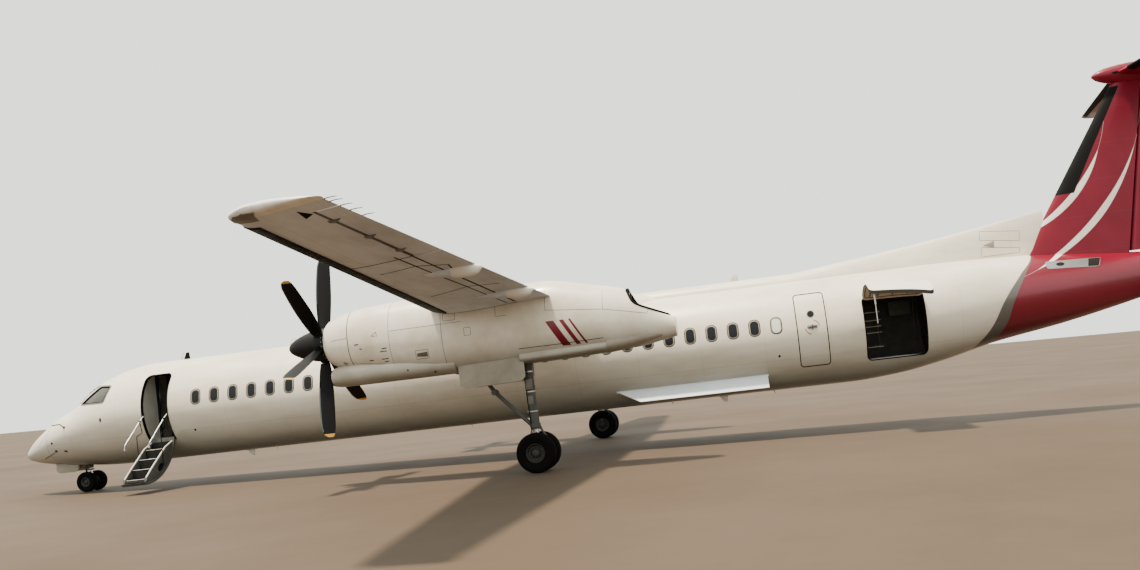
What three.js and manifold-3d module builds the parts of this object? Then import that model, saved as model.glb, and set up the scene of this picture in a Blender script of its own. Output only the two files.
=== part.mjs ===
import * as THREE from 'three';
import { mergeVertices } from 'three/addons/utils/BufferGeometryUtils.js';
import Module from 'manifold-3d';

// A twin turboprop airliner with a high wing and a T-tail, parked on its gear with its
// airstair and its rear baggage door open. All sizes are in millimetres.
// Airframe axes: x to port, y aft from the nose tip, z up from the fuselage axis.

const wasm = await Module();
wasm.setup();

// Driving dimensions

const TOUCH = 0.3; // gap between pieces that touch
const DOOR_GAP = 5; // gap between a gear door and the skin above it
const FREE = 10; // gap around pieces that move
const REACH = 3000; // past the outside of any piece that a block cuts

const STANCE = { pitch: 1.511, axisHeight: 1944, middle: 16348.8 };

const FUSELAGE = { radius: 1345, sides: 32, skin: 80, noseSkin: 45, floor: -790 };

// Barrel joints, as places along the fuselage
const JOINT = { nose: 4200, entry: 6000, front: 11900, centre: 17000, rear: 22900, bay: 26400 };

// Columns: y, top, bottom, height of the widest place, half width
const NOSE_STATIONS = [
  [0, -800, -880, -840, 40],
  [90, -680, -940, -825, 165],
  [250, -520, -1005, -795, 300],
  [500, -325, -1070, -740, 465],
  [950, -45, -1150, -630, 705],
  [1400, 200, -1205, -500, 890],
  [2000, 455, -1268, -335, 1062],
  [2720, 965, -1330, -150, 1225],
  [3150, 1145, -1343, -75, 1295],
  [3600, 1262, -1345, -25, 1330],
  [4200, 1345, -1345, 0, 1345],
];
const TAIL_STATIONS = [
  [22900, 1345, -1345, 0, 1345],
  [24000, 1345, -1275, 30, 1318],
  [25200, 1340, -1075, 110, 1205],
  [26400, 1310, -790, 230, 1015],
  [28200, 1195, -490, 330, 735],
  [30000, 1010, -105, 440, 455],
  [31700, 850, 330, 590, 170],
  [31950, 790, 450, 620, 90],
];
const TAIL_SKIN = 90;

// Cockpit windows as outlines: the windscreen's port half in x and z, the side's in y and z
const COCKPIT = {
  front: 2080, seat: 430,
  windscreen: [[45, 505], [800, 432], [722, 842], [45, 918]],
  sideWindow: [[2500, 402], [3360, 388], [3470, 805], [3045, 838]],
  glass: { front: 2110, back: 3540, bottom: 345, top: 960, gap: 6, thickness: 14 },
};
const NOSE_BAY = { half: 235, front: 1010, back: 2060, roof: -560 };

// Flat round pads under the airframe for its jacks. Columns: x, y, z of the flat face
const JACK_PAD = { radius: 55, nose: [0, 3700, -1360], main: [4395, 14200, -76] };

const AIRSTAIR = {
  front: 4520, back: 5250, top: 950, corner: 130, skin: 60, open: 132,
  hinge: { x: 1096, z: -785 },
  treadFront: 4620, treadBack: 5150, stringerFront: 4562, stringerBack: 5208,
  // Outer edge of the landing and of each tread, with the door open
  nosings: [[1185, -790], [1480, -1010], [1770, -1237], [2070, -1467], [2340, -1698]],
  rails: [4545, 5225], railPin: { x: 1670, z: -1400 }, railRadius: 15,
};
const BAGGAGE = {
  front: 23290, back: 24710, top: 650, bottom: -850, corner: 110, skin: 60, open: 98,
  hinge: { x: 1183, z: 655 }, floor: -850,
};

// Closed doors, flush with the skin. Columns: name, side, front, back, bottom, top
const CLOSED_DOORS = [
  ['rear_passenger_door', 1, 21690, 22400, -830, 930],
  ['rear_service_door', -1, 21690, 22400, -830, 930],
];
const CLOSED_DOOR = { thickness: 60, corner: 93, gap: 3 };

// The wing's stations. Columns: span place, leading edge y, z, trailing edge y, z,
// thickness, camber
const WING_STATIONS = {
  root: [0, 13870, 1372, 16570, 1282, 486, 0.024],
  crank: [4400, 13870, 1372, 16570, 1282, 486, 0.024],
  tip: [14000, 14822, 1802, 15990, 1866, 152, 0.02],
};
const SURFACE_CUT = 0.74; // chord fraction where flaps start
const AILERON_HINGE = 0.77;
const FLAP_SPANS = { inner: [1500, 3700], outer: [5120, 10640] };
const AILERON_SPAN = [10680, 13640];
const END_GAP = 18; // beside an aileron, whose hinge slopes with the wing
const TRACK_FAIRINGS = [6400, 9200];

const NACELLE = { x: 4395, lip: 11400, sides: 20 };
const NACELLE_STATIONS = [
  [11400, 1345, 505, 925, 420],
  [11480, 1425, 430, 925, 485],
  [11960, 1580, 300, 900, 560],
  [12900, 1660, 130, 850, 640],
  [14200, 1695, -60, 780, 665],
  [16300, 1695, 0, 760, 665],
  [17300, 1500, 20, 720, 620],
  [18100, 1290, 40, 650, 520],
  [19050, 590, 180, 380, 230],
];
const SCOOP_SIDES = 14;
const SCOOP_STATIONS = [
  [11440, 330, -20, 155, 330],
  [11540, 400, -50, 170, 390],
  [12300, 470, -60, 200, 450],
  [14300, 500, -55, 200, 540],
];
const ENGINE = { front: 11780, back: 13780, bottom: 420, top: 1330, half: 390 };
const GEAR_BAY = { front: 14420, back: 16020, half: 400, top: 930 };
const EXHAUST = { radius: 215, z: 940, front: 17350 };

const PROPELLER = { y: 11240, z: 925, tip: 2055, blades: 6, firstBlade: -9.06, shank: 72, hub: 210 };
// Columns: radius, chord, thickness, pitch from feathered in degrees, shift aft
const BLADE_STATIONS = [
  [415, 235, 118, -9, 0],
  [600, 300, 82, -7, 0],
  [1200, 358, 46, -2, 5],
  [1800, 326, 26, 4, 20],
  [1990, 240, 16, 5, 42],
  [2055, 110, 10, 6, 70],
];
// Columns: distance behind the tip, radius
const SPINNER_PROFILE = [
  [0, 0], [22, 62], [110, 146], [300, 243], [560, 328], [800, 374], [968, 390],
];
const SPINNER_TIP = 10400;

const MAIN_GEAR = {
  y: 15800, twin: 228, tyreRadius: 430, tyreWidth: 270, rim: 205, sides: 28,
  barrel: 95, piston: 60, axle: 42, barrelBottom: -1440, trunnion: 700, lean: 60,
  brace: { top: [14560, 110], knee: [14980, -560], radius: 45, kneeRadius: 62 },
};
// Torque links behind a main leg. Columns: half width, from and to behind the leg, bottom, top
const TORQUE_LINKS = [
  [45, 20, 190, -1560, -1510],
  [45, 150, 200, -1720, -1520],
  [45, 20, 190, -1730, -1690],
  [40, -20, 150, -1440, -1400],
  [40, 110, 160, -1530, -1400],
];
const NOSE_GEAR = {
  y: 1864, twin: 205, tyreRadius: 280, tyreWidth: 165, rim: 132, sides: 28,
  barrel: 70, piston: 46, axle: 30, barrelBottom: -1345, trunnion: -700,
  brace: { ahead: 620, z: -720 }, towFace: 128,
};
// Gear doors as outlines in y and z, each cut to the skin above it
const MAIN_DOOR = {
  outline: [[14360, 300], [14360, -330], [14470, -405], [15700, -380], [15790, -300], [15790, 300]],
  inner: 410, outer: 434,
};
const NOSE_DOOR = {
  outline: [[1010, -1000], [1010, -1330], [1080, -1400], [1620, -1405], [1690, -1330], [1690, -1000]],
  inner: 238, outer: 256,
};

const FIN = {
  foot: { z: 900, lead: 27240, trail: 31740, thickness: 420 },
  head: { z: 5200, lead: 30010, trail: 32180, thickness: 225 },
  rudderLow: 1060, rudderHigh: 5010,
  foreHinge: [30000, 30720], // hinge line's y at the foot and at the head
  aftHinge: [30940, 31500],
};
// Columns: y, top, half width
const DORSAL_STATIONS = [
  [17420, 1545, 250],
  [21500, 1545, 250],
  [23030, 1680, 235],
  [24530, 1840, 205],
  [26510, 2100, 150],
  [28000, 2330, 60],
];
const BULLET_STATIONS = [
  [29560, 5420, 5360, 5390, 30],
  [29640, 5480, 5290, 5390, 95],
  [29900, 5565, 5190, 5385, 165],
  [30500, 5625, 5105, 5370, 225],
  [31300, 5630, 5110, 5370, 235],
  [32200, 5560, 5235, 5395, 150],
  [32830, 5445, 5385, 5415, 28],
];
const TAILPLANE = {
  root: [0, 30080, 5375, 32480, 5375, 250, 0],
  tip: [4635, 30870, 5395, 32250, 5395, 135, 0],
  hinge: 0.6, elevator: [290, 4600],
};
const STRAKE = { angle: -43.8, front: 17130, tipFront: 17720, back: 20870, span: 420, thickness: 24 };

// Small helpers

const turn = (degrees) => THREE.MathUtils.degToRad(degrees);
const vec = (x, y, z) => new THREE.Vector3(x, y, z);
const mix = THREE.MathUtils.lerp;

// Solids

/** A solid from points and triangles, turned so that its faces point out. */
function solidFrom(points, faces) {
  const volume = faces.reduce((sum, [a, b, c]) => {
    return sum + points[a].dot(points[b].clone().cross(points[c]));
  }, 0);
  const ordered = volume < 0 ? faces.map(([a, b, c]) => [a, c, b]) : faces;
  return new wasm.Manifold(new wasm.Mesh({
    numProp: 3,
    vertProperties: new Float32Array(points.flatMap((p) => p.toArray())),
    triVerts: new Uint32Array(ordered.flat()),
  }));
}

/** The points and triangles of a solid. */
function partsOf(solid) {
  const mesh = solid.getMesh();
  const points = [];
  for (let i = 0; i < mesh.vertProperties.length; i += mesh.numProp) {
    points.push(vec(...mesh.vertProperties.slice(i, i + 3)));
  }
  const faces = [];
  for (let i = 0; i < mesh.triVerts.length; i += 3) faces.push([...mesh.triVerts.slice(i, i + 3)]);
  return { points, faces };
}

/** A solid from one of three.js's geometries. */
function solidOf(geometry) {
  const bare = geometry.clone();
  bare.deleteAttribute('normal');
  bare.deleteAttribute('uv');
  const merged = mergeVertices(bare, 1e-3);
  const { position } = merged.attributes;
  const points = Array.from({ length: position.count }, (_, i) => {
    return new THREE.Vector3().fromBufferAttribute(position, i);
  });
  const index = [...merged.index.array];
  const faces = [];
  for (let i = 0; i < index.length; i += 3) {
    const face = index.slice(i, i + 3);
    if (new Set(face).size === 3) faces.push(face);
  }
  return solidFrom(points, faces);
}

function geometryOf(solid) {
  const { points, faces } = partsOf(solid);
  const geometry = new THREE.BufferGeometry().setFromPoints(points);
  geometry.setIndex(faces.flat());
  geometry.computeVertexNormals();
  return geometry;
}

const join = (...solids) => solids.reduce((whole, next) => whole.add(next));
const cut = (solid, ...tools) => tools.reduce((rest, tool) => rest.subtract(tool), solid);

function moved(solid, matrix) {
  const { points, faces } = partsOf(solid);
  return solidFrom(points.map((p) => p.applyMatrix4(matrix)), faces);
}

const mirrored = (solid) => moved(solid, new THREE.Matrix4().makeScale(-1, 1, 1));
const shifted = (solid, x, y, z) => moved(solid, new THREE.Matrix4().makeTranslation(x, y, z));

/** Turns a solid about a line along y; a positive angle carries +x towards +z. */
function swung(solid, pivot, degrees) {
  const matrix = new THREE.Matrix4().makeTranslation(pivot.x, 0, pivot.z);
  matrix.multiply(new THREE.Matrix4().makeRotationY(-turn(degrees)));
  matrix.multiply(new THREE.Matrix4().makeTranslation(-pivot.x, 0, -pivot.z));
  return moved(solid, matrix);
}

// Rings and lofts

/** Pushes each corner of a flat ring outwards by a distance. */
function grown(ring, distance) {
  const centre = ring.reduce((sum, p) => sum.add(p), vec(0, 0, 0)).divideScalar(ring.length);
  const normal = vec(0, 0, 0);
  ring.forEach((p, i) => {
    const next = ring[(i + 1) % ring.length];
    normal.add(p.clone().sub(centre).cross(next.clone().sub(centre)));
  });
  normal.normalize();
  const outward = (a, b) => b.clone().sub(a).cross(normal).normalize();
  return ring.map((p, i) => {
    const before = ring[(i + ring.length - 1) % ring.length];
    const after = ring[(i + 1) % ring.length];
    const push = outward(before, p).add(outward(p, after));
    if (push.length() < 0.2) push.copy(p.clone().sub(centre));
    return p.clone().addScaledVector(push.normalize(), distance);
  });
}

/** Triangles of a flat ring, wound in the ring's own order. */
function capFaces(ring) {
  const centre = ring[0];
  const normal = vec(0, 0, 0);
  for (let i = 1; i < ring.length - 1; i += 1) {
    const side = ring[i].clone().sub(centre);
    normal.add(side.cross(ring[i + 1].clone().sub(centre)));
  }
  const flat = normal.toArray().map(Math.abs);
  const drop = flat.indexOf(Math.max(...flat));
  const [u, v] = [0, 1, 2].filter((axis) => axis !== drop);
  const outline = ring.map((p) => new THREE.Vector2(p.getComponent(u), p.getComponent(v)));
  const sense = Math.sign(THREE.ShapeUtils.area(outline));
  return THREE.ShapeUtils.triangulateShape(outline, []).map(([a, b, c]) => {
    const area = THREE.ShapeUtils.area([outline[a], outline[b], outline[c]]);
    return Math.sign(area) === sense ? [a, b, c] : [a, c, b];
  });
}

/** A solid through rings that have the same number of points. */
function loft(rings) {
  const count = rings[0].length;
  const last = (rings.length - 1) * count;
  const faces = [];
  for (let start = 0; start < last; start += count) {
    for (let i = 0; i < count; i += 1) {
      const a = start + i;
      const b = start + ((i + 1) % count);
      faces.push([a, b, b + count], [a, b + count, a + count]);
    }
  }
  capFaces(rings[0]).forEach(([a, b, c]) => faces.push([a, c, b]));
  capFaces(rings.at(-1)).forEach(([a, b, c]) => faces.push([last + a, last + b, last + c]));
  return solidFrom(rings.flat(), faces);
}

/** A rounded ring across the fuselage or nacelle, at one row of a station table. */
function bodyRing([y, top, bottom, widest, half], sides, inset = 0, x = 0, power = 2) {
  return Array.from({ length: sides }, (_, i) => {
    const angle = (2 * Math.PI * i) / sides;
    const bend = (value) => Math.sign(value) * Math.abs(value) ** (2 / power);
    const height = Math.sin(angle) > 0 ? top - widest : widest - bottom;
    return vec(
      x + (half - inset) * bend(Math.cos(angle)),
      y,
      widest + (height - inset) * bend(Math.sin(angle)),
    );
  });
}

/** A station table's row at any place between its rows. */
function stationAt(table, y) {
  const next = Math.max(1, table.findIndex((row) => row[0] >= y));
  const [low, high] = [table[next - 1], table[next]];
  const share = (y - low[0]) / (high[0] - low[0]);
  return low.map((value, i) => mix(value, high[i], share));
}

/** The rows of a table from one place to another, with rows made at both ends. */
function stationsBetween(table, from, to) {
  const inside = table.filter(([y]) => y > from + 1 && y < to - 1);
  return [stationAt(table, from), ...inside, stationAt(table, to)];
}

const bodyLoft = (table, from, to, inset = 0) => loft(
  stationsBetween(table, from, to).map((row) => bodyRing(row, FUSELAGE.sides, inset)),
);

function barrel(from, to, inset = 0) {
  const { radius, sides } = FUSELAGE;
  return loft([from, to].map((y) => bodyRing([y, radius, -radius, 0, radius], sides, inset)));
}

function box(x0, x1, y0, y1, z0, z1) {
  const geometry = new THREE.BoxGeometry(x1 - x0, y1 - y0, z1 - z0);
  return solidOf(geometry.translate((x0 + x1) / 2, (y0 + y1) / 2, (z0 + z1) / 2));
}

/** A round bar from one point to another. */
function bar(from, to, radius, sides = 10) {
  const geometry = new THREE.CylinderGeometry(radius, radius, from.distanceTo(to), sides);
  const along = to.clone().sub(from).normalize();
  geometry.applyQuaternion(new THREE.Quaternion().setFromUnitVectors(vec(0, 1, 0), along));
  const middle = from.clone().add(to).divideScalar(2);
  return solidOf(geometry.translate(middle.x, middle.y, middle.z));
}

/** A bent tube through points that share one y, mitred at its bends. */
function tube(points, radius, sides = 8) {
  const heading = (from, to) => to.clone().sub(from).setY(0).normalize();
  const last = points.length - 1;
  return loft(points.map((point, i) => {
    const before = heading(points[Math.max(i - 1, 0)], points[Math.max(i, 1)]);
    const after = heading(points[Math.min(i, last - 1)], points[Math.min(i + 1, last)]);
    const along = before.clone().add(after).normalize();
    const across = vec(along.z, 0, -along.x).divideScalar(Math.max(0.4, along.dot(before)));
    return Array.from({ length: sides }, (_, k) => {
      const angle = (2 * Math.PI * (k + 0.5)) / sides;
      const offset = across.clone().multiplyScalar(radius * Math.cos(angle));
      return point.clone().add(offset).add(vec(0, radius * Math.sin(angle), 0));
    });
  }));
}

/** A flat outline of [y, z] pairs, drawn along x. */
const alongX = (outline, x0, x1) => loft([x0, x1].map((x) => outline.map(([y, z]) => vec(x, y, z))));

/** A flat outline of [x, z] pairs, drawn along y. */
const alongY = (outline, y0, y1) => loft([y0, y1].map((y) => outline.map(([x, z]) => vec(x, y, z))));

/** An upright rectangle with round corners, as pairs. */
function roundedOutline(u0, u1, v0, v1, radius, steps = 3) {
  const corners = [[u1, v1, 0], [u0, v1, 90], [u0, v0, 180], [u1, v0, 270]];
  return corners.flatMap(([u, v, start]) => {
    const centre = [u - Math.sign(u - u0 || -1) * radius, v - Math.sign(v - v0 || -1) * radius];
    return Array.from({ length: steps + 1 }, (_, i) => {
      const angle = turn(start + (90 * i) / steps);
      return [centre[0] + radius * Math.cos(angle), centre[1] + radius * Math.sin(angle)];
    });
  });
}

/** A profile of [along, radius] pairs turned about a line along x through a point. */
function turnedX(profile, centre, sides, start = 0) {
  const points = profile.map(([along, radius]) => new THREE.Vector2(radius, along));
  const geometry = new THREE.LatheGeometry(points, sides, turn(start));
  return solidOf(geometry.rotateZ(-Math.PI / 2).translate(centre.x, centre.y, centre.z));
}

/** A profile of [along, radius] pairs turned about a line along y through a point. */
function turnedY(profile, centre, sides) {
  const points = profile.map(([along, radius]) => new THREE.Vector2(radius, along));
  return solidOf(new THREE.LatheGeometry(points, sides).translate(centre.x, centre.y, centre.z));
}

// Flying surfaces

const CHORD_PLACES = [1, 0.93, 0.85, 0.77, 0.62, 0.44, 0.28, 0.14, 0.05, 0.012];

/** Half the thickness of a wing section of thickness 1, at a chord fraction. */
function halfThickness(c) {
  return 5 * (0.2969 * Math.sqrt(c) - 0.126 * c - 0.3516 * c ** 2 + 0.2843 * c ** 3 - 0.1015 * c ** 4);
}

/** A straight panel of wing, tailplane or fin between two end stations. */
class Panel {
  constructor(root, tip, upright = false) {
    this.ends = [root, tip];
    this.upright = upright;
  }

  /** A point of the skin: share of the span, chord fraction, and side 1, -1 or 0 inside. */
  point(share, chord, side) {
    const [root, tip] = this.ends.map(([span, leadY, leadZ, trailY, trailZ, thickness, camber]) => {
      const length = trailY - leadY;
      const bow = 4 * camber * chord * (1 - chord) * length;
      const rise = bow + side * halfThickness(chord) * thickness;
      const y = mix(leadY, trailY, chord);
      const level = mix(leadZ, trailZ, chord);
      return this.upright ? vec(rise, y, span) : vec(span, y, level + rise);
    });
    return root.lerp(tip, share);
  }

  share(span) {
    const [root, tip] = this.ends;
    return (span - root[0]) / (tip[0] - root[0]);
  }

  ring(share, places = CHORD_PLACES) {
    const upper = places.map((chord) => this.point(share, chord, 1));
    const lower = places.map((chord) => this.point(share, chord, -1)).reverse();
    return [...upper, this.point(share, 0, 0), ...lower];
  }

  solid(from, to, grow = 0) {
    return loft([from, to].map((span) => {
      const ring = this.ring(this.share(span));
      return grow ? grown(ring, grow) : ring;
    }));
  }

  /** Half the skin's depth at a hinge, which is its round nose's radius. */
  depth(share, chord) {
    return this.point(share, chord, 1).distanceTo(this.point(share, chord, -1)) / 2;
  }

  /** The space behind a line on the chord, from one span place to another. */
  slot(from, to, chordOf, ahead = () => 0) {
    return loft([from, to].map((span) => {
      const share = this.share(span);
      const chord = chordOf(share);
      const start = this.point(share, chord, 0).y - ahead(share);
      const end = this.point(share, 1, 0).y + 300;
      const middle = this.point(share, chord, 0);
      const deep = 320;
      return [[start, -deep], [end, -deep], [end, deep], [start, deep]].map(([y, off]) => {
        return this.upright ? vec(off, y, middle.z) : vec(middle.x, y, middle.z + off);
      });
    }));
  }

  /** A piece from one chord fraction to another, with a round nose on its hinge if asked. */
  piece(from, to, chordOf, endOf, roundNose) {
    return loft([from, to].map((span) => {
      const share = this.share(span);
      const [start, end] = [chordOf(share), endOf(share)];
      const places = [end, mix(start, end, 0.66), mix(start, end, 0.33), start];
      const upper = places.map((chord) => this.point(share, chord, 1));
      const lower = places.map((chord) => this.point(share, chord, -1)).reverse();
      const middle = this.point(share, start, 1).lerp(this.point(share, start, -1), 0.5);
      const radius = this.depth(share, start);
      const nose = roundNose ? [60, 30, 0, -30, -60].map((angle) => {
        const [y, off] = [-radius * Math.cos(turn(angle)), radius * Math.sin(turn(angle))];
        const out = this.upright ? vec(off, 0, 0) : vec(0, 0, off);
        return middle.clone().add(vec(0, y, 0)).add(out);
      }) : [];
      return [...upper, ...nose, ...lower];
    }));
  }
}

// Fuselage

/** A block through the fuselage's side, of an outline of [y, z] pairs. */
const skinCutter = (outline, side) => {
  const [inner, outer] = [FUSELAGE.radius - 600, FUSELAGE.radius + 200];
  return side > 0 ? alongX(outline, inner, outer) : alongX(outline, -outer, -inner);
};

/** Everything above a floor, to keep the solid keel below it. */
const above = (z) => box(-REACH, REACH, -REACH, 33000, z, REACH);

function jackPad([x, y, z]) {
  return bar(vec(x, y, z), vec(x, y, z + 60), JACK_PAD.radius, 16);
}

function windowCutters() {
  const front = alongY(COCKPIT.windscreen, 1500, 3300);
  const side = alongX(COCKPIT.sideWindow, 500, REACH);
  return [front, mirrored(front), side, mirrored(side)];
}

function noseSection() {
  const outer = bodyLoft(NOSE_STATIONS, 0, JOINT.nose - TOUCH / 2);
  const [, ...lastRow] = NOSE_STATIONS.at(-1);
  const stations = stationsBetween(NOSE_STATIONS, COCKPIT.front, JOINT.nose);
  stations.push([JOINT.nose + 50, ...lastRow]);
  const room = loft(stations.map((row) => bodyRing(row, FUSELAGE.sides, FUSELAGE.noseSkin)));
  const { half, front, back, roof } = NOSE_BAY;
  const bay = box(-half, half, front, back, -REACH, roof);
  const shell = cut(outer, room.intersect(above(FUSELAGE.floor)), bay, ...windowCutters());
  return join(shell, jackPad(JACK_PAD.nose));
}

/** One curved band of glass behind all four cockpit windows. */
function cockpitGlazing() {
  const { front, back, bottom, top, gap, thickness } = COCKPIT.glass;
  const inset = FUSELAGE.noseSkin + gap;
  const outer = bodyLoft(NOSE_STATIONS, front - 10, back + 20, inset);
  const inner = bodyLoft(NOSE_STATIONS, front - 100, back + 100, inset + thickness);
  return cut(outer, inner).intersect(box(-REACH, REACH, front, back, bottom, top));
}

/** Floor panel, instrument panel, pedestal and two seats. */
function flightDeck() {
  const floor = FUSELAGE.floor + TOUCH;
  const foot = floor + 20;
  const seats = [-COCKPIT.seat, COCKPIT.seat].flatMap((x) => [
    box(x - 90, x + 90, 3200, 3500, foot, -380),
    box(x - 230, x + 230, 3080, 3560, -400, -280),
    box(x - 220, x + 220, 3540, 3660, -390, 330),
  ]);
  return join(
    box(-560, 560, 2420, 3900, floor, floor + 30),
    box(-740, 740, 2400, 2560, foot, 250),
    box(-150, 150, 2550, 3150, foot, -180),
    ...seats,
  );
}

function airstairOutline(gap) {
  const { front, back, top, corner } = AIRSTAIR;
  const foot = FUSELAGE.floor;
  const outline = roundedOutline(front + gap, back - gap, foot - 400, top - gap, corner - gap);
  return outline.map(([y, z]) => [y, Math.max(z, foot + gap)]);
}

function entrySection() {
  const [from, to] = [JOINT.nose + TOUCH / 2, JOINT.entry - TOUCH / 2];
  const room = barrel(4300, 5850, FUSELAGE.skin).intersect(above(FUSELAGE.floor));
  const doorway = alongY(roundedOutline(-320, 320, FUSELAGE.floor, 1040, 120), 4100, 4400);
  const { front, back, top, corner } = AIRSTAIR;
  const opening = roundedOutline(front, back, FUSELAGE.floor - 400, top, corner);
  const side = skinCutter(opening, 1).intersect(above(FUSELAGE.floor));
  return cut(barrel(from, to), room, doorway, side);
}

/** A patch of the fuselage's skin inside an outline, from one depth to another. */
function skinPatch(outline, depth, side = 1, start = 0) {
  const places = outline.map(([y]) => y);
  const [low, high] = [Math.min(...places), Math.max(...places)];
  const outer = barrel(low - 50, high + 50, start);
  const inner = barrel(low - 90, high + 90, depth);
  return cut(outer, inner).intersect(skinCutter(outline, side));
}

/** A closed door, smaller than its pocket all round by a gap. */
function closedDoor([, side, front, back, bottom, top], gap) {
  const { thickness, corner } = CLOSED_DOOR;
  const outline = roundedOutline(front + gap, back - gap, bottom + gap, top - gap, corner - gap);
  return skinPatch(outline, thickness, side);
}

function closedDoorPocket([, side, front, back, bottom, top]) {
  const outline = roundedOutline(front, back, bottom, top, CLOSED_DOOR.corner);
  return skinPatch(outline, CLOSED_DOOR.thickness + TOUCH, side, -80);
}

function strake() {
  const { radius } = FUSELAGE;
  const { angle, front, tipFront, back, span, thickness } = STRAKE;
  const plan = [[radius - 60, front - 80], [radius + span, tipFront], [radius + span, back],
    [radius - 60, back]];
  const rings = [-thickness / 2, thickness / 2].map((z) => plan.map(([x, y]) => vec(x, y, z)));
  return swung(loft(rings), { x: 0, z: 0 }, angle);
}

function baggageOutline(gap) {
  const { front, back, top, bottom, corner } = BAGGAGE;
  return roundedOutline(front + gap, back - gap, bottom + gap, top - gap, corner - gap);
}

function aftSection() {
  const outer = bodyLoft(TAIL_STATIONS, JOINT.rear + TOUCH / 2, JOINT.bay - TOUCH / 2);
  const room = bodyLoft(TAIL_STATIONS, 23050, 25150, FUSELAGE.skin);
  return cut(outer, room.intersect(above(BAGGAGE.floor)), skinCutter(baggageOutline(0), 1));
}

function tailCone() {
  const outer = bodyLoft(TAIL_STATIONS, JOINT.bay + TOUCH / 2, 31950);
  const inner = bodyLoft(TAIL_STATIONS, JOINT.bay - 100, 31000, TAIL_SKIN);
  return cut(outer, inner);
}

/** A patch of the tapering tail's skin, for the baggage door. */
function baggagePatch() {
  const outer = bodyLoft(TAIL_STATIONS, 23000, 25100);
  const inner = bodyLoft(TAIL_STATIONS, 22950, 25150, BAGGAGE.skin);
  return cut(outer, inner).intersect(skinCutter(baggageOutline(FREE), 1));
}

const baggageDoor = () => swung(baggagePatch(), BAGGAGE.hinge, BAGGAGE.open);

function airstairDoor() {
  const { nosings, treadFront, treadBack, stringerFront, stringerBack, open, hinge, skin } = AIRSTAIR;
  const closed = skinPatch(airstairOutline(FREE), skin);
  const shell = swung(closed, hinge, -open);
  // The stair block: stepped on top, its underside inside the shell
  const steps = nosings.slice(1).flatMap(([x, z], i) => [[nosings[i][0] - 8, z], [x, z]]);
  const under = [[2400, -1765], [2130, -1800], [1850, -1690], [1480, -1420], [1150, -1060]];
  const block = alongY([...steps, ...under], treadFront, treadBack);
  const edge = nosings.slice(1).map(([x, z]) => [x + 12, z + 30]);
  const cheek = [[1150, -835], ...edge, ...under];
  const cheeks = [[stringerFront, treadFront + 1], [treadBack - 1, stringerBack]].map(([a, b]) => {
    return alongY(cheek, a, b);
  });
  const air = alongY([...steps, [2360, -900], [1170, -600]], treadFront, treadBack);
  const pin = AIRSTAIR.railPin;
  const bore = bar(vec(pin.x, 4400, pin.z), vec(pin.x, 5400, pin.z), AIRSTAIR.railRadius + 7);
  return cut(join(cut(shell, air), block, ...cheeks), bore);
}

/** Both handrails, on a shaft across the stair. */
function airstairRails() {
  const { railPin, railRadius } = AIRSTAIR;
  const onPin = (y) => vec(railPin.x, y, railPin.z);
  const rail = (y) => join(
    tube([vec(1330, y, -120), vec(1455, y, -205), vec(2170, y, -830), vec(2170, y, -945)], railRadius),
    tube([vec(1495, y, -240), vec(1430, y, -544), vec(railPin.x, y, -620), onPin(y)], railRadius * 0.8),
    bar(onPin(y - 12), onPin(y + 12), railRadius * 2),
  );
  const [front, back] = AIRSTAIR.rails;
  return join(rail(front), rail(back), bar(onPin(front), onPin(back), railRadius));
}

// Wing

const inboard = new Panel(WING_STATIONS.root, WING_STATIONS.crank);
const outboard = new Panel(WING_STATIONS.crank, WING_STATIONS.tip);
const CRANK = WING_STATIONS.crank[0];
const WING_TIP = WING_STATIONS.tip[0];
const flapStart = () => SURFACE_CUT;
const flapNose = () => SURFACE_CUT + 0.006;
const toTrailingEdge = () => 1;
const aileronHinge = () => AILERON_HINGE;

function centreWing() {
  const end = CRANK - TOUCH / 2;
  const [from, to] = FLAP_SPANS.inner;
  const flapSpace = inboard.slot(from - FREE, to + FREE, flapStart);
  return cut(inboard.solid(-end, end), flapSpace, mirrored(flapSpace));
}

/** The wing's space, a little larger, for cutting what fits round it. */
function wingSpace() {
  const outer = outboard.solid(CRANK - 4, 6000, TOUCH * 2);
  return join(inboard.solid(-CRANK - 4, CRANK + 4, TOUCH * 2), outer, mirrored(outer));
}

/** Rounded wing tip beyond the last station. */
function wingTip() {
  const ring = outboard.ring(1);
  const centre = outboard.point(1, 0.5, 0);
  const steps = [[0, 1, 1], [130, 0.92, 0.72], [212, 0.62, 0.14]];
  return loft(steps.map(([out, length, depth]) => ring.map((p) => vec(
    p.x + out, centre.y + (p.y - centre.y) * length + out * 0.5, centre.z + (p.z - centre.z) * depth,
  ))));
}

function trackFairing(x) {
  const share = outboard.share(x);
  const under = outboard.point(share, 0.6, -1);
  const start = outboard.point(share, 0.45, -1).y;
  const end = outboard.point(share, 1, 0).y + 230;
  const rows = [[0, 15], [0.25, 78], [0.6, 92], [0.88, 62], [1, 14]];
  return loft(rows.map(([place, radius]) => {
    const y = mix(start, end, place);
    const drop = mix(40, -10, place);
    return bodyRing([y, under.z - drop + radius, under.z - drop - radius * 1.35, under.z - drop, radius],
      8, 0, x);
  }));
}

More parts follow.
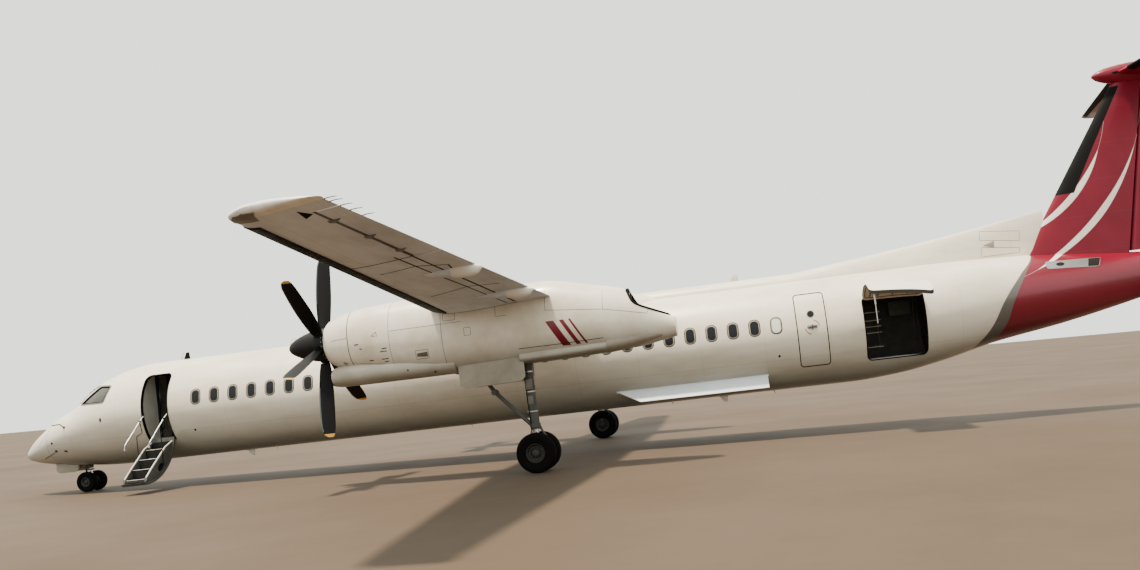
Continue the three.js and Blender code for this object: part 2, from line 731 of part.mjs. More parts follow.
function outerWing() {
  const [from, to] = FLAP_SPANS.outer;
  const [start, end] = AILERON_SPAN;
  const flapSpace = outboard.slot(from - FREE, to + FREE, flapStart);
  const nose = (share) => outboard.depth(share, AILERON_HINGE) + FREE + 2;
  const aileronSpace = outboard.slot(start - END_GAP, end + END_GAP, aileronHinge, nose);
  const wingBox = cut(outboard.solid(CRANK + TOUCH / 2, WING_TIP), flapSpace, aileronSpace);
  const fairings = TRACK_FAIRINGS.map((x) => {
    const space = loft([x - 200, x + 200].map((span) => {
      const share = outboard.share(span);
      const places = [1.012, 0.93, 0.85, 0.77, SURFACE_CUT - 0.012];
      const upper = places.map((chord) => outboard.point(share, chord, 1).add(vec(0, 0, 6)));
      const lower = places.map((chord) => outboard.point(share, chord, -1).sub(vec(0, 0, 6)));
      return [...upper, ...lower.reverse()];
    }));
    return cut(trackFairing(x), space);
  });
  return join(wingBox, wingTip(), ...fairings);
}

const innerFlap = () => inboard.piece(...FLAP_SPANS.inner, flapNose, toTrailingEdge, false);
const outerFlap = () => outboard.piece(...FLAP_SPANS.outer, flapNose, toTrailingEdge, false);
const aileron = () => outboard.piece(...AILERON_SPAN, aileronHinge, toTrailingEdge, true);

const FAIRING_STATIONS = [
  [12350, 1352, 700, 1000, 560],
  [12800, 1500, 600, 940, 860],
  [13500, 1690, 560, 900, 1120],
  [14400, 1752, 540, 880, 1230],
  [16200, 1752, 540, 880, 1230],
  [17000, 1680, 600, 900, 1100],
  [17700, 1560, 700, 950, 760],
  [18300, 1400, 800, 1000, 380],
];

/** The fairing's whole shape, made larger all round by a distance. */
function fairingShape(grow = 0) {
  const last = FAIRING_STATIONS.length - 1;
  return loft(FAIRING_STATIONS.map(([y, ...rest], i) => {
    const end = i === 0 ? -grow : 0;
    return bodyRing([y + (i === last ? grow : end), ...rest], 20, -grow, 0, 2.3);
  }));
}

const wingFairing = (space) => cut(fairingShape(), barrel(12000, 18600, -TOUCH), space);

// Nacelles, engines and propellers, made on the port side

const nacelleRing = (row, inset = 0) => bodyRing(row, NACELLE.sides, inset, NACELLE.x, 2.25);
const nacelleShape = (inset = 0) => loft(NACELLE_STATIONS.map((row) => nacelleRing(row, inset)));
const scoopShape = (inset = 0) => loft(SCOOP_STATIONS.map((row) => {
  return bodyRing(row, SCOOP_SIDES, inset, NACELLE.x, 2.4);
}));

function nacelle(space) {
  const { x } = NACELLE;
  const engineRoom = box(x - ENGINE.half - 25, x + ENGINE.half + 25, ENGINE.front - 25, ENGINE.back + 25,
    ENGINE.bottom - 25, ENGINE.top + 25);
  const shaftHole = bar(vec(x, NACELLE.lip - 50, PROPELLER.z), vec(x, ENGINE.front, PROPELLER.z), 300, 12);
  const mouthRow = [11400, 300, 10, 155, 285];
  const mouth = loft([nacelleRing(mouthRow), nacelleRing([12050, 280, 40, 160, 230])]);
  const bay = box(x - GEAR_BAY.half, x + GEAR_BAY.half, GEAR_BAY.front, GEAR_BAY.back, -400, GEAR_BAY.top);
  const pipe = bar(vec(x, EXHAUST.front, EXHAUST.z - 30), vec(x, 19300, EXHAUST.z + 20), EXHAUST.radius, 14);
  const shell = cut(join(nacelleShape(), scoopShape()), space, engineRoom, shaftHole, mouth, bay, pipe);
  return join(shell, jackPad(JACK_PAD.main));
}

function engine() {
  const { front, back, bottom, top, half } = ENGINE;
  return box(NACELLE.x - half, NACELLE.x + half, front, back, bottom, top);
}

const hubCentre = () => vec(NACELLE.x, PROPELLER.y, PROPELLER.z);

/** Turns a solid about the propeller's shaft; a positive angle carries up towards port. */
function spun(solid, degrees) {
  const hub = hubCentre();
  const matrix = new THREE.Matrix4().makeTranslation(hub.x, hub.y, hub.z);
  matrix.multiply(new THREE.Matrix4().makeRotationY(turn(degrees)));
  matrix.multiply(new THREE.Matrix4().makeTranslation(-hub.x, -hub.y, -hub.z));
  return moved(solid, matrix);
}

/** Section of a blade, nose forward. Columns: share of the chord, share of the thickness */
const BLADE_SECTION = [[-0.5, 0], [-0.28, 0.5], [0.15, 0.4], [0.5, 0], [0.1, -0.3], [-0.28, -0.4]];

function blade() {
  const hub = hubCentre();
  const rings = BLADE_STATIONS.map(([radius, chord, thickness, pitch, shift]) => {
    return BLADE_SECTION.map(([along, across]) => {
      const [y, x] = [along * chord, across * thickness];
      const [c, s] = [Math.cos(turn(pitch)), Math.sin(turn(pitch))];
      return hub.clone().add(vec(x * c + y * s, y * c - x * s + shift, radius));
    });
  });
  const shank = bar(hub.clone(), hub.clone().add(vec(0, 0, 440)), PROPELLER.shank, 8);
  return join(loft(rings), shank);
}

function bladeAngles() {
  const step = 360 / PROPELLER.blades;
  return Array.from({ length: PROPELLER.blades }, (_, i) => PROPELLER.firstBlade + i * step);
}

function blades() {
  const one = blade();
  const hub = hubCentre();
  const core = bar(hub.clone().add(vec(0, -150, 0)), hub.clone().add(vec(0, 120, 0)), PROPELLER.hub, 12);
  return join(core, ...bladeAngles().map((angle) => spun(one, angle)));
}

function spinner() {
  const hub = hubCentre();
  const end = SPINNER_PROFILE.at(-1)[0];
  const shell = turnedY([...SPINNER_PROFILE, [end, 0]], vec(hub.x, SPINNER_TIP, hub.z), 16);
  const core = bar(hub.clone().add(vec(0, -160, 0)), hub.clone().add(vec(0, 400, 0)), PROPELLER.hub + 10, 12);
  const hole = bar(hub.clone(), hub.clone().add(vec(0, 0, 480)), PROPELLER.shank + 14, 6);
  return cut(shell, core, ...bladeAngles().map((angle) => spun(hole, angle)));
}

// Landing gear

/** Height of a wheel's centre, so that a flat of its tyre lies on the ground. */
function axleHeight({ y, tyreRadius, sides }) {
  const flat = tyreRadius * Math.cos(Math.PI / sides);
  const pitch = turn(STANCE.pitch);
  return (flat - STANCE.axisHeight - y * Math.sin(pitch)) / Math.cos(pitch);
}

function tyre(gear, x) {
  const { tyreRadius: r, tyreWidth: w, rim, sides } = gear;
  const bead = (rim + TOUCH) / Math.cos(Math.PI / sides);
  const section = [[-0.38 * w, bead], [-0.5 * w, 0.74 * r], [-0.44 * w, 0.93 * r], [-0.27 * w, r],
    [0.27 * w, r], [0.44 * w, 0.93 * r], [0.5 * w, 0.74 * r], [0.38 * w, bead]];
  // A flat faces the ground once the airframe has its pitch
  const start = 180 / sides - STANCE.pitch;
  return turnedX([...section, section[0]], vec(x, gear.y, axleHeight(gear)), sides, start);
}

/** Two rims on one axle. */
function wheelPair(gear, x) {
  const { twin, tyreWidth: w, rim, axle } = gear;
  const side = [
    [twin - 0.42 * w, axle], [twin - 0.42 * w, rim], [twin + 0.44 * w, rim], [twin + 0.4 * w, rim - 26],
    [twin + 0.16 * w, rim - 50], [twin + 0.16 * w, rim * 0.42], [twin + 0.3 * w, rim * 0.36],
    [twin + 0.3 * w, 0],
  ];
  const other = side.map(([along, radius]) => [-along, radius]).reverse();
  return turnedX([...other, ...side], vec(x, gear.y, axleHeight(gear)), 14);
}

function axleEye(gear, x, outer, half) {
  const z = axleHeight(gear);
  const eye = bar(vec(x - half, gear.y, z), vec(x + half, gear.y, z), outer, 14);
  const bore = bar(vec(x - 300, gear.y, z), vec(x + 300, gear.y, z), gear.axle + 7, 14);
  return { eye, bore };
}

function mainLeg() {
  const { x } = NACELLE;
  const { y, barrel: big, piston, barrelBottom, trunnion, lean, brace } = MAIN_GEAR;
  const { eye, bore } = axleEye(MAIN_GEAR, x, 88, 70);
  const half = GEAR_BAY.half - TOUCH;
  const at = ([along, z], side = 0) => vec(x + side, along, z);
  const pivot = [y - lean, trunnion];
  const foot = [y - 8, barrelBottom];
  const links = TORQUE_LINKS.map(([wide, from, to, low, high]) => {
    return box(x - wide, x + wide, y + from, y + to, low, high);
  });
  const leg = join(
    bar(at(pivot), at(foot), big, 12),
    bar(at(foot), at([y, axleHeight(MAIN_GEAR)]), piston, 12),
    bar(at(pivot, -half), at(pivot, half), 70, 10),
    bar(at(brace.top), at(brace.knee), brace.radius, 8),
    bar(at(brace.knee), at([y - lean, barrelBottom + 60]), brace.radius, 8),
    bar(at(brace.top, -half), at(brace.top, half), brace.radius, 8),
    bar(at(brace.knee, -90), at(brace.knee, 90), brace.kneeRadius, 8),
  );
  return cut(join(leg, eye, ...links), bore);
}

/** A hanging door beside a gear bay, a little short of the skin above it. */
const gearDoor = ({ outline, inner, outer }, x, skin) => cut(alongX(outline, x + inner, x + outer), skin);

function noseLeg() {
  const { y, barrel: big, barrelBottom, trunnion, piston, brace } = NOSE_GEAR;
  const half = NOSE_BAY.half - TOUCH;
  const socket = bar(vec(0, y, barrelBottom - 10), vec(0, y, barrelBottom + 130), piston + 6, 16);
  const ahead = y - brace.ahead;
  return cut(join(
    bar(vec(0, y, trunnion), vec(0, y, barrelBottom), big, 16),
    bar(vec(-half, y, trunnion), vec(half, y, trunnion), 48, 12),
    bar(vec(0, ahead, brace.z), vec(0, y - 40, barrelBottom + 190), 34, 10),
    bar(vec(-half, ahead, brace.z), vec(half, ahead, brace.z), 38, 10),
  ), socket);
}

function noseFork() {
  const { y, barrelBottom, piston, towFace } = NOSE_GEAR;
  const z = axleHeight(NOSE_GEAR);
  const { eye, bore } = axleEye(NOSE_GEAR, 0, 62, 80);
  return cut(join(
    bar(vec(0, y, barrelBottom + 100), vec(0, y, z), piston, 16),
    bar(vec(0, y, barrelBottom - 60), vec(0, y, barrelBottom - 20), 84, 16),
    eye,
    box(-34, 34, y - 150, y - 20, barrelBottom - 60, barrelBottom - 24),
    box(-34, 34, y - 160, y - 118, z + 10, barrelBottom - 24),
    box(-34, 34, y - 140, y - 20, z + 6, z + 50),
    // Flat towing face ahead of the axle
    box(-42, 42, y - towFace, y - 40, z - 40, z + 30),
  ), bore);
}

// Tail

const finPanel = new Panel(
  [FIN.foot.z, FIN.foot.lead, 0, FIN.foot.trail, 0, FIN.foot.thickness, 0],
  [FIN.head.z, FIN.head.lead, 0, FIN.head.trail, 0, FIN.head.thickness, 0],
  true,
);
const tailPanel = new Panel(TAILPLANE.root, TAILPLANE.tip);

/** Chord fraction at which the fin meets a line given by its y at the foot and the head. */
const finLine = (line) => (share) => {
  const lead = mix(FIN.foot.lead, FIN.head.lead, share);
  const trail = mix(FIN.foot.trail, FIN.head.trail, share);
  const z = mix(FIN.foot.z, FIN.head.z, share);
  const along = (z - FIN.rudderLow) / (FIN.rudderHigh - FIN.rudderLow);
  return (mix(line[0], line[1], along) - lead) / (trail - lead);
};

const tailConeSpace = () => bodyLoft(TAIL_STATIONS, 26000, 31950, -TOUCH);
const bulletShape = (inset = 0) => loft(BULLET_STATIONS.map((row) => bodyRing(row, 14, inset)));
const tailplaneSpace = () => {
  const half = tailPanel.solid(-10, 800, TOUCH * 2);
  return join(bulletShape(-TOUCH), half, mirrored(half));
};

function fin() {
  const fore = finLine(FIN.foreHinge);
  const ahead = (share) => finPanel.depth(share, fore(share)) + FREE + 4;
  const rudderSpace = finPanel.slot(FIN.foot.z - 10, FIN.head.z + 10, fore, ahead);
  return cut(finPanel.solid(FIN.foot.z, FIN.head.z), rudderSpace, tailConeSpace(), tailplaneSpace());
}

function dorsal() {
  const rings = DORSAL_STATIONS.map(([y, top, half]) => [
    [half, 1150], [half, 1340], [half * 0.7, mix(1340, top, 0.55)], [half * 0.3, mix(1340, top, 0.93)],
    [0, top], [-half * 0.3, mix(1340, top, 0.93)], [-half * 0.7, mix(1340, top, 0.55)], [-half, 1340],
    [-half, 1150],
  ].map(([x, z]) => vec(x, y, z)));
  const finSpace = finPanel.solid(FIN.foot.z, 3200, TOUCH * 2);
  const spaces = [barrel(17000, JOINT.rear + 5, -TOUCH), bodyLoft(TAIL_STATIONS, JOINT.rear, 31950, -TOUCH)];
  return cut(loft(rings), ...spaces, finSpace, fairingShape(2));
}

const rudderFore = () => finPanel.piece(
  FIN.rudderLow, FIN.rudderHigh, finLine(FIN.foreHinge), finLine(FIN.aftHinge.map((y) => y - 95)), true,
);
const rudderAft = () => finPanel.piece(
  FIN.rudderLow, FIN.rudderHigh, finLine(FIN.aftHinge), toTrailingEdge, true,
);

function tailplane() {
  const tip = TAILPLANE.tip[0];
  const [from, to] = TAILPLANE.elevator;
  const hinge = () => TAILPLANE.hinge;
  const ahead = (share) => tailPanel.depth(share, TAILPLANE.hinge) + FREE + 2;
  const slot = tailPanel.slot(from - FREE, to + 200, hinge, ahead);
  const half = cut(tailPanel.solid(0, tip), slot);
  return join(half, mirrored(half), bulletShape());
}

const elevator = () => tailPanel.piece(...TAILPLANE.elevator, () => TAILPLANE.hinge, toTrailingEdge, true);

// Finishes

const finish = (color, roughness, metalness = 0) => new THREE.MeshStandardMaterial({
  color, roughness, metalness,
});
const FINISH = {
  white: finish('#e9e4da', 0.35),
  red: finish('#c4161c', 0.35),
  grey: finish('#9a9c9c', 0.5, 0.3),
  black: finish('#16181b', 0.55),
  rubber: finish('#1b1b1c', 0.9),
  steel: finish('#8e9194', 0.35, 0.8),
  glass: finish('#20262c', 0.1),
  dark: finish('#2b2d30', 0.8),
};

// Assembly

const airframe = new THREE.Group();

function add(name, solid, material) {
  const mesh = new THREE.Mesh(geometryOf(solid), material);
  mesh.name = name;
  airframe.add(mesh);
}

/** Adds a port piece and its mirror image on the starboard side. */
function addPair(name, solid, material) {
  add(`${name}_port`, solid, material);
  add(`${name}_starboard`, mirrored(solid), material);
}

const space = wingSpace();
const pockets = CLOSED_DOORS.map(closedDoorPocket);

add('nose_section', noseSection(), FINISH.white);
add('cockpit_glazing', cockpitGlazing(), FINISH.glass);
add('flight_deck', flightDeck(), FINISH.dark);
add('entry_section', entrySection(), FINISH.white);
add('front_cabin_section', barrel(JOINT.entry + TOUCH / 2, JOINT.front - TOUCH / 2), FINISH.white);
add('centre_section', cut(barrel(JOINT.front + TOUCH / 2, JOINT.centre - TOUCH / 2), space), FINISH.white);
add('rear_cabin_section', cut(
  join(barrel(JOINT.centre + TOUCH / 2, JOINT.rear - TOUCH / 2), strake(), mirrored(strake())), ...pockets,
), FINISH.white);
add('aft_section', aftSection(), FINISH.white);
add('tail_cone', tailCone(), FINISH.red);
CLOSED_DOORS.forEach((row) => add(row[0], closedDoor(row, CLOSED_DOOR.gap), FINISH.white));
add('airstair_door', airstairDoor(), FINISH.white);
add('airstair_rails', airstairRails(), FINISH.white);
add('baggage_door', baggageDoor(), FINISH.white);

add('wing_centre', centreWing(), FINISH.grey);
addPair('wing', outerWing(), FINISH.grey);
addPair('inner_flap', innerFlap(), FINISH.grey);
addPair('outer_flap', outerFlap(), FINISH.grey);
addPair('aileron', aileron(), FINISH.grey);
add('wing_fairing', wingFairing(space), FINISH.white);

addPair('nacelle', nacelle(space), FINISH.white);
addPair('engine', engine(), FINISH.steel);
addPair('propeller', blades(), FINISH.black);
addPair('spinner', spinner(), FINISH.black);

addPair('main_leg', mainLeg(), FINISH.grey);
addPair('main_wheels', wheelPair(MAIN_GEAR, NACELLE.x), FINISH.steel);
addPair('main_tyre_outer', tyre(MAIN_GEAR, NACELLE.x + MAIN_GEAR.twin), FINISH.rubber);
addPair('main_tyre_inner', tyre(MAIN_GEAR, NACELLE.x - MAIN_GEAR.twin), FINISH.rubber);
const cowl = join(nacelleShape(-DOOR_GAP), scoopShape(-DOOR_GAP));
const INNER_DOOR = { ...MAIN_DOOR, inner: -MAIN_DOOR.outer, outer: -MAIN_DOOR.inner };
addPair('gear_door_outer', gearDoor(MAIN_DOOR, NACELLE.x, cowl), FINISH.white);
addPair('gear_door_inner', gearDoor(INNER_DOOR, NACELLE.x, cowl), FINISH.white);

add('nose_leg', noseLeg(), FINISH.grey);
add('nose_fork', noseFork(), FINISH.grey);
add('nose_wheels', wheelPair(NOSE_GEAR, 0), FINISH.steel);
addPair('nose_tyre', tyre(NOSE_GEAR, NOSE_GEAR.twin), FINISH.rubber);
const noseSkin = bodyLoft(NOSE_STATIONS, 0, JOINT.nose, -DOOR_GAP);
addPair('nose_gear_door', gearDoor(NOSE_DOOR, 0, noseSkin), FINISH.white);

add('fin', fin(), FINISH.red);
add('dorsal_ridge', dorsal(), FINISH.white);
add('rudder_fore', rudderFore(), FINISH.red);
add('rudder_aft', rudderAft(), FINISH.red);
add('tailplane', tailplane(), FINISH.red);
addPair('elevator', elevator(), FINISH.grey);

airframe.rotation.x = turn(STANCE.pitch);
airframe.position.set(0, -STANCE.middle, STANCE.axisHeight);

const airliner = new THREE.Group();
airliner.add(airframe);
export default airliner;
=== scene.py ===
"""Looks of a twin turboprop airliner with a high wing and a T-tail, parked on its gear.

Sizes are metres. Pieces are shaped in the airframe's own axes: x to port, y aft from the nose tip
and z up from the fuselage axis. settle() then stands each one on the ground in the frame's axes.
"""

from __future__ import annotations

import logging
import math
from collections.abc import Callable, Iterable, Iterator, Sequence
from contextlib import contextmanager
from dataclasses import dataclass
from enum import Enum
from itertools import pairwise

import bmesh
import bpy
from mathutils import Matrix, Vector

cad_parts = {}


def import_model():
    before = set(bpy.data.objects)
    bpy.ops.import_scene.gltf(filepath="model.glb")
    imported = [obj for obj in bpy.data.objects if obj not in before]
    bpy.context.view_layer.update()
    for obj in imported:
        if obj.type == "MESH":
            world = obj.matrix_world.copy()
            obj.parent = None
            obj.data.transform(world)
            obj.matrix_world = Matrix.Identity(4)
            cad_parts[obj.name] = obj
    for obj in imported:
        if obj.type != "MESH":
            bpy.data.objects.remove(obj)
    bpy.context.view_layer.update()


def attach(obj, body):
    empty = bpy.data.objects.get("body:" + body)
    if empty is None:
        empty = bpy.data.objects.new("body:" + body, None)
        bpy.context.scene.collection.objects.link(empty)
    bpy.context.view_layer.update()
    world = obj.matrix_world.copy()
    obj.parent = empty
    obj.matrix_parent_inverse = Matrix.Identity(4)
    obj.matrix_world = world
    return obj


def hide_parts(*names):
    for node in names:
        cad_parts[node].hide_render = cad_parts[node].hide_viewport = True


log = logging.getLogger("airliner")

Piece = bpy.types.Object
Row = tuple[float, ...]
Ring = list[Vector]
Outline = Sequence[tuple[float, float]]
Pairs = list[tuple[float, float]]
Skin = Callable[[float, float], Vector]
Paint = "bpy.types.NodeSocket | tuple[float, ...]"

# The airframe stands nose down on its gear, with its nose tip ahead of the frame's middle
PITCH = math.radians(1.511)
AIRFRAME = Matrix.Translation((0.0, -16.3488, 1.944)) @ Matrix.Rotation(PITCH, 4, "X")
MIRROR = Matrix.Scale(-1, 4, (1, 0, 0))
PORT, AFT, UP = Vector((1, 0, 0)), Vector((0, 1, 0)), Vector((0, 0, 1))
SIDE_NAMES = ("port", "starboard")

# The barrel's radius, and the heights of the cabin's floor and of the baggage room's
RADIUS = 1.345
FLOOR = -0.79
BAY_FLOOR = -0.85

# Corners nearer than this are one
MERGE = 1e-5
# How far a drawn line, a masked paint edge and a sprayed one fade
LINE_FADE = 0.003
MASKED_FADE = 0.004
SPRAYED_FADE = 0.006
# How far apart points lie on the outline of a piece that follows a curved skin
ON_SKIN = 0.1


# Bodies


class Body(Enum):
    """The frame's bodies that pieces ride on. The last four have one on each side."""

    AIRFRAME = "airframe"
    AIRSTAIR = "airstair"
    HANDRAILS = "airstair_handrails"
    BAGGAGE = "baggage_door_body"
    NOSE_FORK = "nose_steering"
    NOSE_WHEELS = "nose_wheel_pair"
    RUDDER_FORE = "rudder_fore_body"
    RUDDER_AFT = "rudder_aft_body"
    MAIN_WHEELS = "main_wheel_pair"
    PROPELLER = "propeller_body"
    AILERON = "aileron_body"
    ELEVATOR = "elevator_body"

    def on(self, side: str) -> str:
        """The body's name on one side."""
        return f"{self.value}_{side}"


# Materials


def linear(code: str) -> tuple[float, float, float, float]:
    """Turns a colour to Blender's linear values.

    Args:
        code: An sRGB colour as six hex digits after a hash sign.

    Returns:
        Linear red, green, blue and full opacity.
    """
    parts = [int(code[i:i + 2], 16) / 255 for i in (1, 3, 5)]
    red, green, blue = (c / 12.92 if c <= 0.04045 else ((c + 0.055) / 1.055) ** 2.4 for c in parts)
    return red, green, blue, 1.0


def node(tree: bpy.types.NodeTree, kind: str, wires: dict | None = None,
         **settings: object) -> bpy.types.Node:
    """Adds one node to a material.

    Args:
        tree: The material's node tree.
        kind: The node's type name.
        wires: Input names or numbers, each with a value or another node's output.
        **settings: Attributes of the node.

    Returns:
        The new node.
    """
    made = tree.nodes.new(kind)
    for key, value in settings.items():
        setattr(made, key, value)
    for key, value in (wires or {}).items():
        if isinstance(value, bpy.types.NodeSocket):
            tree.links.new(value, made.inputs[key])
        else:
            made.inputs[key].default_value = value
    return made


@dataclass(frozen=True)
class Places:
    """Where a point lies in the airframe's axes, in metres, with x measured from the middle out."""

    tree: bpy.types.NodeTree

    def vector(self) -> bpy.types.NodeSocket:
        """The point itself."""
        place = node(self.tree, "ShaderNodeTexCoord").outputs["Object"]
        origin = AIRFRAME.inverted().to_translation()
        wires = {"Vector": place, "Location": origin, "Rotation": (-PITCH, 0, 0)}
        return node(self.tree, "ShaderNodeMapping", wires).outputs["Vector"]

    def axes(self, vector: bpy.types.NodeSocket) -> tuple[bpy.types.NodeSocket, ...]:
        """Distance from the middle, place aft and height of a point."""
        parts = node(self.tree, "ShaderNodeSeparateXYZ", {"Vector": vector})
        out = self.maths("ABSOLUTE", parts.outputs["X"])
        return out, parts.outputs["Y"], parts.outputs["Z"]

    def maths(self, operation: str, *values: object) -> bpy.types.NodeSocket:
        """One sum on numbers or sockets."""
        return node(self.tree, "ShaderNodeMath", dict(enumerate(values)), operation=operation).outputs[0]

    def step(self, value: object, start: float, end: float) -> bpy.types.NodeSocket:
        """Goes from 0 to 1 as a value goes from start to end."""
        wires = {"Value": value, "From Min": start, "From Max": end}
        return node(self.tree, "ShaderNodeMapRange", wires).outputs["Result"]

    def line(self, value: object, width: float) -> bpy.types.NodeSocket:
        """1 where a value is near 0 and 0 past half of a width."""
        return self.step(self.maths("ABSOLUTE", value), width / 2 + LINE_FADE, width / 2)

    def repeated(self, value: object, period: float, offset: float, width: float) -> bpy.types.NodeSocket:
        """A line at every period from an offset."""
        moved = self.maths("SUBTRACT", value, offset)
        return self.step(self.maths("PINGPONG", moved, period / 2), width / 2 + LINE_FADE, width / 2)

    def mixed(self, share: object, below: object, above: object, blend: str = "MIX") -> bpy.types.NodeSocket:
        """One colour over another by a share."""
        wires = {0: share, 6: below, 7: above}
        return node(self.tree, "ShaderNodeMix", wires, data_type="RGBA", blend_type=blend).outputs[2]

    def grimed_and_shaded(self, colour: Paint, grime_and_shade: str, height: object, clear: float, full: float) -> Paint:
        """A colour darkened towards the bottom: painted shade under a body, with some oil and road dirt.

        Args:
            colour: The clean colour.
            grime_and_shade: The tint of the painted shade and dirt where it is strongest.
            height: The point's height.
            clear: Height above which there is none.
            full: Height below which it is strongest.

        Returns:
            The darkened colour, with its painted shade.
        """
        tint = self.mixed(self.step(height, clear, full), linear("#ffffff"), linear(grime_and_shade))
        return self.mixed(1.0, colour, tint, "MULTIPLY")


@dataclass(frozen=True)
class Finish:
    """A finish whose colour, roughness and height vary over the surface.

    The grain is the material's own fine texture and the soiling is broad wear or dust, with their
    sizes in metres. A tint darkens whatever colours lie under it.
    """

    name: str
    colour: str
    soil: str
    roughness: float = 0.4
    metallic: float = 0.0
    ior: float = 1.5
    coat: float = 0.0
    specular: float = 0.5
    grain: float = 0.02
    relief: float = 0.0005
    patch: float = 0.8
    soiling: float = 0.5
    stretch: tuple[float, float, float] = (1.0, 1.0, 1.0)
    tint: bool = False
    joint_strength: float = 0.24
    joint_dirt: str = "#4a4743"

    def paint(self, places: Places, vector: bpy.types.NodeSocket) -> Paint:
        """The clean colour, which the liveries below draw on."""
        return linear(self.colour)

    def seams(self, places: Places, vector: bpy.types.NodeSocket) -> bpy.types.NodeSocket | None:
        """Share of the surface that is a dark joint line, if it has any."""
        return None

    def material(self) -> bpy.types.Material:
        """Builds the finish's material."""
        material = bpy.data.materials.new(self.name)
        material.use_nodes = True
        tree = material.node_tree
        shader = tree.nodes["Principled BSDF"]
        places = Places(tree)
        vector = places.vector()
        spread = node(tree, "ShaderNodeMapping", {"Vector": vector, "Scale": self.stretch}).outputs["Vector"]
        broad = node(tree, "ShaderNodeTexNoise", {
            "Vector": spread, "Scale": 1 / self.patch, "Detail": 6.0, "Roughness": 0.62})
        fine = node(tree, "ShaderNodeTexNoise", {"Vector": spread, "Scale": 1 / self.grain, "Detail": 3.0})
        share = node(tree, "ShaderNodeMapRange", {
            "Value": broad.outputs["Fac"], "From Min": 0.4, "From Max": 0.78, "To Max": self.soiling})
        colour = places.mixed(share.outputs["Result"], self.paint(places, vector), linear(self.soil),
                              "MULTIPLY" if self.tint else "MIX")
        seams = self.seams(places, vector)
        if seams is not None:
            faint = places.maths("MULTIPLY", seams, self.joint_strength)
            colour = places.mixed(faint, colour, linear(self.joint_dirt))
        rough = node(tree, "ShaderNodeMapRange", {
            "Value": broad.outputs["Fac"], "From Min": 0.3, "From Max": 0.8,
            "To Min": self.roughness * 0.85, "To Max": min(1.0, self.roughness * 1.35)})
        bump = node(tree, "ShaderNodeBump", {
            "Height": fine.outputs["Fac"], "Strength": 0.4, "Distance": self.relief})
        tree.links.new(colour, shader.inputs["Base Color"])
        tree.links.new(rough.outputs["Result"], shader.inputs["Roughness"])
        tree.links.new(bump.outputs["Normal"], shader.inputs["Normal"])
        for socket, value in (("Metallic", self.metallic), ("IOR", self.ior), ("Coat Weight", self.coat),
                              ("Specular IOR Level", self.specular), ("Coat Roughness", 0.12)):
            shader.inputs[socket].default_value = value
        return material


def swept(places: Places, vector: bpy.types.NodeSocket, colour: Paint) -> Paint:
    """A colour with two broad white sweeps over it, a plain pattern of curved bands."""
    _, aft, height = places.axes(vector)
    # Each sweep is the part of a big circle's edge. Columns: place aft, height, radius, width
    for place, level, radius, width in ((26.2, 5.05, 3.55, 0.42), (25.6, 5.5, 5.05, 0.2)):
        run = places.maths("SUBTRACT", aft, place)
        rise = places.maths("SUBTRACT", height, level)
        squares = places.maths("ADD", places.maths("POWER", run, 2.0), places.maths("POWER", rise, 2.0))
        away = places.maths("SUBTRACT", places.maths("SQRT", squares), radius)
        # The band thins towards both ends
        thin = places.maths("MULTIPLY", places.step(height, 3.6, 1.0), places.step(aft, 27.5, 29.4))
        half = places.maths("MULTIPLY", thin, width * 0.7)
        past = places.maths("SUBTRACT", places.maths("ABSOLUTE", away), half)
        band = places.step(past, SPRAYED_FADE, -SPRAYED_FADE)
        colour = places.mixed(band, colour, linear("#e6e2da"))
    return colour


@dataclass(frozen=True)
class HullPaint(Finish):
    """Fuselage paint: warm white, then a silver crescent and a red tail, over riveted sheet."""

    silver: str = "#5c5954"
    # Tint that darkens the lower hull: painted shade of the belly, with some grime
    grime_and_shade: str = "#8d9599"
    red: str = "#700120"
    frames: float = 1.56
    lap: float = -0.6
    # Height, then the place aft where the silver begins and where the red begins
    edges: tuple[Row, ...] = (
        (-1.3, 25.35, 25.72), (-0.89, 25.856, 26.2), (-0.47, 26.234, 26.58), (0.194, 26.614, 26.86),
        (0.748, 27.077, 27.2), (1.152, 27.48, 27.5), (2.63, 28.35, 28.352), (5.3, 29.9, 29.9),
    )

    def edge(self, places: Places, height: bpy.types.NodeSocket, column: int) -> bpy.types.NodeSocket:
        """The place aft of a curved edge at a height."""
        low, high, (bottom, top) = 25.0, 30.5, (-1.5, 5.5)
        share = places.step(height, bottom, top)
        curve = node(places.tree, "ShaderNodeFloatCurve", {"Value": share})
        points = curve.mapping.curves[0].points
        spots = [((row[0] - bottom) / (top - bottom), (row[column] - low) / (high - low))
                 for row in self.edges]
        for spot in spots[1:-1]:
            points.new(*spot)
        points[0].location, points[-1].location = spots[0], spots[-1]
        curve.mapping.update()
        return places.maths("MULTIPLY_ADD", curve.outputs[0], high - low, low)

    def paint(self, places: Places, vector: bpy.types.NodeSocket) -> Paint:
        """White ahead, silver between the edges and red behind them."""
        _, aft, height = places.axes(vector)
        silver, red = [places.step(places.maths("SUBTRACT", aft, self.edge(places, height, column)),
                                   -MASKED_FADE, MASKED_FADE) for column in (1, 2)]
        colour = places.mixed(silver, linear(self.colour), linear(self.silver))
        colour = places.mixed(red, colour, swept(places, vector, linear(self.red)))
        # Darker and cooler towards the belly: painted shade, with some grime
        return places.grimed_and_shaded(colour, self.grime_and_shade, height, 0.1, -1.3)

    def seams(self, places: Places, vector: bpy.types.NodeSocket) -> bpy.types.NodeSocket:
        """Frame joints round the barrel and the lap joints along it."""
        _, aft, height = places.axes(vector)
        round_joint = places.repeated(aft, self.frames, 0.62, 0.006)
        lap = places.line(places.maths("SUBTRACT", height, self.lap), 0.008)
        return places.maths("MAXIMUM", round_joint, lap)


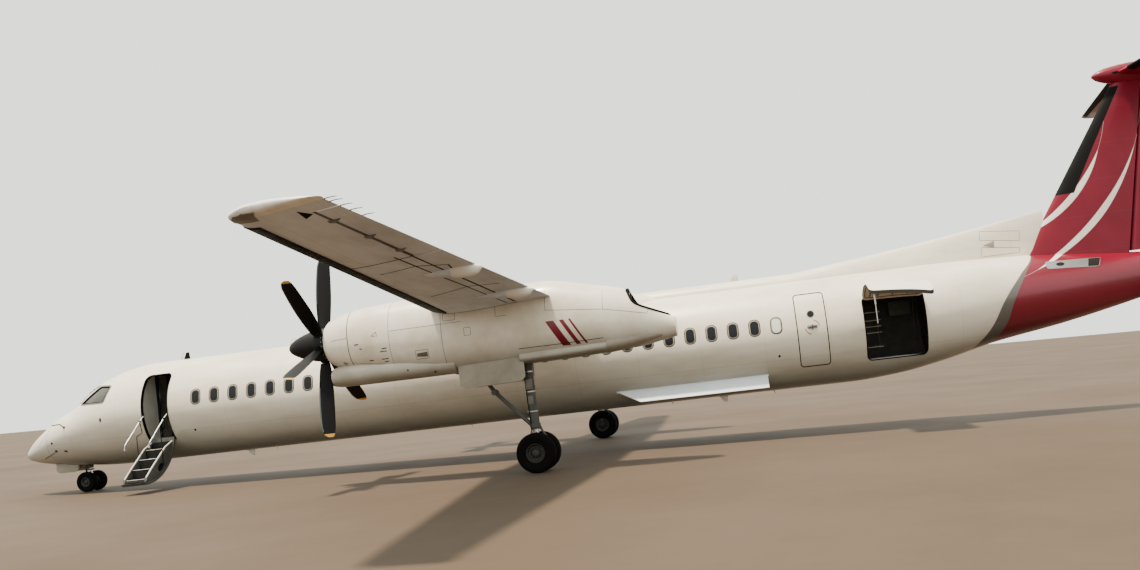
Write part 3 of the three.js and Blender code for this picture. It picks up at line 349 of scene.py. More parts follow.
@dataclass(frozen=True)
class TailPaint(Finish):
    """Fin and rudder paint: red with the white sweeps."""

    def paint(self, places: Places, vector: bpy.types.NodeSocket) -> Paint:
        """Red with the sweeps laid over it."""
        return swept(places, vector, linear(self.colour))

    def seams(self, places: Places, vector: bpy.types.NodeSocket) -> bpy.types.NodeSocket:
        """Rib joints across the fin."""
        _, _, height = places.axes(vector)
        return places.repeated(height, 0.86, 0.3, 0.006)


@dataclass(frozen=True)
class WingPaint(Finish):
    """Wing paint: grey-white over long sheets joined along the span and at the ribs."""

    ribs: float = 0.92
    spars: Row = (14.2, 14.62, 15.3)
    # Where the outer wing begins, and how far its spars lean back for each metre out
    outer: float = 4.4
    sweep: float = 0.062
    cap: float = 13.995
    cap_colour: str = "#ebe6db"

    def paint(self, places: Places, vector: bpy.types.NodeSocket) -> Paint:
        """Grey-white with the white cap at the wing's tip."""
        out, _, _ = places.axes(vector)
        cap = places.step(out, self.cap, self.cap + MASKED_FADE)
        return places.mixed(cap, linear(self.colour), linear(self.cap_colour))

    def seams(self, places: Places, vector: bpy.types.NodeSocket) -> bpy.types.NodeSocket:
        """Rib joints every so often, and spar joints that lean back with the outer wing."""
        out, aft, _ = places.axes(vector)
        past = places.maths("MAXIMUM", places.maths("SUBTRACT", out, self.outer), 0.0)
        lean = places.maths("MULTIPLY", past, self.sweep)
        straight = places.maths("SUBTRACT", aft, lean)
        marks = places.repeated(out, self.ribs, 0.31, 0.005)
        for spar in self.spars:
            beside = places.maths("SUBTRACT", straight, spar)
            marks = places.maths("MAXIMUM", marks, places.line(beside, 0.006))
        return marks


@dataclass(frozen=True)
class CowlPaint(Finish):
    """Nacelle paint: warm white, with three plain slanted bars at its rear."""

    red: str = "#700120"
    # Tint that darkens the cowl's lower part: painted shade, with some grime
    grime_and_shade: str = "#9aa1a3"
    # Slanted bars. Columns: place aft at their feet, width
    bars: tuple[Row, ...] = ((16.78, 0.17), (17.03, 0.09), (17.2, 0.045))
    span: tuple[float, float] = (0.24, 0.78)
    slant: float = -0.55

    def paint(self, places: Places, vector: bpy.types.NodeSocket) -> Paint:
        """White with the bars, which lean forward as they rise."""
        _, aft, height = places.axes(vector)
        lean = places.maths("MULTIPLY", places.maths("SUBTRACT", height, self.span[0]), self.slant)
        straight = places.maths("SUBTRACT", aft, lean)
        inside = places.maths("MULTIPLY", places.step(height, self.span[0], self.span[0] + SPRAYED_FADE),
                              places.step(height, self.span[1] + SPRAYED_FADE, self.span[1]))
        colour: Paint = linear(self.colour)
        for place, width in self.bars:
            bar = places.line(places.maths("SUBTRACT", straight, place), width)
            colour = places.mixed(places.maths("MULTIPLY", bar, inside), colour, linear(self.red))
        # Darker towards the bottom: painted shade, with some grime
        return places.grimed_and_shaded(colour, self.grime_and_shade, height, 0.55, -0.05)


@dataclass(frozen=True)
class BladeCoating(Finish):
    """Blade coating: near-black polyurethane over carbon fibre, with gold tips."""

    tip: str = "#c8983a"
    tip_radius: float = 1.982
    hub: tuple[float, float] = (4.395, 0.925)

    def paint(self, places: Places, vector: bpy.types.NodeSocket) -> Paint:
        """Black inside the tip's radius and gold outside it."""
        out, _, height = places.axes(vector)
        across = places.maths("POWER", places.maths("SUBTRACT", out, self.hub[0]), 2.0)
        up = places.maths("POWER", places.maths("SUBTRACT", height, self.hub[1]), 2.0)
        radius = places.maths("SQRT", places.maths("ADD", across, up))
        tip = places.step(radius, self.tip_radius, self.tip_radius + MASKED_FADE)
        return places.mixed(tip, linear(self.colour), linear(self.tip))


@dataclass(frozen=True)
class Pane(Finish):
    """Glass or acrylic that lets some light through."""

    through: float = 0.75

    def material(self) -> bpy.types.Material:
        """Builds the pane's material with its share of light let through."""
        material = super().material()
        shader = material.node_tree.nodes["Principled BSDF"]
        shader.inputs["Transmission Weight"].default_value = self.through
        return material


class Paintwork(Enum):
    """Every finish on the aircraft, named for what the real one is and, where it also paints shade, for that
    too.
    """

    # Gloss polyurethane paint over riveted aluminium: soft sheen with faint joint lines, and painted shade
    # towards the belly
    HULL = HullPaint("gloss_polyurethane_hull", "#e2dac9", "#cfc4b3", 0.32, coat=0.25, soiling=0.6,
                     stretch=(1.0, 0.45, 1.6), tint=True)
    # The same paint on the fin in red, a little chalky from the sun
    TAIL = TailPaint("gloss_polyurethane_tail", "#700120", "#c9bbb0", 0.36, coat=0.08, specular=0.25,
                     soiling=0.6, tint=True)
    # The tailplane's red paint, with no pattern on it
    TAILPLANE = Finish("gloss_polyurethane_tailplane", "#700120", "#c9bbb0", 0.36, coat=0.08, specular=0.25,
                       soiling=0.6, tint=True)
    # Satin wing enamel that keeps more dust than the hull does
    WING = WingPaint("satin_wing_enamel", "#cdd6df", "#9ba0a6", 0.5, coat=0.05, soiling=0.75,
                     stretch=(0.5, 1.4, 1.0))
    # Cowling paint over composite panels, with some exhaust haze, and painted shade on its lower part
    COWL = CowlPaint("gloss_polyurethane_cowl", "#ddd5c5", "#cbbea9", 0.33, coat=0.2, soiling=0.7, tint=True)
    # White paint on small fittings and doors
    WHITE = Finish("gloss_white_fittings", "#e2ddd3", "#bdb4a6", 0.36, coat=0.2)
    # White enamel of the strakes, with a bluish tint that is a painted reflection of the sky
    STRAKE = Finish("satin_strake_enamel", "#d8dfe4", "#b5bcc2", 0.4, coat=0.15)
    # Rubber de-icing boots: black, dull and slightly wrinkled
    BOOT = Finish("boot_rubber", "#060607", "#111110", 0.65, specular=0.12, grain=0.03, relief=0.001)
    # Extruded sealant in joints: dark grey and dull. The same dark grey paints the shade on the faces of the
    # flaps' bays, in the gaps
    SEALANT = Finish("joint_sealant_and_gap_shade", "#26231f", "#3a352e", 0.8, specular=0.15, grain=0.01)
    # Silicone door seal: black and soft. The same black paints the shade in the airstair's cheek holes, the
    # cowl's slots, the wing's vent and the exhaust's opening and edge
    SEAL = Finish("silicone_seal_and_shade", "#070707", "#12110f", 0.75, specular=0.12, grain=0.01)
    # Carbon blades under a polyurethane coat
    BLADE = BladeCoating("blade_polyurethane", "#070809", "#b9b1a5", 0.5, specular=0.14, tint=True)
    # Painted composite spinner: near-black with road dust
    SPINNER = Finish("spinner_composite", "#060708", "#0e0d0c", 0.48, specular=0.16)
    # Nickel leading-edge guard on each blade
    NICKEL = Finish("nickel_guard", "#5d5e60", "#3b3b3c", 0.34, metallic=1.0)
    # Cast and painted cases of the engine
    ENGINE = Finish("engine_castings", "#6c6e6d", "#3c3833", 0.5, metallic=0.4, grain=0.01, patch=0.2)
    # Grey enamel on forged gear legs
    GEAR = Finish("gear_enamel", "#42433f", "#282723", 0.5, specular=0.3, grain=0.01, patch=0.2)
    # Cast and machined wheel hubs, anodised grey
    HUB = Finish("anodised_hub", "#2e2f2c", "#1d1b18", 0.5, metallic=0.3, specular=0.3, grain=0.006,
                 patch=0.12)
    # Hard chrome on the sliding legs
    CHROME = Finish("chromed_piston", "#c9cbcc", "#8e8d8a", 0.12, metallic=1.0, grain=0.004, relief=0.0001)
    # Heat-blued stainless steel of the probes
    PROBE = Finish("probe_steel", "#4a4642", "#2c2926", 0.35, metallic=0.8, grain=0.004, patch=0.1)
    # Grey-white enamel of the gear doors, dull, and painted darker as the shade that they stand in under the
    # nacelles and the nose
    DOOR = Finish("gear_door_enamel_shaded", "#958e81", "#6a6358", 0.5, specular=0.35, grain=0.02, patch=0.3)
    # Tyre rubber with the grey bloom of dust
    RUBBER = Finish("tyre_compound", "#0a0a0a", "#0e0d0b", 0.9, specular=0.06, grain=0.006, relief=0.0012,
                    patch=0.15)
    # Black hydraulic hose
    HOSE = Finish("hose_rubber", "#0a0b0b", "#181715", 0.6, specular=0.2, grain=0.004)
    # Heat-stained stainless steel of the exhausts
    EXHAUST = Finish("heat_stained_steel", "#77706a", "#3a332d", 0.38, metallic=0.9, patch=0.25, soiling=0.8)
    # Soot inside the exhausts. The same near-black paints the shade inside the intakes, in the gap behind the
    # spinner and in the wheels' holes
    SOOT = Finish("sooted_duct_and_shade", "#171514", "#282420", 0.75, specular=0.15, patch=0.2)
    # Bare aluminium of vents, plates and screens
    ALUMINIUM = Finish("brushed_aluminium", "#b3b4b3", "#86847f", 0.35, metallic=0.9, grain=0.003)
    # Grey vinyl wall panels inside the doors
    LINING = Finish("cabin_vinyl", "#b9b6ae", "#948f86", 0.6, grain=0.008, patch=0.4)
    # Dark trim and carpet inside; on the faces of the flight deck's doorway the same dark is painted shade
    DARK = Finish("cabin_trim_and_shade", "#1c1d20", "#2a2927", 0.8, specular=0.2, grain=0.006, relief=0.002)
    # Fibreglass lining of the baggage room, dark grey in its shade
    BAY = Finish("bay_fibreglass", "#4a4a47", "#33322e", 0.65, specular=0.3, grain=0.02, patch=0.3)
    # Beige liner on the inside of the baggage door
    LINER = Finish("door_liner", "#c4baa8", "#938977", 0.6, grain=0.02, patch=0.3)
    # Greenish primer on bay frames
    PRIMER = Finish("zinc_primer", "#5f665a", "#474a40", 0.6, specular=0.3, grain=0.01, patch=0.2)
    # Anti-slip strips of grit in black epoxy
    TREAD = Finish("grit_tread", "#131415", "#292621", 0.9, specular=0.15, grain=0.003, relief=0.003,
                   patch=0.12)
    # Stretched acrylic cabin panes with a soft gloss, opaque and near-black as painted shade of the dark
    # cabin behind them; the flight deck's dark screens use it too
    CABIN_PANE = Finish("acrylic_pane", "#14171a", "#0d0f11", 0.28, specular=0.2, grain=0.2, relief=0.0002,
                        patch=0.3)
    # Grey enamel window frames of the flight deck. The same grey paints the shade on the faces of the
    # aileron's bay, in its gap
    FRAME = Finish("window_frame_enamel_and_gap_shade", "#68645c", "#48443d", 0.45, specular=0.3, grain=0.01, patch=0.2)
    # Pale window surrounds
    RIM = Finish("window_surround", "#8e877b", "#6a645a", 0.45, specular=0.35, grain=0.01, patch=0.2)
    # Glass of the flight deck, a little grey
    GLASS = Pane("laminated_glass", "#77746a", "#5c594f", 0.03, grain=0.3, relief=0.0001, soiling=0.3)
    # Clear lamp covers
    LAMP = Pane("lamp_cover", "#dfe4e6", "#b9bec0", 0.06, grain=0.05, through=0.6)
    # Red lamp covers and beacons
    RED_LAMP = Finish("red_lamp_cover", "#a01a16", "#6c1512", 0.12, coat=0.6, grain=0.05)
    # Green lamp cover of the starboard wing's tip
    GREEN_LAMP = Finish("green_lamp_cover", "#1c7a4c", "#125034", 0.12, coat=0.6, grain=0.05)
    # Red stencil paint round the doors
    RED_MARK = Finish("red_stencil", "#76100f", "#5c1a17", 0.5, specular=0.2)
    # Sand-coloured concrete floor of the studio, darker than it looks since the light on it is strong
    CONCRETE = Finish("pale_concrete", "#43331f", "#392a17", 0.85, grain=0.05, relief=0.002, patch=6.0)
    # Seat cloth, dark blue-grey weave
    CLOTH = Finish("seat_weave", "#3a3f48", "#2a2d33", 0.95, grain=0.003, relief=0.002)

    @property
    def material(self) -> bpy.types.Material:
        """The finish's material, built at its first use."""
        found = bpy.data.materials.get(self.value.name)
        return found or self.value.material()


# Modelling tools


def pick(*pieces: Piece) -> None:
    """Selects these pieces alone and makes the first one active."""
    bpy.ops.object.select_all(action="DESELECT")
    for piece in pieces:
        piece.select_set(True)
    if pieces:
        bpy.context.view_layer.objects.active = pieces[0]


@contextmanager
def editing(piece: Piece) -> Iterator[bmesh.types.BMesh]:
    """Opens a piece in edit mode with all of it selected."""
    pick(piece)
    bpy.ops.object.mode_set(mode="EDIT")
    bpy.ops.mesh.select_all(action="SELECT")
    yield bmesh.from_edit_mesh(piece.data)
    bpy.ops.object.mode_set(mode="OBJECT")


def laid(ring: Ring, fill: str = "NGON") -> Piece:
    """Adds a circle and lays its corners on a ring."""
    pick()
    bpy.ops.mesh.primitive_circle_add(vertices=len(ring), radius=1, fill_type=fill)
    piece = bpy.context.active_object
    for vertex, place in zip(piece.data.vertices, ring):
        vertex.co = place
    return piece


def loft(rings: Sequence[Ring], closed: bool = False) -> Piece:
    """Extrudes a ring through others of the same number of corners.

    Args:
        rings: The rings in order, none with two corners at one place.
        closed: True where the last ring runs back into the first.

    Returns:
        A closed piece.
    """
    piece = laid(rings[0], "NOTHING" if closed else "NGON")
    order = [*rings, rings[0]] if closed else list(rings)
    with editing(piece) as mesh:
        for before, after in pairwise(order):
            bpy.ops.mesh.extrude_region_move()
            moves = {tuple(place): target for place, target in zip(before, after)}
            for vertex in mesh.verts:
                if vertex.select:
                    vertex.co = moves[tuple(vertex.co)]
        bmesh.update_edit_mesh(piece.data)
        if closed:
            bpy.ops.mesh.select_all(action="SELECT")
            bpy.ops.mesh.remove_doubles(threshold=MERGE)
    return piece


def turned(section: Iterable[tuple[float, float]], centre: Vector, axis: Vector, steps: int = 48) -> Piece:
    """Spins a closed section round an axis.

    Args:
        section: Corners as places along the axis and radii.
        centre: A point on the axis.
        axis: The axis's direction.
        steps: Steps in the whole turn.

    Returns:
        A closed round piece.
    """
    along = axis.normalized()
    out = along.orthogonal().normalized()
    piece = laid([centre + along * place + out * radius for place, radius in section], "NOTHING")
    with editing(piece):
        bpy.ops.mesh.spin(steps=steps, angle=math.tau, center=centre, axis=along)
        bpy.ops.mesh.select_all(action="SELECT")
        bpy.ops.mesh.remove_doubles(threshold=MERGE)
        bpy.ops.mesh.delete_loose(use_faces=False)
    return piece


def softened(piece: Piece, width: float, segments: int = 2, limit: float = 35.0) -> Piece:
    """Rounds a piece's sharp edges."""
    bevel = piece.modifiers.new("edges", "BEVEL")
    bevel.width, bevel.segments, bevel.angle_limit = width, segments, math.radians(limit)
    return finished(piece)


def finished(piece: Piece) -> Piece:
    """Applies a piece's modifiers."""
    pick(piece)
    for modifier in list(piece.modifiers):
        bpy.ops.object.modifier_apply(modifier=modifier.name)
    return piece


def slab(outline: Ring, through: Vector, soft: float = 0.0) -> Piece:
    """Draws a flat outline along a direction."""
    piece = loft([outline, [place + through for place in outline]])
    return softened(outward(piece), soft) if soft else piece


def across(outline: Outline, start: float, end: float) -> Piece:
    """An outline of y and z pairs, drawn along x."""
    return loft([[Vector((x, y, z)) for y, z in outline] for x in (start, end)])


def along(outline: Outline, start: float, end: float) -> Piece:
    """An outline of x and z pairs, drawn along y."""
    return loft([[Vector((x, y, z)) for x, z in outline] for y in (start, end)])


def outward(piece: Piece) -> Piece:
    """Turns a closed piece's faces outwards."""
    with editing(piece):
        bpy.ops.mesh.normals_make_consistent(inside=False)
    return piece


def box(low: Sequence[float], high: Sequence[float], soft: float = 0.0) -> Piece:
    """Adds a block between two corners, with rounded edges if asked."""
    size = [b - a for a, b in zip(low, high)]
    middle = [(a + b) / 2 for a, b in zip(low, high)]
    pick()
    bpy.ops.mesh.primitive_cube_add(size=1, location=middle, scale=size)
    bpy.ops.object.transform_apply(location=True, rotation=True, scale=True)
    piece = bpy.context.active_object
    return softened(piece, soft) if soft else piece


def tube(places: Sequence[Sequence[float]], radius: float | Sequence[float], sides: int = 12) -> Piece:
    """Sweeps a circle along a path, mitred at its bends.

    Args:
        places: The path's points.
        radius: One radius, or one for each point.
        sides: Sides of the circle.

    Returns:
        A closed piece.
    """
    path = [Vector(place) for place in places]
    radii = [radius] * len(path) if isinstance(radius, (int, float)) else list(radius)
    runs = [(b - a).normalized() for a, b in pairwise(path)]
    across = runs[0].orthogonal().normalized()
    rings = []
    for i, place in enumerate(path):
        before, after = runs[max(i - 1, 0)], runs[min(i, len(runs) - 1)]
        along = (before + after).normalized()
        across = (across - along * across.dot(along)).normalized()
        up = along.cross(across)
        widen = 1 / max(0.5, along.dot(before))
        side = before.cross(after)
        ring = []
        for k in range(sides):
            angle = math.tau * k / sides
            offset = (across * math.cos(angle) + up * math.sin(angle)) * radii[i]
            if side.length > 1e-4:
                bend = side.normalized().cross(along)
                offset += bend * offset.dot(bend) * (widen - 1)
            ring.append(place + offset)
        rings.append(ring)
    return loft(rings)


def rod(start: Sequence[float], end: Sequence[float], radius: float, sides: int = 20,
        soft: float = 0.004) -> Piece:
    """A round bar with softened rims."""
    first, last = Vector(start), Vector(end)
    along = (last - first).normalized()
    run = (last - first).length
    rim = min(soft, radius * 0.4, run * 0.4)
    steps = [(0, radius - rim), (rim, radius), (run - rim, radius), (run, radius - rim)]
    return tube([first + along * place for place, _ in steps], [size for _, size in steps], sides)


def curve(places: Sequence[Sequence[float]], steps: int = 8) -> list[Vector]:
    """A smooth path through points, by Catmull and Rom's rule."""
    path = [Vector(place) for place in places]
    ends = [path[0] * 2 - path[1], *path, path[-1] * 2 - path[-2]]
    found = []
    for a, b, c, d in zip(ends, ends[1:], ends[2:], ends[3:]):
        for i in range(steps):
            t = i / steps
            found.append(0.5 * (b * 2 + (c - a) * t + (a * 2 - b * 5 + c * 4 - d) * t * t
                                + (b * 3 - a - c * 3 + d) * t ** 3))
    return [*found, path[-1]]


def bent(places: Sequence[Sequence[float]], radius: float, steps: int = 5) -> list[Vector]:
    """A path with its inner corners rounded."""
    path = [Vector(place) for place in places]
    found = [path[0]]
    for before, corner, after in zip(path, path[1:], path[2:]):
        first, last = before - corner, after - corner
        reach = min(radius, first.length * 0.45, last.length * 0.45)
        start, end = corner + first.normalized() * reach, corner + last.normalized() * reach
        found += [start.lerp(corner, share).lerp(corner.lerp(end, share), share)
                  for share in (k / steps for k in range(steps + 1))]
    return [*found, path[-1]]


def joined(pieces: Sequence[Piece]) -> Piece:
    """Joins pieces into the first."""
    if len(pieces) > 1:
        pick(*pieces)
        bpy.ops.object.join()
    return pieces[0]


def copied(piece: Piece, matrix: Matrix | None = None) -> Piece:
    """A copy with its own mesh, moved by a matrix if one is given and turned the right way out."""
    copy = piece.copy()
    copy.data = piece.data.copy()
    bpy.context.scene.collection.objects.link(copy)
    if matrix is not None:
        copy.data.transform(matrix)
        if matrix.determinant() < 0:
            copy.data.flip_normals()
    return copy


def mirrored(piece: Piece, x: float = 0.0) -> Piece:
    """The piece's mirror image across the airframe's middle, or across an upright plane at x."""
    return copied(piece, Matrix.Translation((2 * x, 0, 0)) @ MIRROR)


def both(piece: Piece, x: float = 0.0) -> Piece:
    """A piece with its mirror image joined to it."""
    return joined([piece, mirrored(piece, x)])


def cut(piece: Piece, tools: Sequence[Piece], keep: bool = False) -> Piece:
    """Cuts tools' shapes out of a piece, or keeps only what lies inside them.

    Args:
        piece: The closed piece to cut, with its material on.
        tools: Closed pieces, whose materials the cut faces take.
        keep: True to keep the inside instead.

    Returns:
        The same piece, cut.
    """
    for tool in tools:
        knife = piece.modifiers.new("cut", "BOOLEAN")
        knife.operation = "INTERSECT" if keep else "DIFFERENCE"
        knife.solver = "EXACT"
        knife.material_mode = "TRANSFER"
        knife.object = outward(tool)
        finished(piece)
        bpy.data.objects.remove(tool)
    return piece


def painted(piece: Piece, finish: Paintwork) -> Piece:
    """Puts a finish on a piece."""
    piece.data.materials.clear()
    piece.data.materials.append(finish.material)
    return piece


def turned_about(piece: Piece, pivot: Sequence[float], degrees: float) -> Piece:
    """Turns a piece about a line that runs aft through a point."""
    there = Matrix.Translation(Vector(pivot))
    piece.data.transform(there @ Matrix.Rotation(math.radians(degrees), 4, "Y") @ there.inverted())
    return piece


def settle(piece: Piece, name: str, finish: Paintwork | None, body: str = "airframe", slot: str | None = None,
           replaces: Sequence[str] = (), angle: float = 32.0) -> Piece:
    """Finishes a piece and gives it to its body.

    Args:
        piece: The piece in the airframe's axes.
        name: Its name.
        finish: Its finish, or None where its faces have theirs.
        body: The body that it rides on.
        slot: The record's material slot; not used.
        replaces: CAD nodes that it stands for.
        angle: Edges sharper than this stay sharp.

    Returns:
        The piece.
    """
    if finish:
        painted(outward(piece), finish)
    piece.data.transform(AIRFRAME)
    piece.name = piece.data.name = name
    pick(piece)
    bpy.ops.object.shade_smooth_by_angle(angle=math.radians(angle))
    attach(piece, body)
    if replaces:
        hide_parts(*replaces)
    log.info("%s: %d faces on %s", name, len(piece.data.polygons), body)
    return piece


def pair(piece: Piece, name: str, finish: Paintwork | None, body: Body | None = None, slot: str | None = None,
         replaces: Sequence[str] = ()) -> None:
    """Settles a port piece and its mirror image.

    Args:
        piece: The port piece, which is used up.
        name: Its name before its side.
        finish: Its finish, or None where its faces have theirs.
        body: The kind of body that it rides on, or None for the airframe.
        slot: The record's material slot.
        replaces: CAD nodes that it stands for, named without their side.
    """
    for side in SIDE_NAMES:
        made = copied(piece) if side == "port" else mirrored(piece)
        settle(made, f"{name}_{side}", finish, body.on(side) if body else "airframe", slot,
               [f"{word}_{side}" for word in replaces])
    bpy.data.objects.remove(piece)


# Outlines, and pieces that follow a skin


def between(start: float, end: float, count: int) -> list[float]:
    """Evenly spaced values from a start to an end, both included."""
    return [start + (end - start) * i / count for i in range(count + 1)]


def facing(skin: Skin, u: float, v: float) -> Vector:
    """A skin's outward direction, away from the body's own middle line."""
    here, near = skin(u, v), 0.002
    return (skin(u + near, v) - here).cross(skin(u, v + near) - here).normalized()


def lifted(skin: Skin, u: float, v: float, lift: float, sign: float = 1.0) -> Vector:
    """A point a little above a skin."""
    return skin(u, v) + facing(skin, u, v) * lift * sign


def rounded(u0: float, u1: float, v0: float, v1: float, radius: float, steps: int = 5) -> Pairs:
    """A rectangle with round corners, as pairs."""
    corners = ((u1 - radius, v1 - radius, 0), (u0 + radius, v1 - radius, 90),
               (u0 + radius, v0 + radius, 180), (u1 - radius, v0 + radius, 270))
    return [(u + radius * math.cos(math.radians(start + 90 * i / steps)),
             v + radius * math.sin(math.radians(start + 90 * i / steps)))
            for u, v, start in corners for i in range(steps + 1)]


def oval(u: float, v: float, wide: float, tall: float | None = None, steps: int = 28) -> Pairs:
    """A round outline about a place, or an oval one, from its half width and half height."""
    rise = wide if tall is None else tall
    turns = [math.tau * k / steps for k in range(steps)]
    return [(u + wide * math.cos(turn), v + rise * math.sin(turn)) for turn in turns]


def dense(outline: Outline, step: float) -> Pairs:
    """A closed outline with points no further apart than a step."""
    found = []
    for (u, v), (s, t) in zip(outline, [*outline[1:], outline[0]]):
        count = max(1, math.ceil(math.hypot(s - u, t - v) / step))
        found += [(u + (s - u) * i / count, v + (t - v) * i / count) for i in range(count)]
    return found


def filleted(outline: Outline, radius: float, steps: int = 4) -> Pairs:
    """A closed outline with its corners rounded."""
    found = []
    for i, here in enumerate(outline):
        before, after = outline[i - 1], outline[(i + 1) % len(outline)]
        corner = Vector(here)
        first, last = (Vector(before) - corner), (Vector(after) - corner)
        reach = min(radius, first.length * 0.45, last.length * 0.45)
        start, end = corner + first.normalized() * reach, corner + last.normalized() * reach
        for k in range(steps + 1):
            t = k / steps
            point = start * (1 - t) ** 2 + corner * 2 * t * (1 - t) + end * t * t
            found.append((point.x, point.y))
    return found


def shrunk(outline: Outline, amount: float) -> Pairs:
    """A closed outline drawn in by a distance, which may be below 0 to draw it out."""
    count = len(outline)
    area = sum(outline[i - 1][0] * outline[i][1] - outline[i][0] * outline[i - 1][1] for i in range(count))
    sense = math.copysign(1.0, area)
    found = []
    for i, (u, v) in enumerate(outline):
        before, after = outline[i - 1], outline[(i + 1) % count]
        first = Vector((u - before[0], v - before[1])).normalized()
        last = Vector((after[0] - u, after[1] - v)).normalized()
        inward = Vector((-(first + last).y, (first + last).x)).normalized() * sense
        found.append((u + inward.x * amount, v + inward.y * amount))
    return found


def rim(skin: Skin, outline: Outline, width: float, lift: float, depth: float = 0.004,
        sign: float = 1.0) -> Piece:
    """A flat frame on a skin, inside an outline."""
    edge, inner = shrunk(outline, min(0.002, width * 0.2)), shrunk(outline, width)
    steps = ((outline, -depth), (outline, lift * 0.6), (edge, lift), (inner, lift), (inner, -depth))
    return loft([[lifted(skin, u, v, height, sign) for u, v in line] for line, height in steps], closed=True)


def plate(skin: Skin, outline: Outline, lift: float, depth: float = 0.004, sign: float = 1.0,
          crown: float = 0.0) -> Piece:
    """A plate on a skin that follows its curve.

    Args:
        skin: Gives the body's point for a pair.
        outline: The plate's edge as pairs.
        lift: Height of its face above the skin.
        depth: How far its edge goes below the skin.
        sign: -1 where the skin's pairs run the other way round.
        crown: How much higher its middle is than its edge.

    Returns:
        A closed piece.
    """
    middle = [sum(pair[k] for pair in outline) / len(outline) for k in (0, 1)]
    steps = [(1.0, -depth), (1.0, lift), (0.75, lift + crown * 0.45), (0.45, lift + crown * 0.8),
             (0.15, lift + crown)]
    rings = []
    for scale, height in steps:
        scaled = [[m + (p - m) * scale for p, m in zip(pair, middle)] for pair in outline]
        rings.append([lifted(skin, u, v, height, sign) for u, v in scaled])
    return loft(rings)


def ribbon(places: Sequence[Vector], normals: Sequence[Vector], width: float, lift: float = 0.0015,
           closed: bool = False) -> Piece:
    """A thin strip along a path on a surface."""
    rings = []
    count = len(places)
    for i, (place, normal) in enumerate(zip(places, normals)):
        before = places[i - 1] if closed or i else place
        after = places[(i + 1) % count] if closed or i < count - 1 else place
        across = (after - before).cross(normal).normalized() * width / 2
        rings.append([place + across - normal * 0.004, place + across * 0.8 + normal * lift,
                      place - across * 0.8 + normal * lift, place - across - normal * 0.004])
    return loft(rings, closed)


def strip(skin: Skin, path: Outline, width: float, lift: float = 0.0015, step: float = 0.12,
          sign: float = 1.0) -> Piece:
    """A thin strip along an open path of pairs on a skin."""
    pairs = [path[0]]
    for (u, v), (s, t) in pairwise(path):
        count = max(1, math.ceil(math.hypot(s - u, t - v) / step))
        pairs += [(u + (s - u) * i / count, v + (t - v) * i / count) for i in range(1, count + 1)]
    return ribbon([skin(u, v) for u, v in pairs], [facing(skin, u, v) * sign for u, v in pairs], width, lift)


def hoop(ring: Ring, middle: Vector, width: float, lift: float) -> Piece:
    """A raised band along a closed ring, facing away from a middle point."""
    return ribbon(ring, [(place - middle).normalized() for place in ring], width, lift, closed=True)


# Shapes of bodies and flying surfaces


def smooth(table: Sequence[Row], place: float) -> list[float]:
    """A table's row at any place, on curves that don't overshoot its rows."""
    index = next((i for i, row in enumerate(table) if row[0] >= place), len(table) - 1)
    index = min(max(index, 1), len(table) - 1)
    low, high = table[index - 1], table[index]
    run = high[0] - low[0]
    t = min(max((place - low[0]) / run, 0.0), 1.0)

    def slope(at: int, column: int) -> float:
        """The curve's slope at one row of the table."""
        sides = [(b[column] - a[column]) / (b[0] - a[0]) for a, b in pairwise(table[max(at - 1, 0):at + 2])]
        if len(sides) == 1:
            return sides[0]
        return 0.0 if sides[0] * sides[1] <= 0 else 2 * sides[0] * sides[1] / (sides[0] + sides[1])

    values = []
    for column in range(1, len(low)):
        a, b = low[column], high[column]
        first, last = slope(index - 1, column) * run, slope(index, column) * run
        values.append(a + (3 * (b - a) - 2 * first - last) * t * t + (first + last - 2 * (b - a)) * t ** 3
                      + first * t)
    return values


@dataclass(frozen=True)
class Hull:
    """A round body. Its rows give place aft, top, bottom, height of the widest place and half width."""

    rows: tuple[Row, ...]
    power: float = 2.0
    middle: float = 0.0

    def at(self, place: float, angle: float, inset: float = 0.0) -> Vector:
        """The skin's point at an angle up from port."""
        top, bottom, widest, half = smooth(self.rows, place)
        bend = [math.copysign(abs(v) ** (2 / self.power), v) for v in (math.cos(angle), math.sin(angle))]
        tall = top - widest if bend[1] > 0 else widest - bottom
        return Vector((self.middle + (half - inset) * bend[0], place, widest + (tall - inset) * bend[1]))

    def side(self, place: float, height: float) -> Vector:
        """The port skin's point at a height."""
        top, bottom, widest, half = smooth(self.rows, place)
        tall = top - widest if height > widest else widest - bottom
        share = min(1.0, abs(height - widest) / tall)
        return Vector((self.middle + half * (1 - share ** self.power) ** (1 / self.power), place, height))

    def ring(self, place: float, sides: int, inset: float = 0.0) -> Ring:
        """The skin's ring at a place."""
        return [self.at(place, math.tau * (k + 0.5) / sides, inset) for k in range(sides)]

    def shape(self, start: float, end: float, step: float, sides: int = 96, inset: float = 0.0) -> Piece:
        """The body from one place to another."""
        places = between(start, end, max(1, round((end - start) / step)))
        return loft([self.ring(place, sides, inset) for place in places])


def section(chord: float) -> float:
    """Half the thickness of a wing section of thickness 1, at a chord fraction."""
    return 5 * (0.2969 * math.sqrt(chord) - 0.126 * chord - 0.3516 * chord ** 2 + 0.2843 * chord ** 3
                - 0.1015 * chord ** 4)


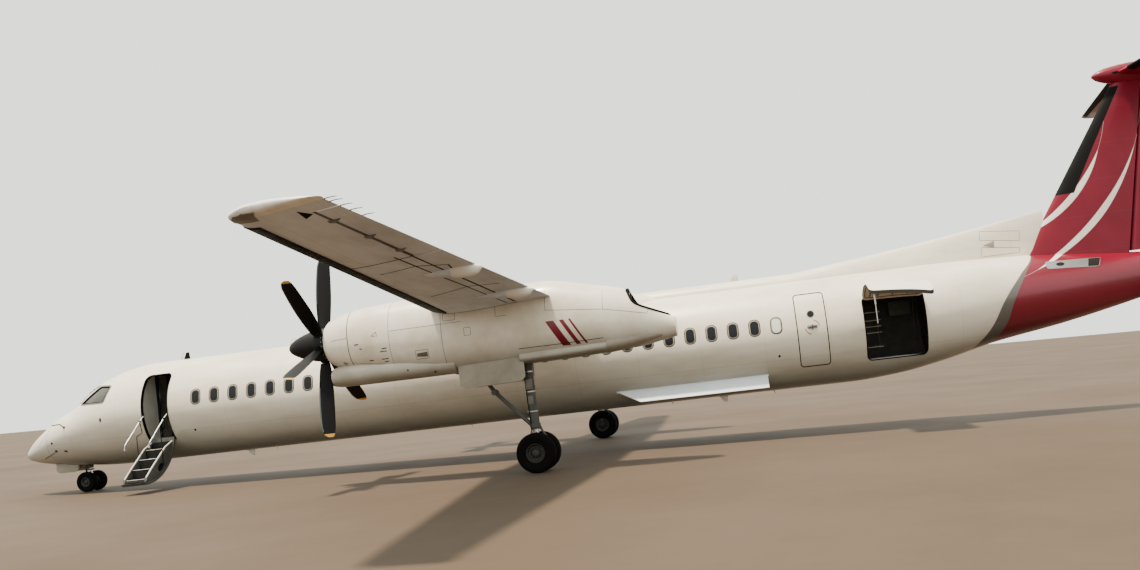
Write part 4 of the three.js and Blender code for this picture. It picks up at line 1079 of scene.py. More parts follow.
@dataclass(frozen=True)
class Panel:
    """A straight flying surface between two stations.

    A station gives span place, leading edge's y and z, trailing edge's y and z, thickness and camber.
    """

    root: Row
    tip: Row
    upright: bool = False

    def at(self, share: float, chord: float, side: float) -> Vector:
        """The skin's point at a share of the span, on side 1 or -1, or 0 for the middle line."""
        ends = []
        for span, lead_y, lead_z, trail_y, trail_z, thickness, camber in (self.root, self.tip):
            rise = 4 * camber * chord * (1 - chord) * (trail_y - lead_y) + side * section(chord) * thickness
            y = lead_y + (trail_y - lead_y) * chord
            level = lead_z + (trail_z - lead_z) * chord
            ends.append(Vector((rise, y, span)) if self.upright else Vector((span, y, level + rise)))
        return ends[0].lerp(ends[1], share)

    def share(self, span: float) -> float:
        """A span place as a share of the panel."""
        return (span - self.root[0]) / (self.tip[0] - self.root[0])

    def skin(self, side: float) -> Skin:
        """The upper or lower skin as a function of span place and chord fraction."""
        return lambda span, chord: self.at(self.share(span), max(chord, 0.0), side)

    def ring(self, span: float, start: float = 0.0, end: float = 1.0, count: int = 18,
             nose: bool = False) -> Ring:
        """The section's ring between two chord fractions.

        Args:
            span: Place along the span.
            start: First chord fraction, 0 for the leading edge.
            end: Last chord fraction.
            count: Steps along each side.
            nose: True for a round nose on the first chord fraction, for a hinged surface.

        Returns:
            The ring, from the upper skin's end round the front.
        """
        share = self.share(span)
        bends = [(1 - math.cos(math.pi / 2 * t)) if start == 0 else t for t in between(0.0, 1.0, count)]
        chords = [start + (end - start) * bend for bend in bends]
        ahead = chords[1:] if start == 0 else chords
        upper = [self.at(share, chord, 1) for chord in reversed(ahead)]
        lower = [self.at(share, chord, -1) for chord in ahead]
        front = [self.at(share, 0.0, 0)] if start == 0 else []
        if nose:
            middle = (upper[-1] + lower[0]) / 2
            out = (upper[-1] - lower[0]) / 2
            for degrees in (67.5, 45, 22.5, 0, -22.5, -45, -67.5):
                angle = math.radians(degrees)
                front.append(middle + out * math.sin(angle) + Vector((0, -out.length * math.cos(angle), 0)))
        return [*upper, *front, *lower]

    def shape(self, spans: Sequence[float], **parts: object) -> Piece:
        """The surface through its rings at span places."""
        return loft([self.ring(span, **parts) for span in spans])

    def wrapped(self, ahead: float, thicker: float) -> Panel:
        """The panel with its leading edge further ahead and its section thicker, for a cover on it."""
        rows = [(span, lead_y - ahead, lead_z, trail_y, trail_z, thickness + thicker, camber)
                for span, lead_y, lead_z, trail_y, trail_z, thickness, camber in (self.root, self.tip)]
        return Panel(rows[0], rows[1], self.upright)

    def depth(self, share: float, chord: float) -> float:
        """Half the thickness at a chord fraction."""
        return (self.at(share, chord, 1) - self.at(share, chord, -1)).length / 2

    def space(self, start: float, end: float, line: Callable[[float], float],
              ahead: Callable[[float], float] = lambda share: 0.0, deep: float = 0.32) -> Piece:
        """The space behind a chord line, for cutting a hinged surface's bay.

        Args:
            start: First span place.
            end: Last span place.
            line: Chord fraction at a share of the span.
            ahead: Distance that the bay reaches ahead of the line, at a share of the span.
            deep: Half its depth.

        Returns:
            A closed tool.
        """
        rings = []
        for span in (start, end):
            share = self.share(span)
            middle = self.at(share, line(share), 0)
            near, far = middle.y - ahead(share), self.at(share, 1, 0).y + 0.3
            corners = ((near, -deep), (far, -deep), (far, deep), (near, deep))
            rings.append([Vector((off, y, middle.z)) if self.upright
                          else Vector((middle.x, y, middle.z + off)) for y, off in corners])
        return loft(rings)


def tipped(ring: Ring, middle: Vector, out: float, length: float, depth: float, rake: float) -> Ring:
    """A ring further out on a rounded tip.

    Args:
        ring: The last ring of the straight surface.
        middle: The middle of its chord.
        out: How far out the new ring lies.
        length: Its share of the ring's chord.
        depth: Its share of the ring's thickness.
        rake: How far it lies aft for each metre out.

    Returns:
        The new ring.
    """
    return [Vector((place.x + out, middle.y + (place.y - middle.y) * length + out * rake,
                    middle.z + (place.z - middle.z) * depth)) for place in ring]


HULL = Hull((
    (0.0, -0.80, -0.88, -0.84, 0.04), (0.09, -0.68, -0.94, -0.825, 0.165), (0.25, -0.52, -1.005, -0.795, 0.3),
    (0.5, -0.325, -1.07, -0.74, 0.465), (0.95, -0.045, -1.15, -0.63, 0.705), (1.4, 0.2, -1.205, -0.5, 0.89),
    (2.0, 0.455, -1.268, -0.335, 1.062), (2.72, 0.965, -1.33, -0.15, 1.225),
    (3.15, 1.145, -1.343, -0.075, 1.295), (3.6, 1.262, -1.345, -0.025, 1.33),
    (4.2, 1.345, -1.345, 0.0, 1.345), (22.4, 1.345, -1.345, 0.0, 1.345),
    (22.9, 1.345, -1.345, 0.0, 1.345), (24.0, 1.345, -1.275, 0.03, 1.318), (25.2, 1.34, -1.075, 0.11, 1.205),
    (26.4, 1.31, -0.79, 0.23, 1.015), (28.2, 1.195, -0.49, 0.33, 0.735), (30.0, 1.01, -0.105, 0.44, 0.455),
    (31.7, 0.85, 0.33, 0.59, 0.17), (31.95, 0.79, 0.45, 0.62, 0.09),
))
# Sides of the hull's rings, the same in every section so that their ends meet
SIDES = 128


def above(ring: Ring, floor: float) -> Ring:
    """A ring with its lower part flattened on a floor."""
    return [Vector((place.x, place.y, max(place.z, floor))) for place in ring]


def room(start: float, end: float, inset: float, floor: float, finish: Paintwork,
         step: float = 0.15) -> Piece:
    """The space inside the hull above a floor, as a tool whose finish lines the walls."""
    places = between(start, end, max(1, round((end - start) / step)))
    return painted(loft([above(HULL.ring(place, 48, inset), floor) for place in places]), finish)


# Sub-assemblies


@dataclass
class Studio:
    """The camera, the soft light and the pale floor."""

    place: Row = (23.873, 4.1932, 1.976)
    turn: Row = (91.72473, 5.22246, 97.59018)
    lens: float = 29.2245
    shift: Row = (-0.05199, 0.05105)
    sun: Row = (0.12, -0.24, 1.0)

    def camera(self) -> None:
        """Adds the camera at the photograph's viewing angle."""
        data = bpy.data.cameras.new("camera")
        data.sensor_width, data.lens = 36.0, self.lens
        data.shift_x, data.shift_y = self.shift
        data.clip_end = 500.0
        camera = bpy.data.objects.new("camera", data)
        camera.location = self.place
        camera.rotation_euler = [math.radians(angle) for angle in self.turn]
        bpy.context.scene.collection.objects.link(camera)
        bpy.context.scene.camera = camera

    def light(self) -> None:
        """Adds a soft high sun and an even pale sky."""
        world = bpy.data.worlds.new("sky")
        world.use_nodes = True
        sky = world.node_tree.nodes["Background"]
        sky.inputs["Color"].default_value = linear("#dfe1da")
        sky.inputs["Strength"].default_value = 2.6
        bpy.context.scene.world = world
        sun = bpy.data.lights.new("sun", "SUN")
        sun.energy, sun.angle, sun.color = 10.5, math.radians(4), (1.0, 0.87, 0.72)
        lamp = bpy.data.objects.new("sun", sun)
        lamp.rotation_mode = "QUATERNION"
        lamp.rotation_quaternion = Vector(self.sun).to_track_quat("Z", "Y")
        bpy.context.scene.collection.objects.link(lamp)

    def floor(self) -> None:
        """Adds the floor with its finish."""
        pick()
        bpy.ops.mesh.primitive_plane_add(size=600)
        floor = bpy.context.active_object
        floor.name = "floor"
        painted(floor, Paintwork.CONCRETE)


@dataclass
class Fuselage:
    """Pressure hull with its windows, doors' openings, rooms and small outside fittings."""

    sheet: float = 0.045
    wall: float = 0.08
    nose_end: float = 4.2
    entry_end: float = 6.0
    front_end: float = 11.9
    centre_end: float = 17.0
    rear_end: float = 22.9
    bay_end: float = 26.4
    tail_end: float = 31.95
    windscreen: Outline = ((0.045, 0.505), (0.8, 0.432), (0.722, 0.842), (0.045, 0.918))
    side_window: Outline = ((2.5, 0.402), (3.36, 0.388), (3.47, 0.805), (3.045, 0.838))
    windows: int = 30
    first_window: float = 6.067
    window_pitch: float = 0.522
    window_height: float = 0.24
    window_size: Row = (0.255, 0.385, 0.11)
    # A rear door's front, back, bottom, top and corner, then its pane's height and two radii
    door: Row = (21.69, 22.4, -0.83, 0.93, 0.093)
    door_pane: Row = (0.42, 0.078, 0.094)
    door_thickness: float = 0.06
    # The baggage doorway's front, back, bottom, top and corner
    baggage_way: Row = (23.29, 24.71, BAY_FLOOR, 0.65, 0.11)

    def screen_skin(self, x: float, z: float) -> Vector:
        """The nose's point ahead of a place in x and z."""
        low, high = 1.2, 3.6
        for _ in range(26):
            middle = (low + high) / 2
            top, bottom, widest, half = smooth(HULL.rows, middle)
            tall = top - widest if z > widest else widest - bottom
            inside = (x / half) ** 2 + ((z - widest) / tall) ** 2 < 1
            low, high = (low, middle) if inside else (middle, high)
        return Vector((x, (low + high) / 2, z))

    def sections(self) -> None:
        """Builds the closed barrels and the tail cone."""
        joints = (("front_cabin_section", self.entry_end, self.front_end, 0.59),
                  ("centre_section", self.front_end, self.centre_end, 0.6),
                  ("rear_cabin_section", self.centre_end, self.rear_end, 0.6),
                  ("tail_cone", self.bay_end, self.tail_end, 0.15))
        for name, start, end, step in joints:
            skin = painted(outward(HULL.shape(start, end, step, SIDES)), Paintwork.HULL)
            if name == "rear_cabin_section":
                cut(skin, [self.door_shape(side, 0.0, self.door_thickness + 0.0005) for side in (1, -1)])
            slot = "tail_paint" if name == "tail_cone" else "fuselage_paint"
            settle(skin, name, None, slot=slot, replaces=[name])

    def door_shape(self, side: int, gap: float, thickness: float) -> Piece:
        """A patch of the barrel inside a rear door's outline.

        Args:
            side: 1 for port, -1 for starboard.
            gap: Room round the door, or 0 for the tool that cuts its doorway.
            thickness: How far it reaches into the hull.

        Returns:
            A closed piece.
        """
        front, back, bottom, top, corner = self.door
        lift = 0.0 if gap else 0.05
        patch = HULL.shape(front - 0.3, back + 0.3, 0.6, SIDES, -lift)
        painted(outward(patch), Paintwork.WHITE)
        inner = painted(HULL.shape(front - 0.4, back + 0.4, 0.6, SIDES, thickness), Paintwork.SEALANT)
        outline = rounded(front + gap, back - gap, bottom + gap, top - gap, corner - gap)
        frame = painted(across(outline, 0.6 * side, 1.6 * side), Paintwork.SEALANT)
        return cut(cut(patch, [inner]), [frame], keep=True)

    def rear_doors(self) -> None:
        """Builds the two closed rear doors with their seals, windows and handles."""
        for name, side in (("rear_passenger_door", 1), ("rear_service_door", -1)):
            door = self.door_shape(side, 0.003, self.door_thickness)
            door.data.materials.clear()
            settle(door, name, Paintwork.HULL, slot="fuselage_paint", replaces=[name])
            for word, piece, finish, slot in self.door_trim():
                if side < 0:
                    piece.data.transform(MIRROR)
                settle(piece, f"{name}_{word}", finish, slot=slot)

    def door_trim(self) -> list[tuple[str, Piece, Paintwork, str | None]]:
        """The port rear door's small pieces: word, piece, finish and slot."""
        front, back, bottom, top, corner = self.door
        height, glass, surround = self.door_pane
        middle = (front + back) / 2
        joint = rounded(front - 0.012, back + 0.012, bottom - 0.012, top + 0.012, corner)
        cup = rounded(middle - 0.12, middle + 0.14, 0.06, 0.15, 0.04)
        # The handle is a lever across an upright one, with a red arc at each end of its travel
        arms = (((middle - 0.09, 0.1), (middle + 0.11, 0.12)), ((middle + 0.01, 0.03), (middle + 0.01, 0.17)))
        proud = PORT * 0.012
        lever = [rod(HULL.side(*first) + proud, HULL.side(*last) + proud, 0.012) for first, last in arms]
        arcs = []
        for first in (5, 185):
            turns = [math.radians(angle) for angle in range(first, first + 71, 10)]
            path = [(middle + 0.01 + 0.17 * math.cos(turn), 0.1 + 0.17 * math.sin(turn)) for turn in turns]
            arcs.append(strip(HULL.side, path, 0.02))
        return [
            ("seal", rim(HULL.side, dense(joint, ON_SKIN), 0.026, 0.0012), Paintwork.SEALANT, "seal_rubber"),
            ("pane", plate(HULL.side, oval(middle, height, glass), 0.002), Paintwork.CABIN_PANE,
             "window_glass"),
            ("window_frame", rim(HULL.side, oval(middle, height, surround), 0.017, 0.003), Paintwork.RIM,
             "bare_metal"),
            ("handle_cup", plate(HULL.side, cup, 0.0015), Paintwork.RIM, "bare_metal"),
            ("handle", joined(lever), Paintwork.GEAR, "gear_metal"),
            ("marks", joined(arcs), Paintwork.RED_MARK, None),
        ]

    def cabin_windows(self) -> None:
        """Builds one cabin window and copies it along both sides."""
        wide, tall, corner = self.window_size
        low, high = self.window_height - tall / 2, self.window_height + tall / 2
        start = self.first_window - wide / 2
        outline = dense(rounded(start, start + wide, low, high, corner, 6), 0.02)
        outer = rim(HULL.side, shrunk(outline, -0.016), 0.02, 0.0016)
        surround = rim(HULL.side, shrunk(outline, 0.001), 0.026, 0.0028)
        pane = plate(HULL.side, shrunk(outline, 0.022), 0.0006, crown=0.001)
        shut = plate(HULL.side, shrunk(outline, 0.004), 0.002)
        last = self.windows - 1
        kinds = (("gaskets", outer, Paintwork.SEAL, "seal_rubber", range(self.windows)),
                 ("surrounds", surround, Paintwork.RIM, "bare_metal", range(self.windows)),
                 ("panes", pane, Paintwork.CABIN_PANE, "window_glass", range(last)),
                 ("plug", shut, Paintwork.WHITE, "fuselage_paint", [last]))
        for word, first, finish, slot, places in kinds:
            row = [copied(first, Matrix.Translation((0, self.window_pitch * i, 0))) for i in places]
            bpy.data.objects.remove(first)
            settle(both(joined(row)), f"cabin_window_{word}", finish, slot=slot)

    def nose(self) -> None:
        """Builds the nose with its flight deck's space, windows and gear bay."""
        skin = painted(outward(HULL.shape(0.0, self.nose_end, 0.06, SIDES)), Paintwork.HULL)
        inside = room(2.08, self.nose_end + 0.05, self.sheet, FLOOR, Paintwork.LINING, 0.08)
        bay = painted(box((-0.235, 1.01, -2.0), (0.235, 2.06, -0.56)), Paintwork.PRIMER)
        screen = filleted(self.windscreen, 0.05)
        side = filleted(self.side_window, 0.06)
        holes = [along(screen, 1.5, 3.3), across(side, 0.5, 2.0)]
        holes += [mirrored(hole) for hole in holes]
        cut(skin, [inside, bay, *[painted(hole, Paintwork.FRAME) for hole in holes]])
        settle(skin, "nose_section", None, slot="fuselage_paint", replaces=["nose_section"])
        views = ((self.screen_skin, screen), (HULL.side, side))
        glass = [plate(skin_of, dense(shrunk(outline, -0.008), ON_SKIN), -0.02, 0.034)
                 for skin_of, outline in views]
        panes = joined([*glass, *[mirrored(pane) for pane in glass]])
        settle(panes, "cockpit_glazing", Paintwork.GLASS, slot="cockpit_glass", replaces=["cockpit_glazing"])
        # Columns: word, how far it is drawn in from the window, width, lift, finish, slot
        for word, inset, width, lift, finish, slot in (
                ("frames", -0.03, 0.045, 0.006, Paintwork.FRAME, "bare_metal"),
                ("seals", 0.006, 0.016, 0.008, Paintwork.SEAL, "seal_rubber")):
            bands = [rim(skin_of, dense(shrunk(outline, inset), ON_SKIN), width, lift, 0.01)
                     for skin_of, outline in views]
            settle(both(joined(bands)), f"cockpit_window_{word}", finish, slot=slot)
        arm = [self.screen_skin(x, z) + Vector((0, -0.03, 0.012))
               for x, z in ((0.12, 0.49), (0.3, 0.56), (0.56, 0.74))]
        rubber = [self.screen_skin(x, z) + Vector((0, -0.02, 0.008)) for x, z in ((0.4, 0.52), (0.68, 0.8))]
        wiper = joined([tube(arm, 0.008, 8), rod(self.screen_skin(0.12, 0.46), arm[0], 0.016),
                        tube(rubber, 0.007, 8)])
        settle(both(wiper), "wipers", Paintwork.HOSE)

    def flight_deck(self) -> None:
        """Builds the flight deck's floor, instrument panel, pedestal, seats and control columns."""
        base = FLOOR + 0.0003
        dark = [box((-0.56, 2.42, base), (0.56, 3.9, base + 0.03), 0.006),
                box((-0.74, 2.4, base + 0.02), (0.74, 2.56, 0.2), 0.03),
                box((-0.78, 2.3, 0.19), (0.78, 2.62, 0.25), 0.025),
                box((-0.15, 2.55, base + 0.02), (0.15, 3.15, -0.18), 0.03)]
        cloth = []
        for x in (-0.43, 0.43):
            dark.append(box((x - 0.09, 3.2, base + 0.02), (x + 0.09, 3.5, -0.38), 0.02))
            dark.append(tube(curve(((x, 2.56, -0.25), (x, 2.8, -0.2), (x, 2.9, 0.0))), 0.025))
            wheel = [(x + 0.17 * math.cos(a), 2.9, 0.02 + 0.09 * math.sin(a))
                     for a in (-0.4, -1.2, -1.94, -2.74)]
            dark.append(tube(curve(wheel), 0.016))
            cloth += [box((x - 0.23, 3.08, -0.4), (x + 0.23, 3.56, -0.28), 0.045),
                      box((x - 0.22, 3.54, -0.39), (x + 0.22, 3.66, 0.1), 0.045),
                      box((x - 0.13, 3.55, 0.12), (x + 0.13, 3.64, 0.33), 0.035)]
        settle(joined(dark), "flight_deck", Paintwork.DARK, slot="cabin_lining", replaces=["flight_deck"])
        settle(joined(cloth), "flight_deck_seats", Paintwork.CLOTH, slot="cabin_lining")
        screens = [box((x - 0.1, 2.556, -0.14), (x + 0.1, 2.566, 0.12), 0.004)
                   for x in (-0.6, -0.36, 0.0, 0.36, 0.6)]
        settle(joined(screens), "flight_deck_screens", Paintwork.CABIN_PANE, slot="window_glass")

    def entry(self) -> None:
        """Builds the entry section with its vestibule, bulkhead doorway and airstair opening."""
        skin = painted(outward(HULL.shape(self.nose_end, self.entry_end, 0.6, SIDES)), Paintwork.HULL)
        inside = room(4.3, 5.85, self.wall, FLOOR, Paintwork.LINING)
        # The doorway's faces are dark: painted shade of the way through to the flight deck
        doorway = painted(along(rounded(-0.32, 0.32, FLOOR, 1.04, 0.12), 4.1, 4.4), Paintwork.DARK)
        opening = [(y, max(z, FLOOR)) for y, z in rounded(4.52, 5.25, FLOOR - 0.4, 0.95, 0.13)]
        hole = painted(across(opening, 0.75, 1.6), Paintwork.SEAL)
        cut(skin, [inside, doorway, hole])
        settle(skin, "entry_section", None, slot="fuselage_paint", replaces=["entry_section"])
        edge = [(y, max(z, FLOOR - 0.02)) for y, z in rounded(4.5, 5.27, FLOOR - 0.4, 0.97, 0.15)]
        seal = rim(HULL.side, dense(edge, ON_SKIN), 0.022, 0.004)
        settle(seal, "airstair_opening_seal", Paintwork.SEAL, slot="seal_rubber")
        frame = joined([box((left, 4.29, low), (right, 4.34, high), 0.008) for left, right, low, high in (
            (-0.34, -0.26, FLOOR, 1.0), (0.26, 0.34, FLOOR, 1.0), (-0.34, 0.34, 0.98, 1.06))])
        settle(frame, "bulkhead_door_frame", Paintwork.DARK, slot="cabin_lining")
        sill = joined([box((0.72, 4.55, FLOOR - 0.001), (1.075, 5.22, FLOOR + 0.012), 0.004),
                       box((1.05, 4.56, FLOOR - 0.02), (1.12, 5.21, FLOOR + 0.008), 0.004)])
        settle(sill, "airstair_sill", Paintwork.TREAD)
        galley = joined([box((-1.1, 4.75, FLOOR + 0.002), (-0.55, 5.6, 0.35), 0.015),
                         box((-1.0, 4.75, 0.37), (-0.6, 5.6, 0.75), 0.015)])
        settle(galley, "galley", Paintwork.BAY, slot="cabin_lining")

    def aft(self) -> None:
        """Builds the aft section with its baggage room."""
        skin = painted(outward(HULL.shape(self.rear_end, self.bay_end, 0.125, SIDES)), Paintwork.HULL)
        front, back, bottom, top, corner = self.baggage_way
        inside = room(23.05, 25.15, self.wall, BAY_FLOOR, Paintwork.BAY)
        hole = painted(across(rounded(front, back, bottom, top, corner), 0.72, 1.6), Paintwork.SEAL)
        cut(skin, [inside, hole])
        settle(skin, "aft_section", None, slot="fuselage_paint", replaces=["aft_section"])
        edge = rounded(front - 0.02, back + 0.02, bottom - 0.02, top + 0.02, corner + 0.02)
        settle(rim(HULL.side, dense(edge, ON_SKIN), 0.024, 0.005), "baggage_opening_seal", Paintwork.SEAL,
               slot="seal_rubber")

    def baggage_room(self) -> None:
        """Builds the frames, racks, net, pipes and floor rails of the baggage room."""
        level = BAY_FLOOR + 0.01
        # The middle frame stops above the doorway. Columns: place aft, angle where it starts
        frames = [tube([HULL.at(y, math.radians(angle), 0.1) for angle in range(first, 211, 12)], 0.022, 8)
                  for y, first in ((23.1, -30), (23.9, 66), (24.85, -30))]
        racks = [box((-1.0, 23.08, z), (0.9, 23.2, z + 0.02), 0.004) for z in (-0.45, -0.1, 0.25)]
        racks += [box((x, 23.16, level), (x + 0.03, 23.19, 0.6), 0.004) for x in (-0.7, -0.1, 0.5, 0.85)]
        net = []
        for i in range(9):
            x, z = -0.9 + 0.2 * i, -0.8 + 0.19 * i
            net.append(tube([(x, 24.95, level), (x, 24.95, 0.75)], 0.008, 6))
            net.append(tube([(-0.95, 24.95, z), (0.85, 24.95, z)], 0.008, 6))
        panel = [box((-1.02, 24.2, 0.2), (-0.96, 24.76, 0.58), 0.01),
                 box((-0.97, 24.3, 0.32), (-0.955, 24.66, 0.36), 0.004)]
        pipes = [tube([(0.62, 23.12, z), (0.62, 23.75, z)], 0.007, 6) for z in (-0.55, -0.2, -0.05, 0.1, 0.3)]
        post = tube([HULL.at(24.79, math.radians(angle), 0.085) for angle in range(-34, 36, 10)], 0.022, 8)
        rails = [box((x, 23.06, BAY_FLOOR + 0.001), (x + 0.08, 25.1, BAY_FLOOR + 0.012), 0.003)
                 for x in [-0.9 + 0.24 * i for i in range(7)]]
        for word, pieces, finish, slot in (
                ("frames", frames, Paintwork.PRIMER, None), ("racks", racks, Paintwork.BAY, None),
                ("net", net, Paintwork.HOSE, None), ("panel", panel, Paintwork.PRIMER, None),
                ("lines", pipes, Paintwork.LINER, None), ("post", [post], Paintwork.LINER, None),
                ("floor_rails", rails, Paintwork.ALUMINIUM, "bare_metal")):
            settle(joined(pieces), f"baggage_room_{word}", finish, slot=slot)

    def build(self) -> None:
        """Builds the whole fuselage."""
        self.nose()
        self.flight_deck()
        self.entry()
        self.sections()
        self.aft()
        self.baggage_room()
        self.rear_doors()
        self.cabin_windows()


@dataclass
class Airstair:
    """The airstair, which is the front door with steps on its inside, and its folding handrails."""

    front: float = 4.52
    back: float = 5.25
    top: float = 0.95
    corner: float = 0.13
    skin: float = 0.06
    gap: float = 0.01
    swing: float = 132.0
    hinge: Row = (1.096, 0.0, -0.785)
    # Places aft of the steps' ends and of the cheeks outside them
    treads: Row = (4.62, 5.15)
    cheeks: Row = (4.562, 5.208)
    # Each step's nosing and the underside of the stair, in x and z
    nosings: tuple[Row, ...] = ((1.185, -0.79), (1.48, -1.01), (1.77, -1.237), (2.07, -1.467), (2.34, -1.698))
    under: tuple[Row, ...] = ((2.4, -1.765), (2.13, -1.8), (1.85, -1.69), (1.48, -1.42), (1.15, -1.06))
    rails: Row = (4.545, 5.225)
    pin: Row = (1.67, -1.4)
    rail_radius: float = 0.0135

    def shell(self) -> None:
        """Builds the door's curved outer shell in its open place, with grey enamel on its edge."""
        foot = FLOOR + self.gap
        shape = rounded(self.front + self.gap, self.back - self.gap, FLOOR - 0.4, self.top - self.gap,
                        self.corner - self.gap)
        outline = [(y, max(z, foot)) for y, z in shape]
        patch = painted(outward(HULL.shape(4.4, 5.4, 0.5, SIDES)), Paintwork.WHITE)
        inner = painted(HULL.shape(4.3, 5.5, 0.6, SIDES, self.skin), Paintwork.GEAR)
        frame = painted(across(outline, 0.7, 1.6), Paintwork.GEAR)
        shell = cut(cut(patch, [inner]), [frame], keep=True)
        air = [*self.steps(), (self.nosings[-1][0] + 0.02, -0.9), (1.17, -0.6)]
        turned_about(shell, self.hinge, self.swing)
        cut(shell, [painted(along(air, *self.treads), Paintwork.TREAD)])
        settle(shell, "airstair_door", None, Body.AIRSTAIR.value, "fuselage_paint", ["airstair_door"])

    def steps(self) -> Pairs:
        """The stair's stepped outline in x and z."""
        found = []
        for (x, _), (end, level) in pairwise(self.nosings):
            found += [(x - 0.008, level), (end, level)]
        return found

    def stairs(self) -> None:
        """Builds the steps, their pale nosings and the cheeks beside them."""
        block = softened(outward(along([*self.steps(), *self.under], *self.treads)), 0.004)
        settle(block, "airstair_steps", Paintwork.TREAD, Body.AIRSTAIR.value)
        first, last = self.treads
        noses = [box((x - 0.03, first + 0.01, z - 0.006), (x + 0.004, last - 0.01, z + 0.004), 0.003)
                 for x, z in self.nosings[1:]]
        settle(joined(noses), "airstair_nosings", Paintwork.WHITE, Body.AIRSTAIR.value)
        x, z = self.nosings[2]
        pad = box((x - 0.2, 4.8, z + 0.001), (x - 0.1, 4.95, z + 0.004), 0.001)
        settle(pad, "airstair_pads", Paintwork.LINING, Body.AIRSTAIR.value)
        edge = [(x + 0.012, z + 0.03) for x, z in self.nosings[1:]]
        cheek = [(1.15, -0.835), *edge, *self.under]
        # A slanted oval hole in each cheek, cut from its outer face, with black faces as painted shade inside
        # it
        turns = [math.tau * k / 20 for k in range(20)]
        hole = [(1.78 + 0.1 * math.cos(turn) - 0.05 * math.sin(turn),
                 -1.47 - 0.08 * math.cos(turn) - 0.06 * math.sin(turn)) for turn in turns]
        sides, trims = [], []
        ahead, behind = self.cheeks
        for start, end, face in ((ahead, first, ahead), (last, behind, behind)):
            side = painted(outward(along(cheek, start, end)), Paintwork.GEAR)
            depth = (face - 0.01, face + 0.02) if face == start else (face - 0.02, face + 0.01)
            cut(side, [painted(along(hole, *depth), Paintwork.SEAL)])
            sides.append(softened(side, 0.006))
            middle = (start + end) / 2
            trims.append(tube([(1.15, middle, -0.83), *[(x, middle, z + 0.004) for x, z in edge]], 0.014, 10))
        settle(joined(sides), "airstair_cheeks", None, Body.AIRSTAIR.value)
        settle(joined(trims), "airstair_stringers", Paintwork.WHITE, Body.AIRSTAIR.value)
        feet = [box((2.3, y - 0.03, -1.792), (2.39, y + 0.03, -1.76), 0.008) for y in (4.7, 5.07)]
        settle(joined(feet), "airstair_feet", Paintwork.HOSE, Body.AIRSTAIR.value)

    def handrails(self) -> None:
        """Builds the two handrails on their shaft."""
        x, z = self.pin
        tubes, dark = [], []
        for y in self.rails:
            path = ((1.33, y, -0.12), (1.455, y, -0.205), (2.17, y, -0.83), (2.17, y, -0.945))
            tubes.append(tube(bent(path, 0.07), self.rail_radius))
            tubes.append(rod((2.17, y - 0.02, -0.93), (2.17, y + 0.02, -0.93), 0.024))
            lower = ((1.495, y, -0.24), (1.43, y, -0.544), (x, y, -0.62), (x, y, z))
            dark.append(tube(bent(lower, 0.05), self.rail_radius * 0.8))
            dark.append(rod((x, y - 0.012, z), (x, y + 0.012, z), 0.03))
            dark.append(box((1.47, y - 0.017, -0.26), (1.52, y + 0.017, -0.21), 0.006))
        dark.append(rod((x, self.rails[0], z), (x, self.rails[1], z), self.rail_radius))
        settle(joined(tubes), "airstair_rails", Paintwork.ALUMINIUM, Body.HANDRAILS.value, "gear_metal",
               ["airstair_rails"])
        settle(joined(dark), "airstair_rail_braces", Paintwork.HOSE, Body.HANDRAILS.value, "gear_metal")

    def build(self) -> None:
        """Builds the airstair."""
        self.shell()
        self.stairs()
        self.handrails()


